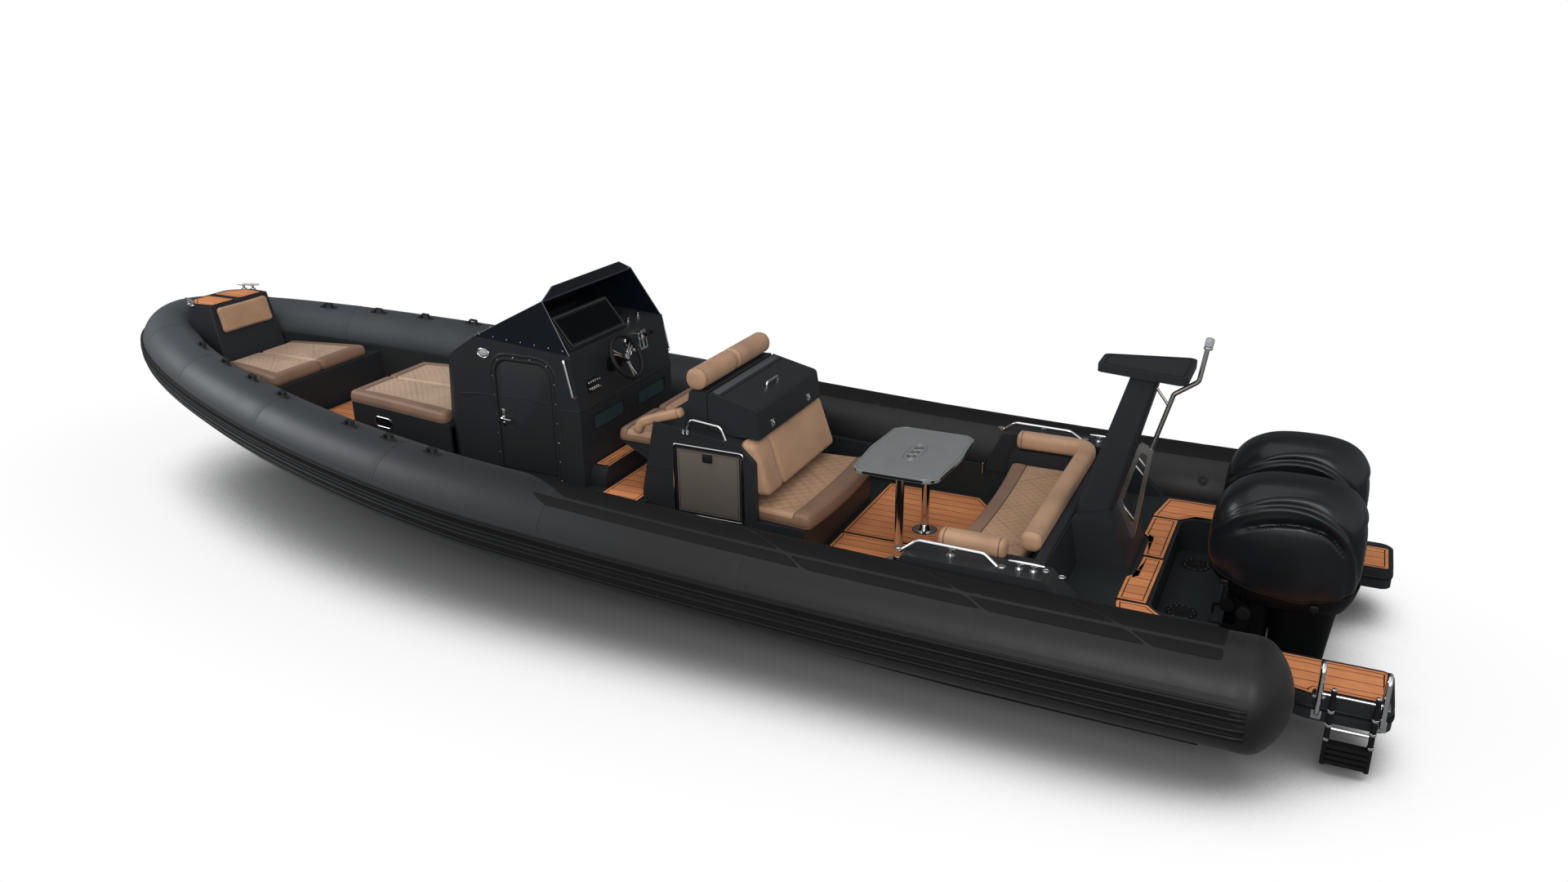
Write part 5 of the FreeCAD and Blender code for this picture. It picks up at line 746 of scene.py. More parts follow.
def slab(shape: bmesh.types.BMesh, outline: Sequence[Vector], direction: Vector, edge: float = 0.0,
         material: int = 0) -> None:
    """A flat outline made thick along a direction, its far rim drawn in by an edge."""
    centre = sum(outline, Vector()) / len(outline)
    foot = [shape.verts.new(p) for p in outline]
    rings = [foot]
    if edge > 0.0:
        lift = direction.normalized() * edge
        rings.append([shape.verts.new(p + direction - lift) for p in outline])
        rings.append([shape.verts.new(p + direction - lift * 0.3 + (centre - p).normalized() * edge * 0.3)
                      for p in outline])
        rings.append([shape.verts.new(p + direction + (centre - p).normalized() * edge) for p in outline])
    else:
        rings.append([shape.verts.new(p + direction) for p in outline])
    ring_faces(shape, rings, True, material)
    for ring in (rings[0], rings[-1]):
        shape.faces.new(ring).material_index = material


def rounded_outline(corners: Sequence[Vector], radius: float, steps: int = 5) -> List[Vector]:
    """A closed outline with each corner rounded."""
    count = len(corners)
    made = []
    for i, corner in enumerate(corners):
        first = corners[i - 1] - corner
        last = corners[(i + 1) % count] - corner
        reach = min(radius, 0.45 * first.length, 0.45 * last.length)
        start = corner + first.normalized() * reach
        end = corner + last.normalized() * reach
        for k in range(steps + 1):
            share = k / steps
            made.append(start.lerp(corner, share).lerp(corner.lerp(end, share), share))
    return made


def rectangle(low: Flat, high: Flat) -> Tuple[Flat, Flat, Flat, Flat]:
    """Corners of a rectangle between two of them, anticlockwise."""
    return low, (high[0], low[1]), high, (low[0], high[1])


def rounded_box(centre: Vector, across: Vector, up: Vector, half: Flat, radius: float,
                steps: int = 5) -> List[Vector]:
    """Closed outline of a rectangle with rounded corners, from its half sizes."""
    corners = [centre + across * a + up * b for a, b in rectangle((-half[0], -half[1]), half)]
    return rounded_outline(corners, radius, steps)


def oval_path(centre: Vector, across: Vector, up: Vector, half: Flat, count: int = 40,
              power: float = 2.0) -> List[Vector]:
    """Closed oval path round a centre, from its half sizes."""
    turns = [squared(2.0 * math.pi * k / count, power) for k in range(count)]
    return [centre + across * half[0] * c + up * half[1] * s for c, s in turns]


def on_side(path: Sequence[Vector], side: float) -> List[Vector]:
    """A path drawn on the port side, on the side that a sign names."""
    return [Vector((p.x, p.y * side, p.z)) for p in path]


# Screws along a run, made with geometry nodes


SCREW_TURN = 3.0


@dataclass(frozen=True)
class ScrewRun:
    """Slotted screws that repeat along paths, made by a node tree and turned into a plain mesh.

    Each path is a list of points with the direction that the screws face.
    """

    name: str
    size: float
    spacing: float
    finish: Finish
    seed: int = 7

    HEAD_RISE = 0.16

    def tree(self) -> bpy.types.NodeTree:
        """Builds the node tree with its named inputs."""
        group = bpy.data.node_groups.new(self.name, "GeometryNodeTree")
        face = group.interface
        face.new_socket("Geometry", in_out="INPUT", socket_type="NodeSocketGeometry")
        for label in ("Size", "Spacing", "Turn"):
            face.new_socket(label, in_out="INPUT", socket_type="NodeSocketFloat")
        face.new_socket("Seed", in_out="INPUT", socket_type="NodeSocketInt")
        face.new_socket("Geometry", in_out="OUTPUT", socket_type="NodeSocketGeometry")
        nodes, links = group.nodes, group.links
        entry = nodes.new("NodeGroupInput")
        leave = nodes.new("NodeGroupOutput")
        curve = nodes.new("GeometryNodeMeshToCurve")
        resample = nodes.new("GeometryNodeResampleCurve")
        resample.mode = "LENGTH"
        links.new(entry.outputs["Geometry"], curve.inputs["Mesh"])
        links.new(curve.outputs[0], resample.inputs["Curve"])
        links.new(entry.outputs["Spacing"], resample.inputs["Length"])
        facing = nodes.new("GeometryNodeInputNamedAttribute")
        facing.data_type = "FLOAT_VECTOR"
        facing.inputs["Name"].default_value = "facing"
        tangent = nodes.new("GeometryNodeInputTangent")
        upright = nodes.new("FunctionNodeAlignRotationToVector")
        upright.axis = "Z"
        along = nodes.new("FunctionNodeAlignRotationToVector")
        along.axis = "X"
        along.pivot_axis = "Z"
        links.new(facing.outputs["Attribute"], upright.inputs["Vector"])
        links.new(upright.outputs["Rotation"], along.inputs["Rotation"])
        links.new(tangent.outputs["Tangent"], along.inputs["Vector"])
        random = nodes.new("FunctionNodeRandomValue")
        random.data_type = "FLOAT"
        links.new(entry.outputs["Seed"], random.inputs["Seed"])
        links.new(entry.outputs["Turn"], random.inputs[3])
        euler = nodes.new("FunctionNodeEulerToRotation")
        combine = nodes.new("ShaderNodeCombineXYZ")
        links.new(random.outputs[1], combine.inputs["Z"])
        links.new(combine.outputs[0], euler.inputs[0])
        spin = nodes.new("FunctionNodeRotateRotation")
        spin.rotation_space = "LOCAL"
        links.new(along.outputs["Rotation"], spin.inputs["Rotation"])
        links.new(euler.outputs[0], spin.inputs["Rotate By"])
        place = nodes.new("GeometryNodeInstanceOnPoints")
        links.new(resample.outputs[0], place.inputs["Points"])
        links.new(self.screw(nodes, links), place.inputs["Instance"])
        links.new(spin.outputs["Rotation"], place.inputs["Rotation"])
        links.new(entry.outputs["Size"], place.inputs["Scale"])
        real = nodes.new("GeometryNodeRealizeInstances")
        skin = nodes.new("GeometryNodeSetMaterial")
        skin.inputs["Material"].default_value = self.finish.material()
        links.new(place.outputs[0], real.inputs[0])
        links.new(real.outputs[0], skin.inputs["Geometry"])
        links.new(skin.outputs[0], leave.inputs[0])
        return group

    def screw(self, nodes: bpy.types.Nodes, links: bpy.types.NodeLinks) -> Socket:
        """Adds the nodes that make one screw head of unit size, standing on its seat."""
        head = nodes.new("GeometryNodeMeshCone")
        slot = nodes.new("GeometryNodeMeshCube")
        lift = nodes.new("GeometryNodeTransform")
        both = nodes.new("GeometryNodeJoinGeometry")
        for node, name, value in ((head, "Vertices", 10), (head, "Radius Top", 0.34),
                                  (head, "Radius Bottom", 0.5),
                                  (head, "Depth", self.HEAD_RISE), (slot, "Size", (0.52, 0.1, 0.05)),
                                  (lift, "Translation", (0.0, 0.0, self.HEAD_RISE))):
            node.inputs[name].default_value = value
        links.new(slot.outputs["Mesh"], lift.inputs["Geometry"])
        links.new(head.outputs["Mesh"], both.inputs[0])
        links.new(lift.outputs[0], both.inputs[0])
        return both.outputs[0]

    def build(self, paths: Sequence[Tuple[Sequence[Vector], Vector]], body: str, slot: Slot,
              turn: float = 0.0) -> bpy.types.Object:
        """Makes the run along its paths.

        Args:
            paths: Points of each path and the direction that its screws face.
            body: Body that the run rides on.
            slot: Its slot; not used.
            turn: Greatest random turn of a screw about its own axis, in radians.

        Returns:
            The finished piece.
        """
        mesh = bpy.data.meshes.new(self.name)
        points, edges, faces = [], [], []
        for path, facing in paths:
            start = len(points)
            points += list(path)
            faces += [tuple(facing)] * len(path)
            edges += [(start + i, start + i + 1) for i in range(len(path) - 1)]
        mesh.from_pydata(points, edges, [])
        layer = mesh.attributes.new("facing", "FLOAT_VECTOR", "POINT")
        for item, value in zip(layer.data, faces):
            item.vector = value
        piece = add_object(self.name, mesh)
        group = self.tree()
        modifier = piece.modifiers.new("copies", "NODES")
        modifier.node_group = group
        values = {"Size": self.size, "Spacing": self.spacing, "Turn": turn, "Seed": self.seed}
        for item in group.interface.items_tree:
            if item.in_out == "INPUT" and item.name in values:
                modifier[item.identifier] = values[item.name]
        baked(piece)
        return declare(piece, body, slot)


# Collar


@dataclass(frozen=True)
class Station:
    """One section of the tube: its centre, radius, and outboard and upward directions."""

    centre: Vector
    radius: float
    out: Vector
    up: Vector

    def at(self, angle: float, height: float = 0.0) -> Vector:
        """Point of the section.

        Args:
            angle: Degrees from outboard, rising.
            height: Height above the skin.

        Returns:
            The point.
        """
        turn = math.radians(angle)
        reach = self.radius + height
        return self.centre + self.out * (reach * math.cos(turn)) + self.up * (reach * math.sin(turn))

    def mirrored(self) -> "Station":
        """The same section on the starboard side."""
        flip = Vector((1.0, -1.0, 1.0))
        return Station(self.centre * flip, self.radius, self.out * flip, self.up * flip)


@dataclass(frozen=True)
class TubeLine:
    """Centreline and sizes of the inflatable tube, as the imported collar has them."""

    radius: float = 0.312
    bow_radius: float = 0.227
    half: float = 1.391
    height: float = 0.502
    stern: float = -4.780
    cap: float = 0.210
    knuckle: float = 0.42
    bend: float = 0.055
    bow: float = 4.605
    rise: float = 0.659
    rise_power: float = 2.2
    x_power: float = 1.218
    y_power: float = 1.074

    def sheer(self, x: float) -> float:
        """Height of the centreline at a place along the boat."""
        start = self.stern - self.cap / 1.65
        return self.height + self.rise * max((x - start) / (self.bow - start), 0.0) ** self.rise_power

    def radius_at(self, x: float) -> float:
        """Radius of the tube at a place along the boat."""
        share = max((x - self.bend) / (self.bow - self.bend), 0.0)
        return self.radius + (self.bow_radius - self.radius) * share

    def bow_point(self, turn: float) -> Vector:
        """Port centreline by its share of the turn in to the stem."""
        angle = turn * math.pi / 2.0
        x = self.bend + (self.bow - self.bend) * math.sin(angle) ** self.x_power
        return Vector((x, self.half * max(math.cos(angle), 0.0) ** self.y_power, self.sheer(x)))

    def bow_station(self, turn: float) -> Station:
        """Port section by its share of the turn in to the stem."""
        centre = self.bow_point(turn)
        if turn <= 0.0:
            heading = AHEAD
        elif turn >= 1.0:
            heading = Vector((0.0, -1.0, 0.0))
        else:
            heading = self.bow_point(min(turn + 0.0005, 1.0)) - self.bow_point(max(turn - 0.0005, 0.0))
        level = Vector((heading.x, heading.y, 0.0)).normalized()
        out = UP.cross(level)
        return Station(centre, self.radius_at(centre.x), out, heading.normalized().cross(out))

    def at(self, x: float) -> Station:
        """Port section at a place along the boat."""
        if x <= self.bend:
            return Station(Vector((x, self.half, self.sheer(x))), self.radius, ASIDE, UP)
        share = min((x - self.bend) / (self.bow - self.bend), 1.0)
        return self.bow_station(math.asin(share ** (1.0 / self.x_power)) * 2.0 / math.pi)

    def run(self, straight: int, turn: int) -> List[Station]:
        """Sections from the port stern round the stem to the starboard stern."""
        port = [self.at(self.stern + (self.bend - self.stern) * i / straight) for i in range(straight)]
        port += [self.bow_station((i / turn) ** 0.9) for i in range(turn + 1)]
        return port + [station.mirrored() for station in reversed(port[:-1])]


TUBE = TubeLine()


class Collar:
    """The inflatable tube with its tapes, strakes, wear patches and valves."""

    STRAKES = ((0.0, 16.0), (-23.0, -4.0))
    TAPE_T = 0.0014
    TAPE_HALF = 0.030
    TAPE_PLACES = (-4.745, -3.31, -1.86, -0.42, 0.98, 2.30, 3.42, 4.18)
    PATCH_ROWS = ((-0.140, 0.082, -0.091), (0.108, 0.172, -0.301))
    PATCH_ENDS = (-1.660, -2.760, -3.650, -4.650)
    PATCH_SLANT = 2.0
    PATCH_JOINT = 0.026
    PATCH_T = 0.0032
    PATCH_CORNER = 0.022
    PATCH_STEPS = 36
    PATCH_SHARES = (0.0, 0.01, 0.03, 0.06, 0.1, *(0.1 + 0.8 * i / 8 for i in range(1, 8)),
                    0.9, 0.94, 0.97, 0.99, 1.0)
    BURIED = -0.002
    AROUND = 72
    SEAM_TAPES = ((17.2, 23.5), (-31.0, -24.2))
    # Share across the strake and height: two raised rubbing ribs, with fine grooves between them.
    STRAKE_OUTLINE = (
        (0.0, -0.002), (0.0, 0.0045), (0.03, 0.0062), (0.09, 0.0062), (0.12, 0.0135), (0.145, 0.0162),
        (0.20, 0.0172), (0.26, 0.0172), (0.315, 0.0162), (0.34, 0.0135), (0.37, 0.0062), (0.41, 0.0062),
        (0.425, 0.0080), (0.455, 0.0080), (0.47, 0.0062), (0.485, 0.0080), (0.515, 0.0080), (0.53, 0.0062),
        (0.545, 0.0080), (0.575, 0.0080), (0.59, 0.0062), (0.63, 0.0062), (0.66, 0.0135), (0.685, 0.0162),
        (0.74, 0.0172), (0.80, 0.0172), (0.855, 0.0162), (0.88, 0.0135), (0.91, 0.0062), (0.97, 0.0062),
        (1.0, 0.0045), (1.0, -0.002))
    # Place along the boat, angle up from outboard and radius; then share of the radius and height.
    VALVES = ((-4.21, 150.0, 0.036), (-4.40, 153.0, 0.028), (-1.10, 150.0, 0.034), (2.05, 150.0, 0.034))
    VALVE_PROFILE = ((1.0, 0.0), (1.0, 0.005), (0.94, 0.008), (0.72, 0.008), (0.70, 0.004), (0.60, 0.004),
                     (0.58, 0.010), (0.50, 0.013), (0.0, 0.013))

    def __init__(self, line: TubeLine) -> None:
        """Keeps the tube's line and cuts it into sections."""
        self.line = line
        self.stations = line.run(96, 84)

    def tube(self) -> bpy.types.Object:
        """The tube's skin with its dished ends."""
        shape = bmesh.new()
        angles = [360.0 * i / self.AROUND for i in range(self.AROUND)]
        rings = [[shape.verts.new(station.at(angle)) for angle in angles] for station in self.stations]
        for end in (0, -1):
            station = self.stations[end]
            caps = []
            for radius, reach in self.cap_profile():
                share = radius / self.line.radius
                spokes = [station.at(angle) - station.centre for angle in angles]
                caps.append([shape.verts.new(station.centre + spoke * share - AHEAD * reach)
                             for spoke in spokes])
            rings = caps[::-1] + rings if end == 0 else rings + caps
        ring_faces(shape, rings)
        return declare(settle("collar_tube", shape, [TUBE_CLOTH], 60.0), ROOT_BODY, Slot.TUBE, "collar")

    def cap_profile(self) -> List[Flat]:
        """Radius and reach of rings over a dished end: a knuckle arc that runs into a wide crown."""
        rim, length = self.line.radius, self.line.cap
        knuckle = rim * self.line.knuckle
        bend = rim - knuckle
        crown = (bend ** 2 + length ** 2 - knuckle ** 2) / (2.0 * (length - knuckle))
        lean = math.atan2(crown - length, bend)
        rings = []
        for i in range(1, 11):
            angle = lean * i / 10
            rings.append((bend + knuckle * math.cos(angle), knuckle * math.sin(angle)))
        for i in range(1, 13):
            angle = lean + (math.pi / 2.0 - lean) * i / 12
            rings.append((max(crown * math.cos(angle), 0.0005), length - crown + crown * math.sin(angle)))
        return rings

    def skin_band(self, shape: bmesh.types.BMesh, rows: Sequence[Flat], taper: float = 0.0) -> None:
        """A closed band along the whole tube.

        Args:
            shape: Working mesh that takes the band.
            rows: Angle and height of the band's points, from one buried edge to the other.
            taper: Share of the height left at the two ends.
        """
        rings = []
        last = len(self.stations) - 1
        for i, station in enumerate(self.stations):
            keep = taper if i in (0, last) and taper > 0.0 else 1.0
            rings.append([shape.verts.new(station.at(angle, height * keep if height > 0.0 else height))
                          for angle, height in rows])
        ring_faces(shape, rings)
        for ring in (rings[0], rings[-1]):
            shape.faces.new(ring)

    def strakes(self) -> bpy.types.Object:
        """Both rub strakes, from stern to stern round the stem."""
        shape = bmesh.new()
        for low, high in self.STRAKES:
            rows = [(low + (high - low) * share, height) for share, height in self.STRAKE_OUTLINE]
            self.skin_band(shape, rows, 0.35)
        return declare(settle("collar_strakes", shape, [STRAKE], 50.0), ROOT_BODY, Slot.STRAKE, "rub_strakes")

    def tapes(self) -> bpy.types.Object:
        """Tapes over the joints of the tube's panels, and along the bonded seam of each strake."""
        shape = bmesh.new()
        for middle in self.TAPE_PLACES:
            near = [self.line.at(middle + self.TAPE_HALF * step / 3.0) for step in range(-3, 4)]
            for side in (near, [station.mirrored() for station in near]):
                self.cloth_ring(shape, side)
        for low, high in self.SEAM_TAPES:
            rows = [(low, self.BURIED), (low, self.TAPE_T), (high, self.TAPE_T), (high, self.BURIED)]
            self.skin_band(shape, rows)
        return declare(settle("collar_tapes", shape, [TAPE_CLOTH], 40.0), ROOT_BODY, Slot.TUBE)

    def cloth_ring(self, shape: bmesh.types.BMesh, stations: Sequence[Station]) -> None:
        """A thin cloth ring round the tube, its two edges buried."""
        rings = []
        for i, station in enumerate(stations):
            for height in (self.BURIED, self.TAPE_T) if i in (0, len(stations) - 1) else (self.TAPE_T,):
                rings.append([shape.verts.new(station.at(360.0 * k / self.AROUND, height))
                              for k in range(self.AROUND)])
        rings[-2], rings[-1] = rings[-1], rings[-2]
        ring_faces(shape, rings)
        ring_faces(shape, [rings[-1], rings[0]])

    def patches(self) -> bpy.types.Object:
        """Rubber wear panels on the top of the tube, in two rows with slanted ends."""
        shape = bmesh.new()
        for inner, outer, start in self.PATCH_ROWS:
            fore = start
            for end in self.PATCH_ENDS:
                slant = self.PATCH_SLANT * (outer - inner)
                shift = self.PATCH_SLANT * (inner - self.PATCH_ROWS[0][0])
                lead = shift if fore != start else 0.0
                last = end == self.PATCH_ENDS[-1]
                ends = ((fore - lead, fore - lead - slant),
                        (end + self.PATCH_JOINT - (0.0 if last else shift),
                         end + self.PATCH_JOINT - (0.0 if last else shift + slant)))
                for side in (1.0, -1.0):
                    self.patch(shape, (inner, outer), ends, side)
                fore = end
        return declare(settle("collar_patches", shape, [PATCH], 40.0), ROOT_BODY, Slot.PATCH, "wear_patches")

    def patch(self, shape: bmesh.types.BMesh, span: Flat, ends: Tuple[Flat, Flat], side: float) -> None:
        """One wear panel: a rounded parallelogram laid over the tube."""
        inner, outer = span
        width = outer - inner
        corner, steps = self.PATCH_CORNER, self.PATCH_STEPS
        rows = []
        for share in self.PATCH_SHARES:
            near = min(share, 1.0 - share) * width
            draw = corner - math.sqrt(max(corner ** 2 - max(corner - near, 0.0) ** 2, 0.0))
            fore = ends[0][0] + (ends[0][1] - ends[0][0]) * share - draw
            aft = ends[1][0] + (ends[1][1] - ends[1][0]) * share + draw
            rows.append((inner + width * share, fore, aft))
        top, foot = [], []
        for offset, fore, aft in rows:
            angle = math.degrees(math.acos(max(min(offset / self.line.radius, 1.0), -1.0)))
            edge = offset in (rows[0][0], rows[-1][0])
            line, low = [], []
            for i in range(steps + 1):
                share = i / steps
                x = fore + (aft - fore) * share
                station = self.line.at(x)
                rim = edge or i in (0, steps)
                place = station.at(angle, self.PATCH_T * (0.7 if rim else 1.0))
                base = station.at(angle, -0.001)
                line.append(shape.verts.new((place.x, place.y * side, place.z)))
                low.append(shape.verts.new((base.x, base.y * side, base.z)))
            top.append(line)
            foot.append(low)
        for grid in (top, foot):
            for first, second in zip(grid, grid[1:]):
                for i in range(steps):
                    shape.faces.new((first[i], first[i + 1], second[i + 1], second[i]))
        for i in range(steps):
            for k in (0, -1):
                shape.faces.new((top[k][i], top[k][i + 1], foot[k][i + 1], foot[k][i]))
        for k in range(len(rows) - 1):
            for i in (0, -1):
                shape.faces.new((top[k][i], top[k + 1][i], foot[k + 1][i], foot[k][i]))

    def valves(self) -> bpy.types.Object:
        """Inflation valves with their caps, on the inboard side of the tube."""
        shape = bmesh.new()
        for x, angle, size in self.VALVES:
            for station in (self.line.at(x), self.line.at(x).mirrored()):
                seat = station.at(angle, self.BURIED)
                profile = [(size * share, height) for share, height in self.VALVE_PROFILE]
                lathe(shape, profile, seat, seat - station.centre, 28)
        return declare(settle("collar_valves", shape, [BLACK_SMOOTH], 30.0), ROOT_BODY, Slot.BLACK_PLASTIC)

    def handles(self) -> None:
        """Grab handles with rounded edges."""
        rounded_copy("collar_handles", "grab_handles", 0.0035, HANDLE_RUBBER, ROOT_BODY, Slot.BLACK_PLASTIC)

    def build(self) -> None:
        """Makes the whole collar."""
        self.tube()
        self.tapes()
        self.strakes()
        self.patches()
        self.valves()
        self.handles()


# Decks and mouldings


@dataclass(frozen=True)
class TeakLayout:
    """How the planks of one deck node are laid."""

    node: str
    plank: float = 0.095
    border: float = 0.026
    caulk: float = 0.0070
    surround: float = 0.0080
    least_run: float = 0.012


def drawn_in(ring: Sequence[Flat], amount: float) -> List[Flat]:
    """An anticlockwise outline drawn in by an amount, its tight corners kept from running out."""
    count = len(ring)
    made = []
    for i, (x, y) in enumerate(ring):
        px, py = ring[i - 1]
        nx, ny = ring[(i + 1) % count]
        first, last = math.hypot(x - px, y - py), math.hypot(nx - x, ny - y)
        ax, ay = -(y - py) / first, (x - px) / first
        bx, by = -(ny - y) / last, (nx - x) / last
        sx, sy = ax + bx, ay + by
        size = sx * sx + sy * sy
        if size < 0.25:
            made.append((x + ax * amount, y + ay * amount))
            continue
        made.append((x + 2.0 * sx / size * amount, y + 2.0 * sy / size * amount))
    return made


class TeakDeck:
    """Deck panels with a border plank, a caulk line inside it, and planks that run fore and aft."""

    LIFT = 0.0012
    FLAT_TOP = 0.9

    def __init__(self, layout: TeakLayout) -> None:
        """Keeps the layout of one deck node."""
        self.layout = layout

    def rims(self, shape: bmesh.types.BMesh) -> List[List[Vector]]:
        """Outlines of the panels' tops, with short runs merged."""
        tops = [face for face in shape.faces if face.normal.z > self.FLAT_TOP]
        chosen = set(tops)
        after: Dict[bmesh.types.BMVert, bmesh.types.BMVert] = {}
        for face in tops:
            for loop in face.loops:
                others = [f for f in loop.edge.link_faces if f is not face and f in chosen]
                if not others:
                    after[loop.vert] = loop.link_loop_next.vert
        rims = []
        while after:
            start = next(iter(after))
            ring, vert = [], start
            while vert in after:
                ring.append(vert.co.copy())
                vert = after.pop(vert)
            rims.append(self.thinned(ring))
        return rims

    def thinned(self, ring: Sequence[Vector]) -> List[Vector]:
        """A closed outline without points closer than the least run, and without points in line."""
        kept: List[Vector] = []
        for point in ring:
            if not kept or (point - kept[-1]).length > self.layout.least_run:
                kept.append(point)
        while len(kept) > 3 and (kept[0] - kept[-1]).length < self.layout.least_run:
            kept.pop()
        return kept

    def panel(self, shape: bmesh.types.BMesh, rim: Sequence[Vector], low: float) -> None:
        """One panel: its dark surround, the border plank and the bed of caulk inside it."""
        top = rim[0].z
        area = sum(a.x * b.y - b.x * a.y for a, b in zip(rim, list(rim[1:]) + [rim[0]])) / 2.0
        flat = [(p.x, p.y) for p in rim]
        if area < 0.0:
            flat.reverse()
        inner = drawn_in(flat, self.layout.border)
        bed = drawn_in(flat, self.layout.border + self.layout.caulk)
        foot = [shape.verts.new((x, y, low)) for x, y in flat]
        outer = [shape.verts.new((x, y, top + self.LIFT)) for x, y in flat]
        bead = [shape.verts.new((x, y, top + self.LIFT)) for x, y in drawn_in(flat, self.layout.surround)]
        edge = [shape.verts.new((x, y, top + self.LIFT)) for x, y in inner]
        lower = [shape.verts.new((x, y, top)) for x, y in inner]
        ring_faces(shape, [foot, outer, bead], True, 1)
        ring_faces(shape, [bead, edge], True, 0)
        ring_faces(shape, [edge, lower], True, 1)
        base = shape.faces.new(lower)
        base.material_index = 1
        self.planks(shape, bed, top)

    def planks(self, shape: bmesh.types.BMesh, bed: Sequence[Flat], top: float) -> None:
        """The planks inside one border, cut to its outline."""
        low, high = min(y for _, y in bed), max(y for _, y in bed)
        half = self.layout.caulk / 2.0
        width = self.layout.plank
        for row in range(math.floor(low / width), math.floor(high / width) + 1):
            cut = bmesh.new()
            face = cut.faces.new([cut.verts.new((x, y, top + self.LIFT)) for x, y in bed])
            bmesh.ops.triangulate(cut, faces=[face])
            for level, outer in ((row * width + half, -1.0), ((row + 1) * width - half, 1.0)):
                bmesh.ops.bisect_plane(cut, geom=[*cut.verts, *cut.edges, *cut.faces], dist=0.00001,
                                       plane_co=(0.0, level, 0.0), plane_no=(0.0, outer, 0.0),
                                       clear_outer=True)
            if cut.faces:
                bmesh.ops.dissolve_limit(cut, angle_limit=0.01, verts=cut.verts, edges=cut.edges)
                made = bmesh.ops.extrude_face_region(cut, geom=list(cut.faces))
                bmesh.ops.translate(cut, vec=(0.0, 0.0, -self.LIFT - 0.0003),
                                    verts=[v for v in made["geom"] if isinstance(v, bmesh.types.BMVert)])
                mesh = bpy.data.meshes.new("plank")
                cut.to_mesh(mesh)
                shape.from_mesh(mesh)
                bpy.data.meshes.remove(mesh)
            cut.free()

    def build(self) -> bpy.types.Object:
        """Makes the deck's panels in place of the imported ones."""
        source = node_copy(self.layout.node)
        bmesh.ops.dissolve_limit(source, angle_limit=math.radians(0.8), verts=source.verts,
                                 edges=source.edges)
        bmesh.ops.recalc_face_normals(source, faces=source.faces)
        shape = bmesh.new()
        rims = self.rims(source)
        low_by_top: Dict[float, float] = {}
        for vert in source.verts:
            for rim in rims:
                if rim[0].z - 0.03 < vert.co.z:
                    key = round(rim[0].z, 4)
                    low_by_top[key] = min(low_by_top.get(key, 1e9), vert.co.z)
        for rim in rims:
            if len(rim) > 3:
                self.panel(shape, rim, low_by_top[round(rim[0].z, 4)])
        source.free()
        log.info("%s has %d panels", self.layout.node, len(rims))
        finishes = [TeakPlanks("teak " + self.layout.node, TEAK.colour, self.layout.plank), CAULK]
        piece = settle("laid_" + self.layout.node, shape, finishes, 25.0, 0.000002)
        return declare(piece, ROOT_BODY, Slot.TEAK, self.layout.node)


class Mouldings:
    """The gelcoat mouldings that stay as packed or only have their edges rounded."""

    ROUNDED = (("console_shell", "console", 0.012), ("seat_shell", "seat_box", 0.012),
               ("bow_shell", "bow_module", 0.014), ("helm_shell", "helm_module", 0.010),
               ("bow_box", "bow_locker", 0.010), ("stern_shell", "stern_moulding", 0.012),
               ("swim_shells", "swim_platforms", 0.020), ("mast_shell", "mast_pillar", 0.012),
               ("wing_shell", "mast_wing", 0.008))

    def build(self) -> None:
        """Dresses the hull and rounds the mouldings."""
        dress_node("hull", DECK_GELCOAT)
        for name, node, radius in self.ROUNDED:
            rounded_copy(name, node, radius, GELCOAT, ROOT_BODY, Slot.GELCOAT)


# Upholstery


@dataclass(frozen=True)
class PadFrame:
    """Where a pad lies: the origin of its foot and the three directions of its own axes."""

    origin: Point
    across: Point = (1.0, 0.0, 0.0)
    along: Point = (0.0, 1.0, 0.0)
    out: Point = (0.0, 0.0, 1.0)

    def to_boat(self, x: float, y: float, z: float) -> Vector:
        """Point of the pad's own frame, in the boat's."""
        return Vector(self.origin) + Vector(self.across) * x + Vector(self.along) * y + Vector(self.out) * z


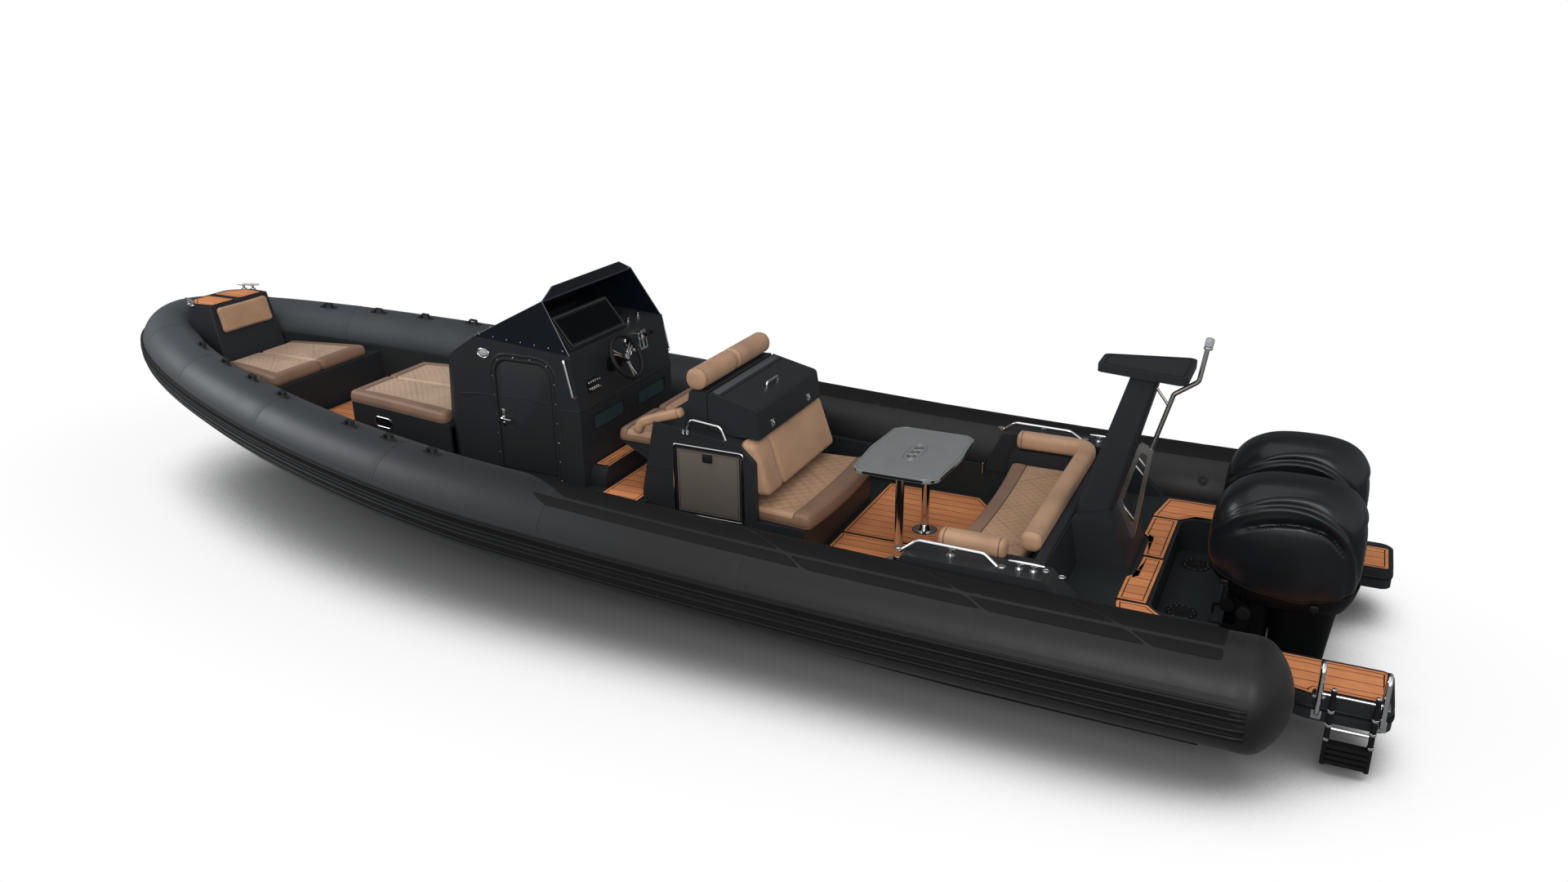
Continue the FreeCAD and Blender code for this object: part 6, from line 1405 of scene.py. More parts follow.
@dataclass(frozen=True)
class Pad:
    """One upholstered cushion: a crowned form with rolled edges, seams and quilting.

    The corners go round from the low left one. Bows and borders are given for the low, right, high and left
    sides.
    """

    frame: PadFrame
    corners: Tuple[Flat, Flat, Flat, Flat]
    thick: float
    thick_high: float = 0.0
    roll: float = 0.030
    corner: float = 0.045
    crown: float = 0.010
    bows: Tuple[float, float, float, float] = (-0.004, -0.004, -0.004, -0.004)
    borders: Tuple[float, float, float, float] = (0.0, 0.0, 0.0, 0.0)
    quilt: float = 0.0
    sink: float = 0.0045
    step: float = 0.009

    SEAM_HALF = 0.0038
    SEAM_SINK = 0.0065
    BORDER_RISE = 0.0045
    FACE_SINK = 0.003
    FACE_RUN = 0.02
    QUILT_GAP = 0.004
    QUILT_FADE = 0.012
    QUILT_POWER = 0.42
    # Share down the side, bulge and groove factor: the seam lies low down, and its groove factor also paints
    # shade into it.
    SIDE = ((0.10, 0.0022, 0.0), (0.24, 0.0036, 0.0), (0.50, 0.0045, 0.0), (0.72, 0.0036, 0.0),
            (0.80, -0.0010, 0.8), (0.86, 0.0022, 0.0), (0.96, 0.0, 0.0), (1.0, -0.006, 0.0))

    def marks(self, length: float, first: float, last: float) -> List[float]:
        """Distances along one direction, close together at the edges and at the seams."""
        fine = [self.roll * share for share in (0.0, 0.06, 0.18, 0.36, 0.6, 0.85, 1.1)]
        made = fine + [length - value for value in fine]
        for seam, used in ((first, first > 0.0), (length - last, last > 0.0)):
            if used:
                made += [seam + shift for shift in (-0.010, -0.006, -0.003, 0.0, 0.003, 0.006, 0.010)]
        low, high = self.roll * 1.1, length - self.roll * 1.1
        count = max(int((high - low) / self.step), 1)
        made += [low + (high - low) * i / count for i in range(1, count)]
        kept = [0.0]
        for value in sorted(made):
            if value - kept[-1] > 0.0014 and value < length - 0.0014:
                kept.append(value)
        kept.append(length)
        return kept

    def plan(self, u: float, v: float) -> Flat:
        """Plan point of a share across and along the pad, with its sides bowed."""
        (ax, ay), (bx, by), (cx, cy), (dx, dy) = self.corners
        x = (ax * (1 - u) + bx * u) * (1 - v) + (dx * (1 - u) + cx * u) * v
        y = (ay * (1 - u) + by * u) * (1 - v) + (dy * (1 - u) + cy * u) * v
        swell_u = 1.0 - (2.0 * u - 1.0) ** 2
        swell_v = 1.0 - (2.0 * v - 1.0) ** 2
        x += self.bows[1] * swell_v * u - self.bows[3] * swell_v * (1.0 - u)
        y += self.bows[2] * swell_u * v - self.bows[0] * swell_u * (1.0 - v)
        return x, y

    def rounded(self, a: float, b: float, width: float, depth: float) -> Tuple[float, float, float]:
        """Moves a point of the square pad into its rounded corners.

        Args:
            a: Distance from the left side.
            b: Distance from the low side.
            width: Distance between the left and right sides.
            depth: Distance between the low and high sides.

        Returns:
            The new distances and the distance from the outline.
        """
        near_a, near_b = min(a, width - a), min(b, depth - b)
        rim = self.corner
        if near_a < rim and near_b < rim:
            p, q = 1.0 - near_a / rim, 1.0 - near_b / rim
            new_a = rim * (1.0 - p * math.sqrt(1.0 - q * q / 2.0))
            new_b = rim * (1.0 - q * math.sqrt(1.0 - p * p / 2.0))
            inside = rim * (1.0 - math.sqrt(max(p * p + q * q - p * p * q * q, 0.0)))
            a = new_a if a < width / 2.0 else width - new_a
            b = new_b if b < depth / 2.0 else depth - new_b
            return a, b, inside
        return a, b, min(near_a, near_b)

    def seam_distance(self, a: float, b: float, width: float, depth: float) -> float:
        """Distance inside the seam of the border: below 0 on the border, above 0 on the face."""
        sides = zip(self.borders, (b, width - a, depth - b, a))
        gaps = [near - border for border, near in sides if border > 0.0]
        return min(gaps) if gaps else 1.0

    def height(self, a: float, b: float, inside: float, width: float, depth: float) -> Flat:
        """Height of the face and how deep in a seam it is.

        Args:
            a: Distance from the left side.
            b: Distance from the low side.
            inside: Distance from the outline.
            width: Width of the pad.
            depth: Depth of the pad.

        Returns:
            The height above the pad's foot and a groove factor from 0 to 1, which also sets the leather's
            painted shade.
        """
        share = b / depth
        z = self.thick + ((self.thick_high or self.thick) - self.thick) * share
        swell = (1.0 - (2.0 * a / width - 1.0) ** 2) * (1.0 - (2.0 * share - 1.0) ** 2)
        z += self.crown * (max(swell, 0.0) ** 0.6 - 1.0)
        groove = 0.0
        seam = self.seam_distance(a, b, width, depth)
        if any(self.borders):
            # The groove factor sinks the seam and also marks it for a painted shade.
            groove = math.exp(-(seam / self.SEAM_HALF) ** 2)
            z -= self.SEAM_SINK * groove
            if seam < 0.0:
                z += self.BORDER_RISE * math.sin(math.pi * min(-seam / max(self.borders), 1.0))
            else:
                z -= self.FACE_SINK * min(seam / self.FACE_RUN, 1.0)
        clear = min(seam - self.QUILT_GAP, inside - self.roll * 0.8)
        if self.quilt > 0.0 and clear > 0.0:
            wave = abs(math.sin(math.pi * (a + b) / self.quilt) * math.sin(math.pi * (a - b) / self.quilt))
            puff = wave ** self.QUILT_POWER
            fade = min(clear / self.QUILT_FADE, 1.0)
            z += self.sink * (puff - 1.0) * fade
            # Quilting hollows get a painted shade through the groove factor.
            groove = max(groove, 0.75 * fade * max(1.0 - puff * 2.4, 0.0))
        if inside < self.roll:
            z -= self.roll - math.sqrt(max(self.roll ** 2 - (self.roll - inside) ** 2, 0.0))
        return z, groove

    def add(self, shape: bmesh.types.BMesh) -> None:
        """Adds the pad to a working mesh."""
        (ax, ay), (bx, by), (cx, cy), (dx, dy) = self.corners
        width = (math.hypot(bx - ax, by - ay) + math.hypot(cx - dx, cy - dy)) / 2.0
        depth = (math.hypot(dx - ax, dy - ay) + math.hypot(cx - bx, cy - by)) / 2.0
        columns = self.marks(width, self.borders[3], self.borders[1])
        rows = self.marks(depth, self.borders[0], self.borders[2])
        layer = shape.verts.layers.float.get("groove")
        grid: List[List[bmesh.types.BMVert]] = []
        seams: List[List[float]] = []
        for b in rows:
            line, marks = [], []
            for a in columns:
                new_a, new_b, inside = self.rounded(a, b, width, depth)
                x, y = self.plan(new_a / width, new_b / depth)
                z, groove = self.height(new_a, new_b, inside, width, depth)
                vert = shape.verts.new(self.frame.to_boat(x, y, z))
                vert[layer] = groove
                line.append(vert)
                marks.append(self.seam_distance(new_a, new_b, width, depth))
            grid.append(line)
            seams.append(marks)
        for j in range(len(rows) - 1):
            for i in range(len(columns) - 1):
                face = shape.faces.new((grid[j][i], grid[j][i + 1], grid[j + 1][i + 1], grid[j + 1][i]))
                middle = (seams[j][i] + seams[j][i + 1] + seams[j + 1][i + 1] + seams[j + 1][i]) / 4.0
                face.material_index = 1 if middle > 0.0 else 0
        self.walls(shape, layer, grid)

    def walls(self, shape: bmesh.types.BMesh, layer: bmesh.types.BMLayerItem,
              grid: List[List[bmesh.types.BMVert]]) -> None:
        """Closes the pad with its sides, with a seam low down, and its foot."""
        rim = (grid[0][:] + [row[-1] for row in grid[1:]] + grid[-1][-2::-1]
               + [row[0] for row in grid[-2:0:-1]])
        out, origin = Vector(self.frame.out), Vector(self.frame.origin)
        count = len(rim)
        centre = sum((v.co for v in rim), Vector()) / count
        normals = []
        for i, vert in enumerate(rim):
            normal = (rim[(i + 1) % count].co - rim[i - 1].co).cross(out).normalized()
            if normal.dot(vert.co - centre) < 0.0:
                normal.negate()
            normals.append(normal)
        rings = [rim]
        index = 0 if any(self.borders) else 1
        for share, bulge, groove in self.SIDE:
            ring = []
            for vert, normal in zip(rim, normals):
                drop = (vert.co - origin).dot(out) * share
                made = shape.verts.new(vert.co - out * drop + normal * bulge)
                made[layer] = groove
                ring.append(made)
            rings.append(ring)
        ring_faces(shape, rings, True, index)
        shape.faces.new(rings[-1]).material_index = index


@dataclass(frozen=True)
class Bolster:
    """A padded roll along a path, with domed ends and a seam ring near each."""

    path: Tuple[Point, ...]
    half: Flat
    power: float = 2.4
    bend: float = 0.12
    dome: float = 0.034
    count: int = 36

    SEAM_HALF = 0.0028
    SEAM_PLACE = 1.24
    SEAM_SINK = 0.055
    DOME_POWER = 2.4
    STEP = 0.018

    def stations(self) -> Tuple[List[Vector], List[float], float]:
        """The path's points with short steps at its ends and at the seam near each.

        Returns:
            The points, their distances along the path and its whole length.
        """
        bent = bend_path([Vector(p) for p in self.path], self.bend, 12)
        lengths = [0.0]
        for a, b in zip(bent, bent[1:]):
            lengths.append(lengths[-1] + (b - a).length)
        total = lengths[-1]
        ends = [self.dome * share
                for share in (0.0, 0.03, 0.1, 0.22, 0.4, 0.62, 0.85, 1.0, 1.16, self.SEAM_PLACE, 1.32, 1.5)]
        steps = ends + [total - value for value in ends]
        low, high = self.dome * 1.6, total - self.dome * 1.6
        count = max(int((high - low) / self.STEP), 2)
        steps += [low + (high - low) * i / count for i in range(count + 1)]
        points: List[Vector] = []
        kept: List[float] = []
        for step in sorted(steps):
            if kept and step - kept[-1] < 0.0007:
                continue
            k = max(i for i, value in enumerate(lengths[:-1]) if value <= step + 1e-9)
            share = (step - lengths[k]) / max(lengths[k + 1] - lengths[k], 1e-9)
            points.append(bent[k].lerp(bent[k + 1], min(share, 1.0)))
            kept.append(step)
        return points, kept, total

    def add(self, shape: bmesh.types.BMesh) -> None:
        """Adds the roll to a working mesh."""
        layer = shape.verts.layers.float.get("groove")
        points, steps, total = self.stations()
        rings = []
        for (place, side, rise), step in zip(frames_along(points), steps):
            near = min(step, total - step)
            share = min(near / self.dome, 1.0)
            scale = max((1.0 - (1.0 - share) ** self.DOME_POWER) ** (1.0 / self.DOME_POWER), 0.02)
            # The seam ring sinks, and its groove factor paints shade into it.
            groove = math.exp(-((near - self.dome * self.SEAM_PLACE) / self.SEAM_HALF) ** 2)
            scale -= groove * self.SEAM_SINK
            ring = []
            for i in range(self.count):
                c, s = squared(2.0 * math.pi * i / self.count, self.power)
                vert = shape.verts.new(place + side * (c * self.half[0] * scale)
                                       + rise * (s * self.half[1] * scale))
                vert[layer] = groove
                ring.append(vert)
            rings.append(ring)
        ring_faces(shape, rings)
        for ring in (rings[0], rings[-1]):
            shape.faces.new(ring)


class Upholstery:
    """All the cushions, back pads, rolls and armrests."""

    BOW_X = (3.002, 3.743)
    BOW_HALF = (0.538, 0.384)
    BOW_Z = 0.9155
    FRONT_X = (1.178, 2.278)
    FRONT_HALF = (0.590, 0.446)
    FRONT_Z = 0.8725
    THICK = 0.094
    DEEP = 0.104

    def sew(self, name: str, node: str, forms: Sequence, finishes: Sequence[Finish]) -> bpy.types.Object:
        """Joins the pads or rolls of one node in one padded piece."""
        shape = bmesh.new()
        shape.verts.layers.float.new("groove")
        for form in forms:
            form.add(shape)
        bmesh.ops.recalc_face_normals(shape, faces=shape.faces)
        piece = settle(name, shape, list(finishes), 60.0)
        declare(piece, ROOT_BODY, Slot.LEATHER, node)
        return piece

    def seat_pair(self, name: str, node: str, span: Flat, halves: Flat, foot: float,
                  edges: Tuple[float, float, float]) -> None:
        """Two quilted cushions either side of the centre line, with a darker border.

        Args:
            name: Name of the piece.
            node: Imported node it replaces.
            span: Aft and forward ends.
            halves: Half widths at those ends.
            foot: Height of the cushions' foot.
            edges: Border widths outboard, forward and aft.
        """
        (x0, x1), (aft, fore) = span, halves
        outer, ahead, behind = edges
        frame = PadFrame((0.0, 0.0, foot))
        port = Pad(frame, ((x0, 0.002), (x1, 0.002), (x1, fore), (x0, aft)), self.THICK,
                   borders=(0.0, ahead, outer, behind), quilt=0.062, bows=(0.0, -0.004, -0.004, -0.004))
        stbd = Pad(frame, ((x0, -aft), (x1, -fore), (x1, -0.002), (x0, -0.002)), self.THICK,
                   borders=(outer, ahead, 0.0, behind), quilt=0.062, bows=(-0.004, -0.004, 0.0, -0.004))
        self.sew(name, node, (port, stbd), (TAN_DARK, BEIGE))

    def bow_back(self) -> None:
        """Plain back pad on the bow moulding."""
        lean = Vector((0.123, 0.0, 0.545)).normalized()
        out = Vector((-lean.z, 0.0, lean.x))
        foot = Vector((3.8317, 0.0, 1.224)) + out * 0.0004
        pad = Pad(PadFrame(tuple(foot), (0, 1, 0), tuple(lean), tuple(out)),
                  rectangle((-0.262, 0.0), (0.262, 0.2163)), 0.045, roll=0.018, corner=0.03, crown=0.006)
        self.sew("bow_back_pad", "bow_pad", (pad,), (TAN, TAN))

    def helm_seat(self) -> None:
        """Two seat cushions at the helm."""
        pads = [Pad(PadFrame((0.0, 0.0, 0.9604)), rectangle((-0.664, y0), (-0.352, y1)), self.THICK,
                    borders=(0.0, 0.07, 0.0, 0.0), quilt=0.055)
                for y0, y1 in ((-0.520, -0.012), (0.012, 0.520))]
        self.sew("helm_seat_pads", "helm_seats", pads, (TAN_DARK, TAN))

    def bench(self) -> None:
        """Bench that faces aft: quilted cushion with a brown roll, and two back pads, thick at the foot."""
        seat = Pad(PadFrame((0.0, 0.0, 0.5606)),
                   ((-1.888, -0.605), (-1.382, -0.560), (-1.382, 0.560), (-1.888, 0.605)), self.DEEP,
                   borders=(0.0, 0.0, 0.0, 0.125), quilt=0.095, sink=0.006, bows=(-0.004, 0.0, -0.004, 0.038))
        self.sew("bench_seat_pad", "bench_cushion", (seat,), (TAN_DARK, TAN))
        frame = PadFrame((-1.3727, 0.0, 0.7355), (0, -1, 0), (0, 0, 1), (-1, 0, 0))
        backs = [Pad(frame, rectangle((-y1, 0.0), (-y0, 0.376)), 0.228, 0.100, roll=0.042, corner=0.05,
                     crown=0.014)
                 for y0, y1 in ((-0.578, 0.329), (0.331, 0.578))]
        self.sew("bench_back_pads", "bench_backrests", backs, (TAN, TAN))

    def stern_seat(self) -> None:
        """Stern seat: quilted cushion with a curved brown front roll, and rolls on the arms and back."""
        seat = Pad(PadFrame((0.0, 0.0, 0.6004)), rectangle((-3.361, -0.847), (-2.888, 0.847)), self.DEEP,
                   borders=(0.0, 0.115, 0.0, 0.0), quilt=0.075, sink=0.005,
                   bows=(-0.003, -0.044, -0.003, 0.0))
        self.sew("stern_seat_pad", "stern_cushion", (seat,), (TAN_DARK, TAN))
        rolls = (Bolster(((-3.328, 0.920, 0.852), (-2.902, 0.920, 0.852)), (0.065, 0.064), 2.7),
                 Bolster(((-3.430, 0.790, 0.852), (-3.430, -0.920, 0.852), (-2.902, -0.920, 0.852)),
                         (0.064, 0.064), 2.7, 0.125))
        self.sew("stern_rolls", "stern_backrest", rolls, (TAN,))

    def helm_rolls(self) -> None:
        """Two back rolls over the helm seat, and the padded armrests."""
        rolls = [Bolster(((-1.000, y0, 1.492), (-1.000, y1, 1.492)), (0.077, 0.077), 2.2)
                 for y0, y1 in ((-0.525, -0.001), (0.001, 0.525))]
        self.sew("helm_back_rolls", "helm_backrests", rolls, (TAN,))
        line = ((-0.928, 1.270), (-0.700, 1.193), (-0.592, 1.148), (-0.560, 1.066))
        arms = [Bolster(tuple((x, y, z) for x, z in line), (0.038, 0.033), 3.0, 0.11, 0.022)
                for y in (-0.581, 0.581)]
        self.sew("helm_arm_pads", "armrests", arms, (TAN,))

    def build(self) -> None:
        """Makes all the upholstery."""
        self.seat_pair("bow_seat_pads", "bow_cushions", self.BOW_X, self.BOW_HALF, self.BOW_Z,
                       (0.085, 0.0, 0.085))
        self.seat_pair("front_seat_pads", "front_cushions", self.FRONT_X, self.FRONT_HALF, self.FRONT_Z,
                       (0.095, 0.095, 0.0))
        self.bow_back()
        self.helm_seat()
        self.helm_rolls()
        self.bench()
        self.stern_seat()


# Console and helm


@dataclass(frozen=True)
class CabinDoor:
    """Cabin door in the console's port side: leaf, lever and the double bead round its opening."""

    side: float = 0.640
    x: Flat = (0.120, 0.600)
    z: Flat = (0.640, 1.480)
    corner: float = 0.110
    thick: float = 0.022
    lever_in: float = 0.038
    lever_z: float = 1.040

    CREASE = ((0.145, 1.196), (0.360, 1.214), (0.578, 1.196))
    SPINDLE = ((0.013, 0.005), (0.011, 0.012), (0.008, 0.018), (0.008, 0.032))
    LEVER_ARM = ((0.004, 0.028, 0.0), (-0.018, 0.033, -0.001), (-0.055, 0.033, -0.004),
                 (-0.082, 0.029, -0.006))
    LOCK = ((0.010, 0.004), (0.010, 0.009), (0.006, 0.011))
    # Distance out from the opening, then the half sizes.
    BEADS = ((0.019, (0.0065, 0.0100)), (0.052, (0.0060, 0.0110)))
    SCREW_LINE = 0.032

    def outline(self, grow: float, y: float) -> List[Vector]:
        """Door outline grown by an amount: square foot, rounded head."""
        x0, x1, z0, z1 = self.x[0] - grow, self.x[1] + grow, self.z[0] - grow, self.z[1] + grow
        reach = self.corner + grow
        path = [Vector((x0, y, z0)), Vector((x1, y, z0))]
        for centre, start in ((x1 - reach, 0.0), (x0 + reach, 90.0)):
            for k in range(11):
                angle = math.radians(start + 9.0 * k)
                path.append(Vector((centre + reach * math.cos(angle), y,
                                    z1 - reach + reach * math.sin(angle))))
        return path

    def arch(self, grow: float, y: float) -> List[Vector]:
        """Path up one side of the opening, over its head and down the other side."""
        ring = self.outline(grow, y)
        return ring[1:] + ring[:1]

    def leaf(self) -> None:
        """The leaf, with a soft edge and a pressed crease."""
        shape = bmesh.new()
        slab(shape, self.outline(0.0, self.side - self.thick), ASIDE * self.thick, 0.005)
        bar(shape, [Vector((x, self.side, z)) for x, z in self.CREASE], (0.0020, 0.006), count=8)
        piece = settle("cabin_door_leaf", shape, [GELCOAT], 35.0)
        declare(piece, "cabin_door", Slot.GELCOAT, "console_door")

    def lever(self) -> None:
        """Chrome lever on its long plate, and the rim of its recess."""
        shape = bmesh.new()
        centre = Vector((self.x[1] - self.lever_in, self.side, self.lever_z))
        slab(shape, rounded_box(centre, AHEAD, UP, (0.017, 0.068), 0.015), ASIDE * 0.006, 0.002)
        lathe(shape, self.SPINDLE, centre, ASIDE, 20)
        arm = [centre + Vector(offset) for offset in self.LEVER_ARM]
        bar(shape, bend_path(arm, 0.014), (0.0065, 0.0075), power=2.4, hint=UP)
        lathe(shape, self.LOCK, centre - UP * 0.042, ASIDE, 16)
        declare(settle("cabin_door_lever", shape, [STAINLESS]), "cabin_door", Slot.STAINLESS)
        shape = bmesh.new()
        rim = rounded_box(centre + Vector((-0.040, 0.0006, 0.0)), AHEAD, UP, (0.068, 0.080), 0.02)
        bead(shape, rim, (0.0016, 0.0030))
        declare(settle("cabin_door_lever_recess", shape, [GELCOAT]), "cabin_door", Slot.GELCOAT)

    def frame(self) -> None:
        """Two raised beads and the groove between them, round the opening."""
        shape = bmesh.new()
        for grow, half in self.BEADS:
            bar(shape, self.arch(grow, self.side), half, count=10, hint=AHEAD)
        declare(settle("cabin_door_beads", shape, [GELCOAT]), ROOT_BODY, Slot.GELCOAT)

    def build(self) -> None:
        """Makes the door."""
        self.leaf()
        self.lever()
        self.frame()
        screws = ScrewRun("cabin_door_screws", 0.009, 0.140, STAINLESS)
        line = self.arch(self.SCREW_LINE, self.side + 0.0004)
        screws.build([(line, ASIDE)], ROOT_BODY, Slot.STAINLESS, SCREW_TURN)


@dataclass(frozen=True)
class DashFace:
    """The sloping instrument face: where things sit on it."""

    foot: Flat = (-0.120, 1.180)
    head: Flat = (-0.061, 1.577)

    def up(self) -> Vector:
        """Direction up the face."""
        return Vector((self.head[0] - self.foot[0], 0.0, self.head[1] - self.foot[1])).normalized()

    def out(self) -> Vector:
        """Direction out of the face, aft."""
        up = self.up()
        return Vector((-up.z, 0.0, up.x))

    def at(self, y: float, z: float, lift: float = 0.0005) -> Vector:
        """Point of the face at a height."""
        share = (z - self.foot[1]) / (self.head[1] - self.foot[1])
        x = self.foot[0] + share * (self.head[0] - self.foot[0])
        return Vector((x, y, z)) + self.out() * lift


DASH = DashFace()
CONSOLE_SIDE = 0.6402


class Dash:
    """Display, switches, gauges and engine levers on the console's dash."""

    DISPLAY_Y = (-0.160, 0.540)
    DISPLAY_FOOT = Vector((-0.020, 0.0, 1.600))
    DISPLAY_HEAD = Vector((0.150, 0.0, 1.806))
    # Places on the dash are given across and up.
    SWITCHES = (0.428, 1.318)
    SWITCH_NUT = ((0.0085, 0.0), (0.0085, 0.003), (0.0060, 0.005), (0.0045, 0.005))
    DIALS = ((-0.085, 1.500, 0.034), (-0.085, 1.420, 0.028))
    BEZEL = ((1.0, 0.0), (1.0, 0.010), (0.92, 0.014), (0.84, 0.010), (0.82, 0.006))
    KNOB_PLACE = (-0.150, 1.418)
    KNOB = ((0.020, 0.0), (0.020, 0.012), (0.017, 0.024), (0.010, 0.026))
    LEVERS = (-0.255, 1.470)
    LEVER_GAP = 0.026
    GRIP = ((0.004, -0.024), (0.014, -0.022), (0.0155, -0.012), (0.0150, 0.0), (0.0155, 0.012), (0.014, 0.022),
            (0.004, 0.024))
    HORNS = ((0.060, -0.330, 1.5855), (0.075, -0.500, 1.5865))
    HORN = ((0.020, -0.004), (0.020, 0.002), (0.009, 0.005), (0.009, 0.016), (0.016, 0.020), (0.016, 0.026),
            (0.009, 0.030))

    def display(self) -> None:
        """Large glossy display with a raised bezel."""
        rise = self.DISPLAY_HEAD - self.DISPLAY_FOOT
        out = Vector((-rise.z, 0.0, rise.x)).normalized()
        centre = (self.DISPLAY_FOOT + self.DISPLAY_HEAD) / 2.0 + ASIDE * (sum(self.DISPLAY_Y) / 2.0)
        up = rise.normalized()
        half_y, half_up = (self.DISPLAY_Y[1] - self.DISPLAY_Y[0]) / 2.0 - 0.004, rise.length / 2.0 - 0.008
        shape = bmesh.new()
        case = rounded_box(centre + out * 0.0004, ASIDE, up, (half_y, half_up), 0.014)
        slab(shape, case, out * 0.012, 0.003)
        rim = rounded_box(centre + out * 0.0118, ASIDE, up, (half_y - 0.004, half_up - 0.004), 0.012)
        bead(shape, rim, (0.0022, 0.0016), out, 1)
        glass = rounded_box(centre + out * 0.0122, ASIDE, up, (half_y - 0.024, half_up - 0.024), 0.006)
        slab(shape, glass, out * 0.0010, 0.0, 2)
        self.switches(shape)
        piece = settle("dash_instruments", shape, [BLACK_SMOOTH, BEVEL_GELCOAT, DISPLAY, STAINLESS])
        declare(piece, ROOT_BODY, Slot.DISPLAY, "dash_panels")

    def switches(self, shape: bmesh.types.BMesh) -> None:
        """Bank of ten toggle switches on a black plate."""
        up, out = DASH.up(), DASH.out()
        centre = DASH.at(*self.SWITCHES)
        slab(shape, rounded_box(centre, ASIDE, up, (0.075, 0.048), 0.008), out * 0.006, 0.002)
        for row in (-1.0, 1.0):
            for column in range(5):
                seat = centre + ASIDE * (column - 2) * 0.027 + up * row * 0.023 + out * 0.006
                lathe(shape, self.SWITCH_NUT, seat, out, 14, 3)
                tip = seat + out * 0.024 + up * row * 0.006
                toggle = [seat + out * 0.004, seat.lerp(tip, 0.6), tip]
                bar(shape, toggle, (0.0040, 0.0040), count=10, material=3)

    def gauges(self) -> None:
        """Two dials in chrome bezels and a rotary control, beside the wheel."""
        up, out = DASH.up(), DASH.out()
        shape = bmesh.new()
        for y, z, size in self.DIALS:
            seat = DASH.at(y, z)
            lathe(shape, [(size * share, height) for share, height in self.BEZEL], seat, out, 28)
            lathe(shape, ((size * 0.82, 0.004), (size * 0.82, 0.007)), seat, out, 28, 1)
            root = seat + out * 0.0075
            bar(shape, [root, root + up * size * 0.62], (0.0012, 0.0010), count=6)
        lathe(shape, self.KNOB, DASH.at(*self.KNOB_PLACE), out, 24)
        declare(settle("dash_dials", shape, [STAINLESS, DISPLAY]), ROOT_BODY, Slot.STAINLESS)

    def levers(self) -> None:
        """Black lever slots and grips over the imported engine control."""
        up, out = DASH.up(), DASH.out()
        shape = bmesh.new()
        base = DASH.at(*self.LEVERS)
        seat = base + out * 0.038
        for side in (-1.0, 1.0):
            slot = rounded_box(seat + ASIDE * side * self.LEVER_GAP, ASIDE, up, (0.011, 0.058), 0.010)
            slab(shape, slot, out * 0.0016, 0.0006)
        bead(shape, rounded_box(seat, ASIDE, up, (0.056, 0.071), 0.018), (0.0018, 0.0018), out)
        for side in (-1.0, 1.0):
            root = base + out * 0.030 + ASIDE * side * self.LEVER_GAP
            tip = root + out * 0.074 + up * 0.052
            lathe(shape, self.GRIP, tip + ASIDE * side * 0.008, ASIDE, 18)
        declare(settle("dash_lever_trim", shape, [BLACK_SMOOTH]), ROOT_BODY, Slot.BLACK_PLASTIC)

    def fittings(self) -> None:
        """Two small chrome horns on top of the dash and the side lamps."""
        shape = bmesh.new()
        for place in self.HORNS:
            lathe(shape, self.HORN, Vector(place), Vector((0.05, 0.0, 1.0)), 20)
        for side in (1.0, -1.0):
            seat, out = Vector((0.693, side * CONSOLE_SIDE, 1.520)), ASIDE * side
            ring = oval_path(seat, AHEAD, UP, (0.052, 0.034), 32)
            slab(shape, ring, out * 0.005, 0.002)
            bead(shape, [p + out * 0.006 for p in ring], (0.0030, 0.0025), out)
            slab(shape, oval_path(seat, AHEAD, UP, (0.034, 0.021), 32), out * 0.013, 0.006, 1)
        declare(settle("console_lamps", shape, [STAINLESS, LENS_WHITE]), ROOT_BODY, Slot.STAINLESS)

    def build(self) -> None:
        """Makes all the dash."""
        self.display()
        self.gauges()
        self.levers()
        self.fittings()


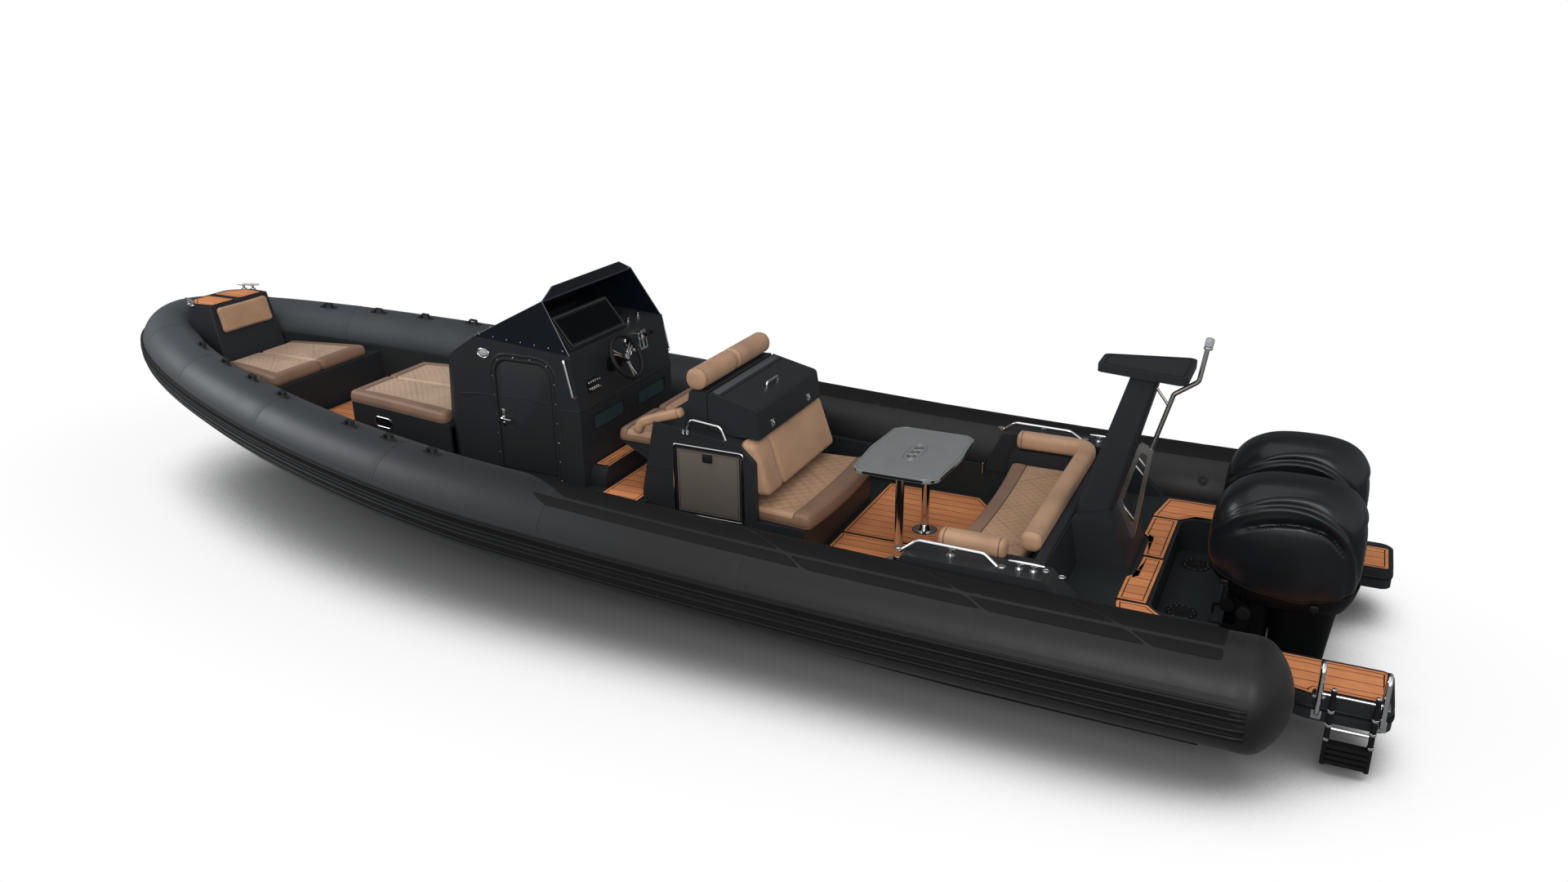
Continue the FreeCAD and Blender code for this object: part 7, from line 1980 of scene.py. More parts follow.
class Wheel:
    """Steering wheel with a padded rim and three forked spokes."""

    CENTRE = Vector((-0.235, 0.170, 1.472))
    TILT = math.radians(28.0)
    RADIUS = 0.165
    RIM = 0.0180
    STEPS = 96
    BOSS = ((0.014, -0.079), (0.014, -0.026), (0.034, -0.022), (0.035, 0.0), (0.030, 0.006), (0.002, 0.007))
    CAP = ((0.0235, 0.0066), (0.0235, 0.0078), (0.018, 0.0086), (0.002, 0.0088))
    # One prong of a spoke: distance out, across and along the axis.
    PRONG = ((0.026, 0.001, -0.001), (0.090, 0.004, 0.0), (0.155, 0.013, 0.006), (0.155, 0.024, 0.006),
             (0.085, 0.013, 0.0), (0.026, 0.016, -0.001))

    def build(self) -> None:
        """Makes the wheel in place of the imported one."""
        axis = Vector((-math.cos(self.TILT), 0.0, math.sin(self.TILT)))
        up = axis.cross(ASIDE).normalized()
        turns = [2.0 * math.pi * i / self.STEPS for i in range(self.STEPS)]
        line = [self.CENTRE + ASIDE * math.cos(turn) * self.RADIUS + up * math.sin(turn) * self.RADIUS
                for turn in turns]
        shape = bmesh.new()
        rings = []
        for turn, (place, across, rise) in zip(turns, frames_along(line, True, axis)):
            swell = 1.0 + 0.05 * math.cos(24.0 * turn) - 0.06 * (math.cos(3.0 * turn - math.pi / 2) > 0.96)
            reach = self.RIM * swell * 0.97
            rings.append([shape.verts.new(p) for p in oval_path(place, across, rise, (reach, reach), 20)])
        ring_faces(shape, rings + [rings[0]])
        for base in (90.0, 210.0, 330.0):
            turn = math.radians(base)
            self.spoke(shape, axis, ASIDE * math.cos(turn) + up * math.sin(turn))
        lathe(shape, self.BOSS, self.CENTRE, axis)
        lathe(shape, self.CAP, self.CENTRE, axis, 28, 1)
        piece = settle("helm_wheel", shape, [BLACK_GRAIN, BRUSHED])
        declare(piece, "wheel", Slot.WHEEL, "steering_wheel")

    def spoke(self, shape: bmesh.types.BMesh, axis: Vector, out: Vector) -> None:
        """One spoke that forks towards the rim, round a slot."""
        across = axis.cross(out).normalized()
        start = self.CENTRE - axis * 0.010
        for flank in (1.0, -1.0):
            corners = [start + out * a + across * flank * b + axis * c for a, b, c in self.PRONG]
            slab(shape, corners, axis * 0.0052, 0.0014, 1)


class ConsoleTrim:
    """Trim of the console: screen edges and screws, body joints, foot step teak, box lamp."""

    TOP_FORE = Vector((0.770, 0.628, 1.6353))
    TOP_AFT = Vector((-0.053, 0.628, 1.5783))
    SCREEN_TOP = Vector((0.174, 0.587, 1.941))
    LIP = Vector((0.184, 0.440, 2.016))

    PANE_OUT = Vector((0.46, 0.0, 0.89))
    JOINT_AFT = ((0.064, 1.166), (-0.020, 1.166), (-0.090, 1.170), (-0.1200, 1.172))
    JOINT_FORE = ((0.656, 1.200), (0.800, 1.196), (0.955, 1.176))
    DASH_X = -0.1202
    LOCKERS = ((0.075, 0.475), (-0.530, -0.130))
    LOCKER_Z = (0.985, 1.095)
    TREADS = ((0.300, 0.500), (-0.290, 0.290), (-0.500, -0.300))
    TREAD_X = (-0.242, -0.136)
    TREAD_Z = 0.7302

    def screen(self) -> None:
        """Rounded edge beads of the windscreen and the screws that hold it down."""
        shape = bmesh.new()
        for edge in ((self.TOP_FORE, self.SCREEN_TOP), (self.TOP_AFT, self.SCREEN_TOP),
                     (self.SCREEN_TOP, self.LIP)):
            for side in (1.0, -1.0):
                bar(shape, on_side(edge, side), (0.0042, 0.0042), count=8)
        for corner, half in ((self.LIP, 0.0042), (self.SCREEN_TOP, 0.0050)):
            bar(shape, [corner, *on_side([corner], -1.0)], (half, half), count=8)
        declare(settle("screen_edges", shape, [SMOKED_EDGE]), ROOT_BODY, Slot.GLASS)
        paths = []
        for side in (1.0, -1.0):
            foot = [self.TOP_AFT.lerp(self.TOP_FORE, 0.06) + Vector((0.0, 0.006, 0.030)),
                    self.TOP_AFT.lerp(self.TOP_FORE, 0.94) + Vector((0.0, 0.004, 0.022))]
            paths.append((on_side(foot, side), Vector((0.0, side, 0.12))))
            edge = [self.TOP_FORE.lerp(self.SCREEN_TOP, share) + Vector((0.010, -0.022, 0.006))
                    for share in (0.05, 0.95)]
            paths.append((on_side(edge, side), self.PANE_OUT))
        fore = self.TOP_FORE + Vector((-0.016, -0.05, 0.012))
        paths.append(([fore, *on_side([fore], -1.0)], self.PANE_OUT))
        screws = ScrewRun("screen_screws", 0.010, 0.118, STAINLESS)
        screws.build(paths, ROOT_BODY, Slot.STAINLESS, SCREW_TURN)

    def joints(self) -> None:
        """Joint between the upper and lower console mouldings, and the creases of its sides."""
        shape = bmesh.new()
        for side in (1.0, -1.0):
            for line, half in ((self.JOINT_AFT, 0.0055), (self.JOINT_FORE, 0.0065)):
                path = [Vector((x, side * CONSOLE_SIDE, z)) for x, z in line]
                bar(shape, path, (0.0030, half), count=8)
        bar(shape, [Vector((self.DASH_X, y, 1.176)) for y in (-0.636, 0.636)], (0.0045, 0.0070), count=8)
        declare(settle("console_joints", shape, [GELCOAT]), ROOT_BODY, Slot.GELCOAT)

    def lockers(self) -> None:
        """Bead round each locker window."""
        shape = bmesh.new()
        for y0, y1 in self.LOCKERS:
            corners = rectangle((y0, self.LOCKER_Z[0]), (y1, self.LOCKER_Z[1]))
            ring = rounded_outline([Vector((-0.1206, y, z)) for y, z in corners], 0.026)
            bead(shape, ring, (0.0028, 0.0022), AHEAD)
        declare(settle("locker_beads", shape, [BLACK_SMOOTH]), ROOT_BODY, Slot.BLACK_PLASTIC)

    def foot_step(self) -> None:
        """Teak treads on the foot step."""
        shape = bmesh.new()
        for y0, y1 in self.TREADS:
            corners = rectangle((self.TREAD_X[0], y0), (self.TREAD_X[1], y1))
            ring = rounded_outline([Vector((x, y, self.TREAD_Z)) for x, y in corners], 0.008)
            slab(shape, ring, UP * 0.005, 0.0012)
        piece = settle("foot_step_teak", shape, [TeakPlanks("teak foot step", TEAK.colour, 0.06)])
        declare(piece, ROOT_BODY, Slot.TEAK)

    def box_lamp(self) -> None:
        """Oval framed recess in each side of the front seat box."""
        shape = bmesh.new()
        lean = Vector((1.115, -0.150, 0.0)).normalized()
        for side in (1.0, -1.0):
            seat = Vector((1.886, side * (0.600 - 0.150 * (1.886 - 1.170) / 1.115 + 0.0006), 0.758))
            across = Vector((lean.x, side * lean.y, 0.0))
            out = Vector((-lean.y, side * lean.x, 0.0))
            bead(shape, rounded_box(seat, across, UP, (0.095, 0.040), 0.040, 8), (0.0060, 0.0045),
                 out, count=10)
            slab(shape, rounded_box(seat, across, UP, (0.088, 0.034), 0.034, 8), out * 0.0015, 0.0, 1)
        declare(settle("seat_box_lamps", shape, [STAINLESS, BLACK_SMOOTH]), ROOT_BODY, Slot.STAINLESS)

    def build(self) -> None:
        """Makes all the trim."""
        self.screen()
        self.joints()
        self.lockers()
        self.foot_step()
        self.box_lamp()


# Helm module, table and stern


class ModuleTrim:
    """Fridge frame and latch, galley lid and its catches, and the joints of the helm module."""

    HALF = 0.620
    FRIDGE_X = (-1.385, -0.886)
    FRIDGE_Z = (0.540, 1.022)
    LID_FORE = Vector((-1.090, 0.0, 1.411))
    LID_AFT = Vector((-1.456, 0.0, 1.327))
    LID_HALF = 0.480
    # Distance from the lid's fore edge, width, corner radius, thickness and material.
    LID_STRIPS = ((0.020, 0.052, 0.016, 0.0030, 0), (0.094, 0.006, 0.006, 0.0015, 1))
    CATCH_LEAN = Vector((0.166, 0.0, 0.986))
    SIDE_JOINTS = (((-0.628, 0.860), (-0.740, 0.853), (-0.858, 0.850)), ((-0.716, 1.176), (-1.276, 1.108)))
    HOOK_X = (-0.952, -0.985)
    # Distance out from the side and height.
    HOOK = ((0.003, 0.010), (0.016, 0.004), (0.016, -0.010), (0.005, -0.012))

    def opening(self, grow: float, lift: float, radius: float) -> List[Vector]:
        """Rounded outline of the fridge's opening, grown by an amount and lifted off the module's side."""
        (x0, x1), (z0, z1) = self.FRIDGE_X, self.FRIDGE_Z
        corners = rectangle((x0 - grow, z0 - grow), (x1 + grow, z1 + grow))
        return rounded_outline([Vector((x, self.HALF + lift, z)) for x, z in corners], radius)

    def fridge(self) -> None:
        """Stainless frame on the moulding, black gasket and square latch on the door."""
        shape = bmesh.new()
        bead(shape, self.opening(0.018, 0.0008, 0.026), (0.0105, 0.0042), ASIDE, count=12, power=3.0)
        declare(settle("fridge_frame", shape, [STAINLESS]), ROOT_BODY, Slot.STAINLESS)
        shape = bmesh.new()
        bead(shape, self.opening(-0.004, 0.0006, 0.008), (0.0038, 0.0016), ASIDE)
        bead(shape, self.opening(-0.020, 0.0004, 0.006), (0.0016, 0.0008), ASIDE)
        head = Vector((sum(self.FRIDGE_X) / 2.0, self.HALF, self.FRIDGE_Z[1]))
        latch = rounded_box(head + Vector((0.0, 0.0004, -0.048)), AHEAD, UP, (0.036, 0.030), 0.008)
        slab(shape, latch, ASIDE * 0.0145, 0.003)
        pull = rounded_box(head + Vector((0.0, 0.0150, -0.052)), AHEAD, UP, (0.022, 0.009), 0.006)
        bead(shape, pull, (0.0022, 0.0018), ASIDE)
        declare(settle("fridge_seal", shape, [BLACK_GRAIN]), "fridge", Slot.BLACK_PLASTIC)

    def lid(self) -> None:
        """Rounded lid with its lighter strip and catches."""
        rounded_copy("galley_lid_shell", "galley_lid", 0.012, GELCOAT, "lid", Slot.GELCOAT)
        shape = bmesh.new()
        run = (self.LID_AFT - self.LID_FORE).normalized()
        rise = Vector((run.z, 0.0, -run.x))
        half = ASIDE * self.LID_HALF
        for start, width, corner, thick, material in self.LID_STRIPS:
            seat = self.LID_FORE + run * start + rise * 0.0004
            ring = [seat - half, seat + half, seat + run * width + half, seat + run * width - half]
            slab(shape, rounded_outline(ring, corner), rise * thick, 0.0008, material)
        declare(settle("galley_lid_strip", shape, [BEVEL_GELCOAT, BLACK_SMOOTH]), "lid", Slot.GELCOAT)
        shape = bmesh.new()
        up = self.CATCH_LEAN.normalized()
        out = Vector((-up.z, 0.0, up.x))
        for y in (-0.300, 0.300):
            seat = Vector((-1.4765, y, 1.176))
            slab(shape, rounded_box(seat + out * 0.0035, ASIDE, up, (0.021, 0.030), 0.006),
                 out * 0.006, 0.002)
            bar(shape, [seat + out * 0.012 + up * 0.020, seat + out * 0.020, seat + out * 0.014 - up * 0.022],
                (0.007, 0.0035), count=10)
        declare(settle("galley_lid_catches", shape, [STAINLESS]), "lid", Slot.STAINLESS)

    def joints(self) -> None:
        """Raised joints along the module's sides and the stainless hooks by the rails."""
        shape = bmesh.new()
        for side in (1.0, -1.0):
            for line in self.SIDE_JOINTS:
                path = [Vector((x, side * (self.HALF + 0.0002), z)) for x, z in line]
                bar(shape, path, (0.0022, 0.0045), count=8)
        declare(settle("module_joints", shape, [GELCOAT]), ROOT_BODY, Slot.GELCOAT)
        shape = bmesh.new()
        for side in (1.0, -1.0):
            out = ASIDE * side
            for x in self.HOOK_X:
                seat = Vector((x, side * (self.HALF + 0.0004), 1.140))
                slab(shape, rounded_box(seat, AHEAD, UP, (0.010, 0.018), 0.005), out * 0.004, 0.001)
                hook = [seat + out * a + UP * b for a, b in self.HOOK]
                bar(shape, bend_path(hook, 0.006), (0.0028, 0.0028), count=8)
        declare(settle("module_hooks", shape, [STAINLESS]), ROOT_BODY, Slot.STAINLESS)

    def build(self) -> None:
        """Makes the module's trim."""
        self.fridge()
        self.lid()
        self.joints()


class Table:
    """Cockpit table: laminate face, black rim with a silver line, and the oval plate with its cup holes."""

    X = (-2.720, -2.120)
    HALF = 0.460
    TOP = 1.000
    CUT = 0.060
    BOW = 0.024
    CUT_REACH = 0.055
    BOW_REACH = 0.30
    CUPS = (-0.084, 0.0, 0.084)

    def edge(self, shrink: float, z: float) -> List[Vector]:
        """Outline of the table drawn in by an amount."""
        x0, x1, half = self.X[0] + shrink, self.X[1] - shrink, self.HALF - shrink
        cut, bow = self.CUT, self.BOW
        corners = ((x0, -half + cut), (x0 - bow, 0.0), (x0, half - cut), (x0 + cut, half), (x1 - cut, half),
                   (x1, half - cut), (x1 + bow, 0.0), (x1, -half + cut), (x1 - cut, -half), (x0 + cut, -half))
        points = [Vector((x, y, z)) for x, y in corners]
        rounded = []
        for i, corner in enumerate(points):
            reach = self.BOW_REACH if i in (1, 6) else self.CUT_REACH
            first, last = points[i - 1] - corner, points[(i + 1) % 10] - corner
            start = corner + first.normalized() * min(reach, 0.48 * first.length)
            end = corner + last.normalized() * min(reach, 0.48 * last.length)
            for k in range(9):
                share = k / 8
                rounded.append(start.lerp(corner, share).lerp(corner.lerp(end, share), share))
        return rounded

    def build(self) -> None:
        """Makes the table top and its trims."""
        rounded_copy("table_leaf", "table_top", 0.004, TABLE_FACE, ROOT_BODY, Slot.TABLE)
        shape = bmesh.new()
        bead(shape, self.edge(0.0035, self.TOP - 0.0120), (0.0060, 0.0105), UP, 0, 14, 3.2)
        bead(shape, self.edge(0.0140, self.TOP + 0.0002), (0.0018, 0.0008), UP, 1)
        centre = Vector((sum(self.X) / 2.0, 0.0, self.TOP + 0.0004))
        bead(shape, oval_path(centre, AHEAD, ASIDE, (0.060, 0.150), 64, 2.6), (0.0026, 0.0014), UP, 1)
        for y in self.CUPS:
            seat = centre + ASIDE * y
            bead(shape, oval_path(seat, AHEAD, ASIDE, (0.0325, 0.0325)), (0.0030, 0.0018), UP, 1)
            lathe(shape, ((0.0316, -0.0170), (0.0316, -0.0175)), seat, UP)
        declare(settle("table_trim", shape, [ENGINE_GLOSS, STAINLESS]), ROOT_BODY, Slot.BLACK_GLOSS)


class SternTrim:
    """Fittings of the mast, the deck, the side mouldings, the engine well and the swim platforms."""

    MAST_LEAN = Vector((-0.315, 0.0, 1.248))
    LAMP_AXIS = Vector((-0.115, 0.0, 0.993))
    LAMP_FOOT = ((0.026, -0.004), (0.0265, 0.002), (0.0265, 0.008), (0.024, 0.011))
    LAMP_LENS = ((0.0262, 0.0), (0.0262, 0.034), (0.022, 0.044), (0.010, 0.048))
    WING_BRACKET = ((-3.978, 1.7675), (-3.780, 1.7675), (-3.800, 1.735), (-3.842, 1.705))
    WING_TRAY = ((-4.140, -0.205), (-3.650, -0.100), (-3.650, 0.100), (-4.140, 0.205))
    WELL_Z = 0.3004
    HATCHES = ((-4.285, -0.470), (-4.285, 0.240))
    HATCH = ((0.088, 0.0), (0.088, 0.004), (0.084, 0.0055), (0.030, 0.0055), (0.027, 0.004), (0.002, 0.004))
    HATCH_SCREW = ((0.0032, 0.0050), (0.0032, 0.0062), (0.002, 0.0068))
    HATCH_SCREWS = 12
    WELL_PLATES = ((-4.130, 0.560), (-4.130, -0.560))
    ARM_Z = 0.8403
    SOCKETS = ((-3.600, 1.090), (-3.700, 1.130), (-3.600, -1.090))
    SOCKET = ((0.022, 0.0), (0.022, 0.003), (0.017, 0.005), (0.015, 0.003), (0.002, 0.003))
    RAIL_FEET = ((-2.716, 1.140), (-3.352, 1.140), (-3.036, 1.121))
    RAIL_FOOT = ((0.026, 0.0), (0.026, 0.004), (0.019, 0.007), (0.013, 0.008))
    HOOP_X = (-5.425, -5.108)
    PLATFORM_LINE = ((-4.600, 0.664), (-5.4800, 0.665), (-5.4800, 1.120), (-5.060, 1.120), (-4.960, 1.098))
    PLATFORM_Z = 0.345
    LADDER_X = (-5.390, -5.175)
    LADDER_Y = 1.172
    COLLAR_Z = (0.205, 0.290, 0.375)
    COLLAR = ((0.0155, -0.008), (0.0185, -0.006), (0.0185, 0.006), (0.0155, 0.008))
    LADDER_CAP = ((0.0152, 0.0), (0.0152, 0.006), (0.010, 0.009))
    TREADS = 4
    TREAD_RIBS = 5

    @staticmethod
    def plate(shape: bmesh.types.BMesh, seat: Vector, across: Vector, up: Vector, half: Flat, thick: float,
              material: int = 0, corner: float = 0.006) -> None:
        """A thin rounded plate on a surface."""
        out = across.cross(up).normalized()
        ring = rounded_box(seat, across, up, half, corner)
        slab(shape, ring, out * thick, min(thick * 0.3, 0.0015), material)

    def mast(self) -> None:
        """Oval chrome vent in each side of the mast, the mast lamp, and the bracket below the wing."""
        shape = bmesh.new()
        lean = self.MAST_LEAN.normalized()
        across = Vector((lean.z, 0.0, -lean.x))
        for side in (1.0, -1.0):
            seat, out = Vector((-3.640, side * 0.1525, 0.700)), Vector((0.0, side, 0.025))
            ring = oval_path(seat, across, lean, (0.050, 0.078), 40, 2.3)
            bead(shape, ring, (0.0060, 0.0045), out, count=10)
            slab(shape, oval_path(seat, across, lean, (0.046, 0.073), 40, 2.3), out * 0.0012, 0.0, 1)
            for k in range(5):
                rung = seat + lean * (-0.044 + 0.022 * k) + out * 0.002
                bar(shape, [rung - across * 0.036, rung + across * 0.036], (0.0022, 0.0040), count=8)
        lathe(shape, self.LAMP_FOOT, Vector((-4.2380, 0.0, 1.950)), self.LAMP_AXIS, 28)
        lathe(shape, self.LAMP_LENS, Vector((-4.2405, 0.0, 1.970)), self.LAMP_AXIS, 28, 2)
        piece = settle("mast_fittings", shape, [STAINLESS, BLACK_SMOOTH, LENS_WHITE])
        declare(piece, ROOT_BODY, Slot.STAINLESS)
        shape = bmesh.new()
        slab(shape, [Vector((x, -0.055, z)) for x, z in self.WING_BRACKET], ASIDE * 0.110, 0.004)
        declare(settle("wing_bracket", shape, [BLACK_SMOOTH]), ROOT_BODY, Slot.BLACK_PLASTIC)

    def wing(self) -> None:
        """Shallow tray edge on top of the wing."""
        shape = bmesh.new()
        ring = rounded_outline([Vector((x, y, 1.8165)) for x, y in self.WING_TRAY], 0.05)
        bead(shape, ring, (0.0060, 0.0035), UP, count=10)
        declare(settle("wing_bead", shape, [BLACK_SMOOTH]), ROOT_BODY, Slot.BLACK_PLASTIC)

    def well(self) -> None:
        """Round inspection hatches and the two small stainless plates in the engine well."""
        shape = bmesh.new()
        for x, y in self.HATCHES:
            seat = Vector((x, y, self.WELL_Z))
            bead(shape, oval_path(seat, AHEAD, ASIDE, (0.095, 0.095), 48), (0.0034, 0.0022), UP)
            lathe(shape, self.HATCH, seat, UP, 40)
            for spot in oval_path(seat, AHEAD, ASIDE, (0.078, 0.078), self.HATCH_SCREWS):
                lathe(shape, self.HATCH_SCREW, spot, UP, 8, 1)
        for x, y in self.WELL_PLATES:
            self.plate(shape, Vector((x, y, self.WELL_Z)), AHEAD, ASIDE, (0.012, 0.030), 0.004, 1, 0.008)
        declare(settle("well_hatches", shape, [BLACK_GRAIN, STAINLESS]), ROOT_BODY, Slot.BLACK_PLASTIC)

    def seat_fittings(self) -> None:
        """Square lamp in the front of each arm, round sockets on the arms and feet under the handrails."""
        shape = bmesh.new()
        for side in (-1.0, 1.0):
            seat = Vector((-2.6392, side, 0.560))
            self.plate(shape, seat, ASIDE, UP, (0.044, 0.044), 0.005, 0, 0.010)
            self.plate(shape, seat + AHEAD * 0.005, ASIDE, UP, (0.030, 0.030), 0.002, 1)
        for x, y in self.SOCKETS:
            lathe(shape, self.SOCKET, Vector((x, y, self.ARM_Z)), UP, 24)
        for side in (1.0, -1.0):
            for x, y in self.RAIL_FEET:
                lathe(shape, self.RAIL_FOOT, Vector((x, side * y, self.ARM_Z)), UP, 24)
        declare(settle("stern_seat_fittings", shape, [STAINLESS, BLACK_SMOOTH]), ROOT_BODY, Slot.STAINLESS)

    def platforms(self) -> None:
        """Plates at the hoops' feet and a rubber bead round each platform."""
        shape = bmesh.new()
        for x in self.HOOP_X:
            self.plate(shape, Vector((x, 1.056, 0.4004)), AHEAD, ASIDE, (0.034, 0.044), 0.005)
            self.plate(shape, Vector((x, 1.1204, 0.316)), -AHEAD, UP, (0.026, 0.034), 0.004)
        declare(settle("hoop_plates", shape, [STAINLESS]), ROOT_BODY, Slot.STAINLESS)
        shape = bmesh.new()
        line = bend_path([Vector((x, y, self.PLATFORM_Z)) for x, y in self.PLATFORM_LINE], 0.085, 8)
        for side in (1.0, -1.0):
            bar(shape, on_side(line, side), (0.0070, 0.0125), power=2.6, hint=UP)
        declare(settle("platform_bead", shape, [STRAKE]), ROOT_BODY, Slot.STRAKE)

    def ladder(self) -> None:
        """Telescope rings and end caps of the ladder, its chrome crossbar and the ribs of its treads."""
        shape = bmesh.new()
        for x in self.LADDER_X:
            for z in self.COLLAR_Z:
                lathe(shape, self.COLLAR, Vector((x, self.LADDER_Y, z)), UP, 24)
            lathe(shape, self.LADDER_CAP, Vector((x, self.LADDER_Y, 0.5040)), UP, 24)
        bar(shape, [Vector((x, self.LADDER_Y, 0.2720)) for x in (-5.374, -5.191)], (0.0102, 0.0102), count=14)
        declare(settle("ladder_collars", shape, [STAINLESS]), "boarding_ladder", Slot.STAINLESS)
        shape = bmesh.new()
        for i in range(self.TREADS):
            z = 0.0872 + 0.034 * i
            for k in range(self.TREAD_RIBS):
                y = 1.1515 + 0.0102 * k
                bar(shape, [Vector((x, y, z)) for x in (-5.366, -5.199)], (0.0022, 0.0016), count=8)
        declare(settle("ladder_treads", shape, [STRAKE]), "boarding_ladder", Slot.STRAKE)

    def build(self) -> None:
        """Makes the stern's fittings."""
        self.mast()
        self.wing()
        self.well()
        self.seat_fittings()
        self.platforms()
        self.ladder()


# Outboard engines


def distance_to(path: Sequence[Flat], x: float, z: float) -> Tuple[float, float]:
    """Signed distance of a side-view point from a path, above it positive, and the share along the path."""
    best, sign, place = 1e9, 1.0, 0.0
    last = len(path) - 1
    for i, ((ax, az), (bx, bz)) in enumerate(zip(path, path[1:])):
        dx, dz = bx - ax, bz - az
        share = max(0.0, min(1.0, ((x - ax) * dx + (z - az) * dz) / (dx * dx + dz * dz)))
        gap_x, gap_z = x - ax - dx * share, z - az - dz * share
        gap = math.hypot(gap_x, gap_z)
        if gap < best:
            best, place = gap, (i + share) / last
            sign = 1.0 if dz * gap_x - dx * gap_z > 0.0 else -1.0
    return best * sign, place


SPLINE_STEPS = 6


def spline(points: Sequence[Flat]) -> List[Flat]:
    """Smooth side-view curve through a few points."""
    def between(p: float, q: float, r: float, s: float, t: float) -> float:
        """Value a share of the way from the second of four to the third."""
        square, cube = 2 * p - 5 * q + 4 * r - s, 3 * q - p - 3 * r + s
        return 0.5 * (2 * q + (r - p) * t + square * t * t + cube * t ** 3)
    made = []
    ends = [points[0], *points, points[-1]]
    for a, b, c, d in zip(ends, ends[1:], ends[2:], ends[3:]):
        for k in range(SPLINE_STEPS):
            made.append(tuple(between(a[i], b[i], c[i], d[i], k / SPLINE_STEPS) for i in (0, 1)))
    made.append(points[-1])
    return made


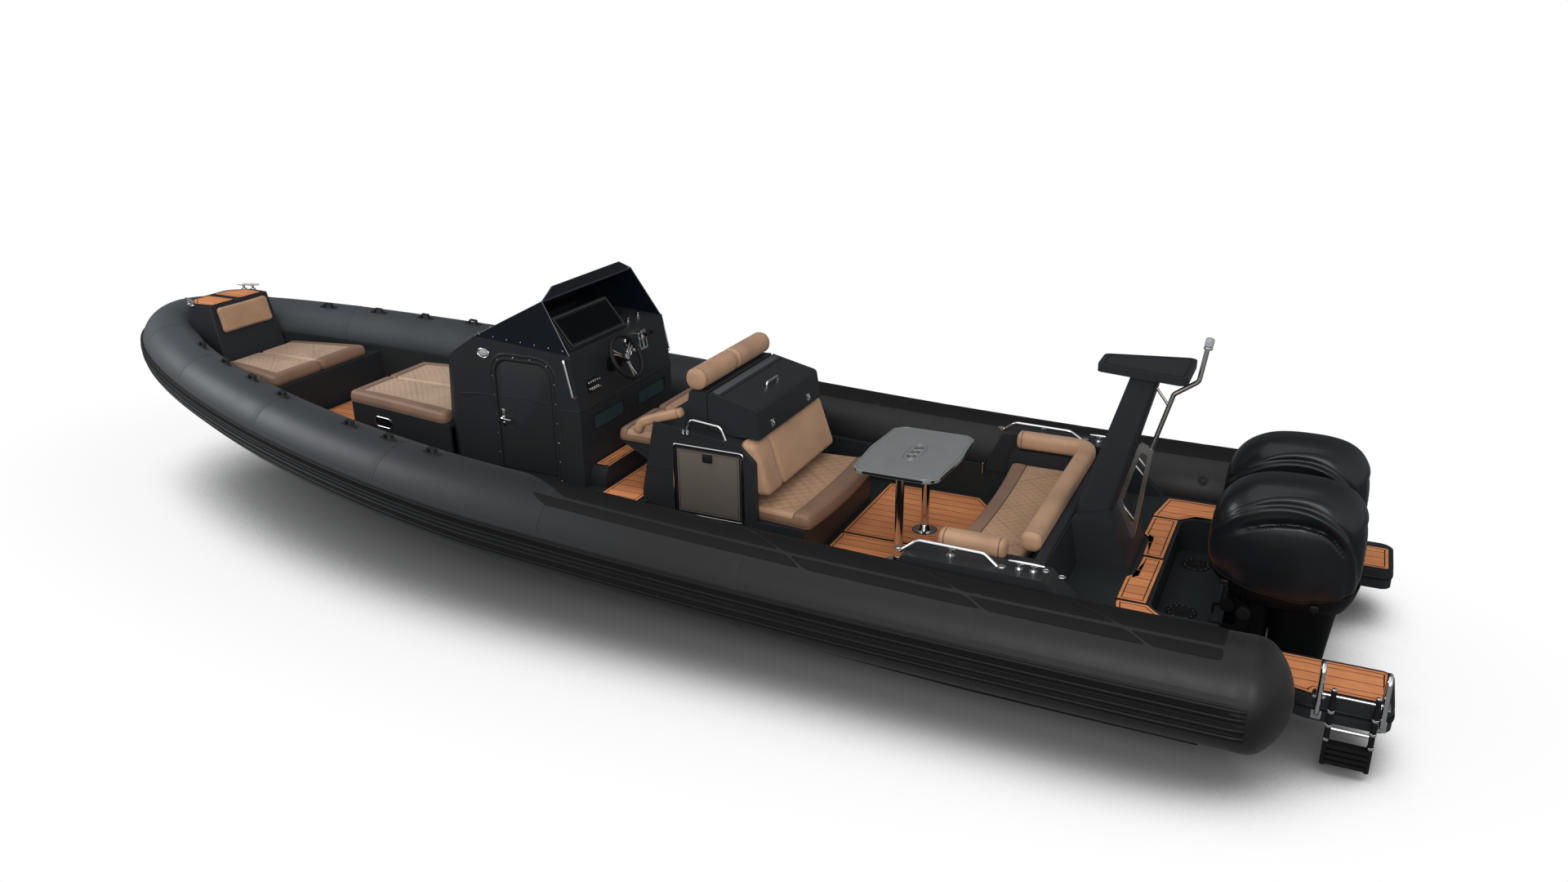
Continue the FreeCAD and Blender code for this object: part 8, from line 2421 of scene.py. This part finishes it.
@dataclass(frozen=True)
class EngineCover:
    """Engine cover with its side panel, the ridges over its shoulder and the grooved strip at the back.

    Sections are (height, fore end, aft end, half width), about the steering axis.
    """

    swivel: float = -4.740
    aside: float = 0.370
    power: float = 2.6
    around: int = 160
    levels: int = 110
    sections: Tuple[Tuple[float, float, float, float], ...] = (
        (0.590, 0.175, -0.440, 0.180), (0.680, 0.270, -0.485, 0.250), (0.800, 0.322, -0.512, 0.280),
        (0.950, 0.334, -0.517, 0.286), (1.110, 0.318, -0.508, 0.278), (1.230, 0.262, -0.470, 0.238),
        (1.315, 0.150, -0.385, 0.165), (1.352, 0.010, -0.260, 0.080), (1.357, -0.100, -0.150, 0.015))
    seam: Tuple[Flat, ...] = (
        (0.400, 0.850), (0.230, 0.770), (0.020, 0.722), (-0.190, 0.700), (-0.430, 0.735), (-0.620, 0.830))
    panel: Tuple[Flat, ...] = (
        (0.230, 1.020), (0.110, 1.105), (-0.020, 1.150), (-0.160, 1.163), (-0.290, 1.135), (-0.375, 1.045),
        (-0.412, 0.930), (-0.428, 0.820), (-0.432, 0.715))
    ridge: Tuple[Flat, ...] = (
        (0.315, 1.000), (0.205, 1.135), (0.070, 1.215), (-0.090, 1.245), (-0.240, 1.222), (-0.360, 1.140),
        (-0.430, 1.020), (-0.462, 0.880), (-0.470, 0.760))
    crest: Tuple[Flat, ...] = (
        (0.285, 1.085), (0.180, 1.190), (0.040, 1.268), (-0.110, 1.296), (-0.230, 1.290), (-0.330, 1.255))

    PANEL_DEPTH = 0.034
    PANEL_LEAST = 0.0035
    PANEL_FALL = 0.024
    RIDGE_RISE = 0.0180
    RIDGE_GROOVE = 0.0090
    CREST_RISE = 0.0150
    STRIP_HALF = 0.118
    STRIP_TOP = 1.165
    STRIP_DEPTH = 0.011
    SLAT_DEPTH = 0.005
    SLAT_PITCH = 0.034
    CROWN_PLAIN = 1.345
    # Place along the engine and half width where the clasp sits.
    CLASPS = ((0.205, 0.232), (-0.285, 0.258))
    # Along and out from the clasp's seat, and height.
    CLASP_BAR = ((-0.016, 0.018, -0.008), (0.0, 0.024, -0.012), (0.016, 0.018, -0.008))
    TRIM_BUTTON = ((0.019, 0.0), (0.019, 0.012), (0.016, 0.015), (0.008, 0.012))
    TILT_PIN = (-4.655, 0.520)
    TILT_CAP = ((0.030, 0.0), (0.040, 0.0), (0.044, 0.004), (0.044, 0.020), (0.040, 0.026), (0.024, 0.028),
                (0.022, 0.020), (0.002, 0.019))
    BOLT = ((0.0045, 0.0), (0.0045, 0.0035), (0.003, 0.005))

    def section(self, z: float) -> Tuple[float, float, float]:
        """Fore end, aft end and half width at a height."""
        rows = self.sections
        k = 0
        while k < len(rows) - 2 and rows[k + 1][0] < z:
            k += 1
        t = max(0.0, min(1.0, (z - rows[k][0]) / (rows[k + 1][0] - rows[k][0])))
        a, b, c, d = rows[max(k - 1, 0)], rows[k], rows[k + 1], rows[min(k + 2, len(rows) - 1)]
        span = c[0] - b[0]
        values = []
        for i in (1, 2, 3):
            first = (c[i] - a[i]) / max(c[0] - a[0], 1e-6) * span
            last = (d[i] - b[i]) / max(d[0] - b[0], 1e-6) * span
            values.append((2 * t ** 3 - 3 * t * t + 1) * b[i] + (t ** 3 - 2 * t * t + t) * first
                          + (-2 * t ** 3 + 3 * t * t) * c[i] + (t ** 3 - t * t) * last)
        return values[0], values[1], max(values[2], 0.002)

    def seam_height(self, x: float) -> float:
        """Height of the joint with the pan at a place along the engine."""
        rows = self.seam
        if x >= rows[0][0]:
            return rows[0][1]
        for (ax, az), (bx, bz) in zip(rows, rows[1:]):
            if bx <= x <= ax:
                share = (ax - x) / (ax - bx)
                share = share * share * (3 - 2 * share) * 0.4 + share * 0.6
                return az + (bz - az) * share
        return rows[-1][1]

    def point(self, angle: float, z: float) -> Flat:
        """Plan point of the plain form at an angle and a height."""
        fore, aft, half = self.section(z)
        c, s = squared(angle, self.power)
        return (fore + aft) / 2.0 + (fore - aft) / 2.0 * c, half * s

    def relief(self, x: float, y: float, z: float, curves: Sequence[Sequence[Flat]]) -> float:
        """How far the skin stands out from the plain form at a point."""
        panel, ridge, crest = curves
        gap, share = distance_to(panel, x, z)
        swell = math.sin(math.pi * min(max((share - 0.06) / 0.62, 0.0), 1.0)) ** 0.8
        depth = (self.PANEL_DEPTH * swell + self.PANEL_LEAST) * min(1.0, share / 0.10)
        if gap > 0.0:
            push = -depth * math.exp(-((gap - 0.006) / self.PANEL_FALL) ** 2)
        else:
            push = -depth * math.exp(-(gap / 0.004) ** 2) + 0.003 * (1.0 - math.exp(gap / 0.03))
        gap, share = distance_to(ridge, x, z)
        fade = math.sin(math.pi * share) ** 0.6 if 0.0 < share < 1.0 else 0.0
        push += self.RIDGE_RISE * fade * math.exp(-(gap / (0.022 if gap < 0.0 else 0.010)) ** 2)
        push -= self.RIDGE_GROOVE * fade * math.exp(-((gap - 0.022) / 0.012) ** 2)
        gap, share = distance_to(crest, x, z)
        fade = math.sin(math.pi * share) ** 0.8 if 0.0 < share < 1.0 else 0.0
        push += self.CREST_RISE * fade * math.exp(-(gap / (0.020 if gap < 0.0 else 0.008)) ** 2)
        if x < -0.30 and abs(y) < 0.150:
            rise = 1.0 / (1.0 + math.exp((abs(y) - self.STRIP_HALF) / 0.004))
            rise /= 1.0 + math.exp((z - self.STRIP_TOP) / 0.006)
            slat = (0.5 + 0.5 * math.cos(2.0 * math.pi * z / self.SLAT_PITCH)) ** 2
            push -= rise * (self.STRIP_DEPTH + self.SLAT_DEPTH * slat)
        return push

    def plain_rings(self) -> List[List[Vector]]:
        """Rings of the plain form, from the joint with the pan to the crown."""
        top = self.sections[-1][0]
        made: List[List[Vector]] = []
        for level in range(self.levels + 1):
            share = 1.0 - (1.0 - level / self.levels) ** 1.25
            ring = []
            for i in range(self.around):
                angle = 2.0 * math.pi * i / self.around
                z = 0.9
                for _ in range(4):
                    low = self.seam_height(self.point(angle, z)[0]) + 0.001
                    z = low + (top - low) * share
                x, y = self.point(angle, z)
                ring.append(Vector((x, y, z)))
            made.append(ring)
        return made

    def rings(self) -> List[List[Vector]]:
        """Rings of the cover with all its relief, about the steering axis."""
        curves = [spline(path) for path in (self.panel, self.ridge, self.crest)]
        plain = self.plain_rings()
        moved = []
        for level, ring in enumerate(plain):
            line = []
            for i, place in enumerate(ring):
                around = ring[(i + 1) % self.around] - ring[i - 1]
                up = plain[min(level + 1, self.levels)][i] - plain[max(level - 1, 0)][i]
                normal = around.cross(up)
                if normal.length < 1e-9 or place.z > self.CROWN_PLAIN:
                    line.append(place)
                    continue
                push = self.relief(place.x, place.y, place.z, curves)
                line.append(place + normal.normalized() * (push - 0.004 * max(0.0, 1.0 - level / 4.0) ** 2))
            moved.append(line)
        return moved

    def place(self, point: Vector, side: float) -> Vector:
        """Moves a point from the steering axis to one engine."""
        return Vector((point.x + self.swivel, point.y + side * self.aside, point.z))

    def cover(self, rings: Sequence[Sequence[Vector]], side: float, label: str) -> bpy.types.Object:
        """Makes the cover of one engine from its rings."""
        shape = bmesh.new()
        lines = [[shape.verts.new(self.place(p, side)) for p in ring] for ring in rings]
        inner = [shape.verts.new(self.place(p + Vector((-p.x * 0.03, -p.y * 0.03, 0.012)), side))
                 for p in rings[0]]
        ring_faces(shape, [inner] + lines)
        shape.faces.new(lines[-1])
        piece = settle(label + "_engine_cover", shape, [ENGINE_GLOSS], 50.0)
        return declare(piece, label + "_engine", Slot.BLACK_GLOSS, label + "_engine_cowl")

    def fittings(self, side: float, label: str) -> None:
        """Clasps, the trim button and the joint's rubber seal of one engine."""
        shape = bmesh.new()
        for x, half in self.CLASPS:
            seat = self.seam_height(x) - 0.030
            for flank in (1.0, -1.0):
                y = flank * (half - 0.004)
                corners = rectangle((x - 0.024, seat - 0.016), (x + 0.024, seat + 0.018))
                ring = rounded_outline([Vector((a, y, b)) for a, b in corners], 0.007)
                slab(shape, [self.place(p, side) for p in ring], ASIDE * flank * 0.016, 0.004)
                path = [Vector((x + a, y + flank * b, seat + c)) for a, b, c in self.CLASP_BAR]
                bar(shape, [self.place(p, side) for p in path], (0.004, 0.003), count=8)
        for flank in (1.0, -1.0):
            centre = self.place(Vector((-0.436, flank * 0.176, 0.790)), side)
            lathe(shape, self.TRIM_BUTTON, centre, Vector((-0.55, flank * 0.82, 0.0)), 20)
        piece = settle(label + "_engine_clasps", shape, [BLACK_SMOOTH])
        declare(piece, label + "_engine", Slot.BLACK_PLASTIC)
        shape = bmesh.new()
        path = []
        for i in range(120):
            angle = 2.0 * math.pi * i / 120
            z = 0.78
            for _ in range(4):
                z = self.seam_height(self.point(angle, z)[0])
            x, y = self.point(angle, z - 0.001)
            path.append(self.place(Vector((x * 0.994, y * 0.994, z - 0.0005)), side))
        bead(shape, path, (0.0045, 0.0030))
        declare(settle(label + "_engine_seal", shape, [STRAKE]), label + "_engine", Slot.STRAKE)

    def tilt_caps(self, side: float, label: str) -> None:
        """Bolted end caps of the tilt pin on the transom bracket."""
        shape = bmesh.new()
        centre = Vector((self.TILT_PIN[0], side * self.aside, self.TILT_PIN[1]))
        for flank in (1.0, -1.0):
            axis = ASIDE * flank
            start = centre + axis * 0.1405
            lathe(shape, self.TILT_CAP, start, axis, 28)
            for spot in oval_path(start + axis * 0.0265, AHEAD, UP, (0.0335, 0.0335), 6):
                lathe(shape, self.BOLT, spot, axis, 6)
        declare(settle(label + "_tilt_caps", shape, [BLACK_GRAIN]), ROOT_BODY, Slot.BLACK_PLASTIC)

    def build(self) -> None:
        """Makes both engines' covers and fittings."""
        rings = self.rings()
        for side, label in ((1.0, "port"), (-1.0, "stbd")):
            self.cover(rings, side, label)
            self.fittings(side, label)
            self.tilt_caps(side, label)


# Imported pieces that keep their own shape


class PackedFinishes:
    """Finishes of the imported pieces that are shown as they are."""

    def plan(self) -> Dict[str, Finish]:
        """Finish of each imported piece, by its name."""
        plan: Dict[str, Finish] = {
            "clamp_brackets": BLACK_SMOOTH, "cleats": STAINLESS, "console_rails": STAINLESS,
            "console_windows": LOCKER_GLASS, "fridge_drawer": FRIDGE_STEEL, "galley_rails": STAINLESS,
            "ladder": BLACK_GRAIN, "ladder_hoops": STAINLESS,
            "lid_handle": STAINLESS, "stern_handrails": STAINLESS, "tow_pole": BRUSHED,
            "mast_frame": BRUSHED, "table_legs": STAINLESS, "throttle": STAINLESS,
            "wheel_mount": BLACK_SMOOTH, "windscreen": SMOKED,
        }
        for side in ("port", "stbd"):
            plan[side + "_engine_leg"] = ENGINE_SATIN
            plan[side + "_propeller"] = PROP_STEEL
            plan[side + "_swivel_bracket"] = ENGINE_SATIN
        return plan

    def build(self) -> None:
        """Puts the finishes on."""
        for node, finish in self.plan().items():
            dress_node(node, finish)


TEAK_LAYOUTS = (TeakLayout("sole_teak"), TeakLayout("bow_teak"), TeakLayout("stern_teak", 0.110),
                TeakLayout("platform_teak"))
SCENE_PARTS = (PackedFinishes(), Collar(TUBE), Mouldings(), *(TeakDeck(layout) for layout in TEAK_LAYOUTS),
               Upholstery(), CabinDoor(), Dash(), Wheel(), ConsoleTrim(), ModuleTrim(), Table(), SternTrim(),
               EngineCover())


# Studio


@dataclass(frozen=True)
class PhotoCamera:
    """The photographer's place and lens, from the vanishing points of the picture."""

    place: Point = (-4.8906, 7.3273, 4.0130)
    yaw: float = -64.68
    down: float = 20.82
    roll: float = -0.6
    focal: float = 1470.63
    width: float = 1920.0
    sensor: float = 36.0

    def build(self) -> bpy.types.Object:
        """Sets up the camera and makes it the scene's."""
        yaw, down, roll = (math.radians(angle) for angle in (self.yaw, self.down, self.roll))
        ahead = Vector((math.cos(down) * math.cos(yaw), math.cos(down) * math.sin(yaw), -math.sin(down)))
        right = ahead.cross(UP).normalized()
        above = right.cross(ahead)
        tilted_right = right * math.cos(roll) + above * math.sin(roll)
        tilted_up = above * math.cos(roll) - right * math.sin(roll)
        data = bpy.data.cameras.new("camera")
        data.sensor_width = self.sensor
        data.lens = self.focal / self.width * self.sensor
        data.clip_end = 2000.0
        camera = bpy.data.objects.new("camera", data)
        bpy.context.scene.collection.objects.link(camera)
        matrix = Matrix((tilted_right, tilted_up, -ahead)).transposed().to_4x4()
        matrix.translation = Vector(self.place)
        camera.matrix_world = matrix
        bpy.context.scene.camera = camera
        return camera


@dataclass(frozen=True)
class Studio:
    """Pale floor at the waterline, a white world for the lens, and soft studio lights."""

    floor_half: float = 600.0
    world: float = 1.05
    world_far: float = 0.12
    far_side: Point = (0.4275, -0.9040, 0.0)
    world_turn: Flat = (-0.7, 0.75)
    seen: float = 1.0
    # Painted shadow on the floor: the ellipse and the ambient occlusion below keep the floor grey near the
    # boat.
    shade_reach: float = 1.0
    shade_half: Flat = (6.6, 2.9)
    shade_fade: Flat = (0.35, 1.15)
    shade_lift: float = 0.90
    crease_fade: Flat = (0.40, 0.82)
    crease_samples: int = 10
    # Grey of the floor, seen in its real and painted shadows and by bounced light.
    floor_paint: RGB = paint(130, 130, 130)

    def floor(self) -> bpy.types.Object:
        """The floor: plain white to the camera, grey below the boat with real shadow and painted shadow."""
        shape = bmesh.new()
        reach = self.floor_half
        corners = [shape.verts.new((x, y, 0.0)) for x, y in rectangle((-reach, -reach), (reach, reach))]
        shape.faces.new(corners)
        mesh = bpy.data.meshes.new("floor")
        shape.to_mesh(mesh)
        shape.free()
        graph = Graph("studio floor")
        graph.set(base=self.floor_paint, roughness=0.85, specular=0.05)
        mesh.materials.append(graph.material)
        floor = add_object("floor", mesh)
        self.whiten(graph)
        return floor

    def whiten(self, graph: Graph) -> None:
        """Lifts the floor to white where the lens sees it, but less in an ellipse round the boat and where
        ambient occlusion finds the boat close: there the lit grey floor shows, a painted shadow over the real
        one.
        """
        where = graph.split(graph.place())
        # An ellipse round the boat keeps part of the grey floor: a painted shade under the boat.
        across = graph.calc("DIVIDE", where.outputs["X"], self.shade_half[0])
        aside = graph.calc("DIVIDE", where.outputs["Y"], self.shade_half[1])
        square = graph.calc("ADD", graph.calc("MULTIPLY", across, across),
                            graph.calc("MULTIPLY", aside, aside))
        far = graph.node("ShaderNodeMapRange", interpolation_type="SMOOTHSTEP")
        graph.join(square, far.inputs["Value"])
        far.inputs["From Min"].default_value, far.inputs["From Max"].default_value = self.shade_fade
        far.inputs["To Min"].default_value = self.shade_lift
        rays = graph.node("ShaderNodeLightPath")
        # Ambient occlusion paints a shadow close under the boat.
        near = graph.node("ShaderNodeAmbientOcclusion", samples=self.crease_samples)
        near.inputs["Distance"].default_value = self.shade_reach
        clear = graph.node("ShaderNodeMapRange", interpolation_type="SMOOTHSTEP")
        graph.join(near.outputs["AO"], clear.inputs["Value"])
        clear.inputs["From Min"].default_value, clear.inputs["From Max"].default_value = self.crease_fade
        lift = graph.calc("MULTIPLY", far.outputs["Result"], clear.outputs["Result"])
        seen = graph.calc("MULTIPLY", lift, rays.outputs["Is Camera Ray"])
        glow = graph.node("ShaderNodeEmission")
        glow.inputs["Strength"].default_value = self.seen
        mix = graph.node("ShaderNodeMixShader")
        out = graph.tree.nodes["Material Output"]
        graph.join(seen, mix.inputs[0])
        graph.join(graph.shader.outputs[0], mix.inputs[1])
        graph.join(glow.outputs[0], mix.inputs[2])
        graph.join(mix.outputs[0], out.inputs["Surface"])

    def sky(self) -> None:
        """White world for the lens and even light for everything else."""
        world = bpy.data.worlds.new("studio")
        bpy.context.scene.world = world
        world.use_nodes = True
        nodes, links = world.node_tree.nodes, world.node_tree.links
        back = nodes["Background"]
        back.inputs["Color"].default_value = (0.97, 0.985, 1.0, 1.0)
        where = nodes.new("ShaderNodeTexCoord")
        facing = nodes.new("ShaderNodeVectorMath")
        facing.operation = "DOT_PRODUCT"
        facing.inputs[1].default_value = self.far_side
        level = nodes.new("ShaderNodeMapRange")
        level.inputs["From Min"].default_value, level.inputs["From Max"].default_value = self.world_turn
        level.inputs["To Min"].default_value = self.world
        level.inputs["To Max"].default_value = self.world_far
        links.new(where.outputs["Generated"], facing.inputs[0])
        links.new(facing.outputs["Value"], level.inputs["Value"])
        links.new(level.outputs["Result"], back.inputs["Strength"])
        white = nodes.new("ShaderNodeBackground")
        white.inputs["Color"].default_value = (1.0, 1.0, 1.0, 1.0)
        white.inputs["Strength"].default_value = self.seen
        rays = nodes.new("ShaderNodeLightPath")
        mix = nodes.new("ShaderNodeMixShader")
        links.new(rays.outputs["Is Camera Ray"], mix.inputs[0])
        links.new(back.outputs[0], mix.inputs[1])
        links.new(white.outputs[0], mix.inputs[2])
        links.new(mix.outputs[0], nodes["World Output"].inputs["Surface"])

    @staticmethod
    def lamp(name: str, place: Point, aim: Point, size: Flat, power: float,
             tint: RGB = (1.0, 1.0, 1.0)) -> None:
        """One soft area light."""
        data = bpy.data.lights.new(name, "AREA")
        data.shape = "RECTANGLE"
        data.size, data.size_y = size
        data.energy = power
        data.color = tint
        lamp = bpy.data.objects.new(name, data)
        bpy.context.scene.collection.objects.link(lamp)
        lamp.location = place
        lamp.rotation_euler = (Vector(aim) - Vector(place)).to_track_quat("-Z", "Y").to_euler()

    def build(self) -> None:
        """Sets up the floor, the world and the lights."""
        self.floor()
        self.sky()
        self.lamp("overhead", (-1.5, 0.5, 8.5), (-0.5, 0.0, 0.0), (9.0, 6.0), 150.0)
        self.lamp("side", (-4.5, 8.5, 5.0), (-0.5, 0.0, 0.6), (6.0, 3.5), 330.0, (1.0, 0.985, 0.96))
        self.lamp("bow", (8.5, 3.0, 5.5), (1.5, 0.0, 0.8), (4.0, 4.0), 300.0, (0.96, 0.98, 1.0))
        scene = bpy.context.scene
        scene.view_settings.view_transform = "Standard"


def main() -> None:
    """Builds the whole scene."""
    logging.basicConfig(level=logging.INFO, format="%(message)s")
    PhotoCamera().build()
    Studio().build()
    for part in SCENE_PARTS:
        part.build()


if __name__ == "__main__":
    main()
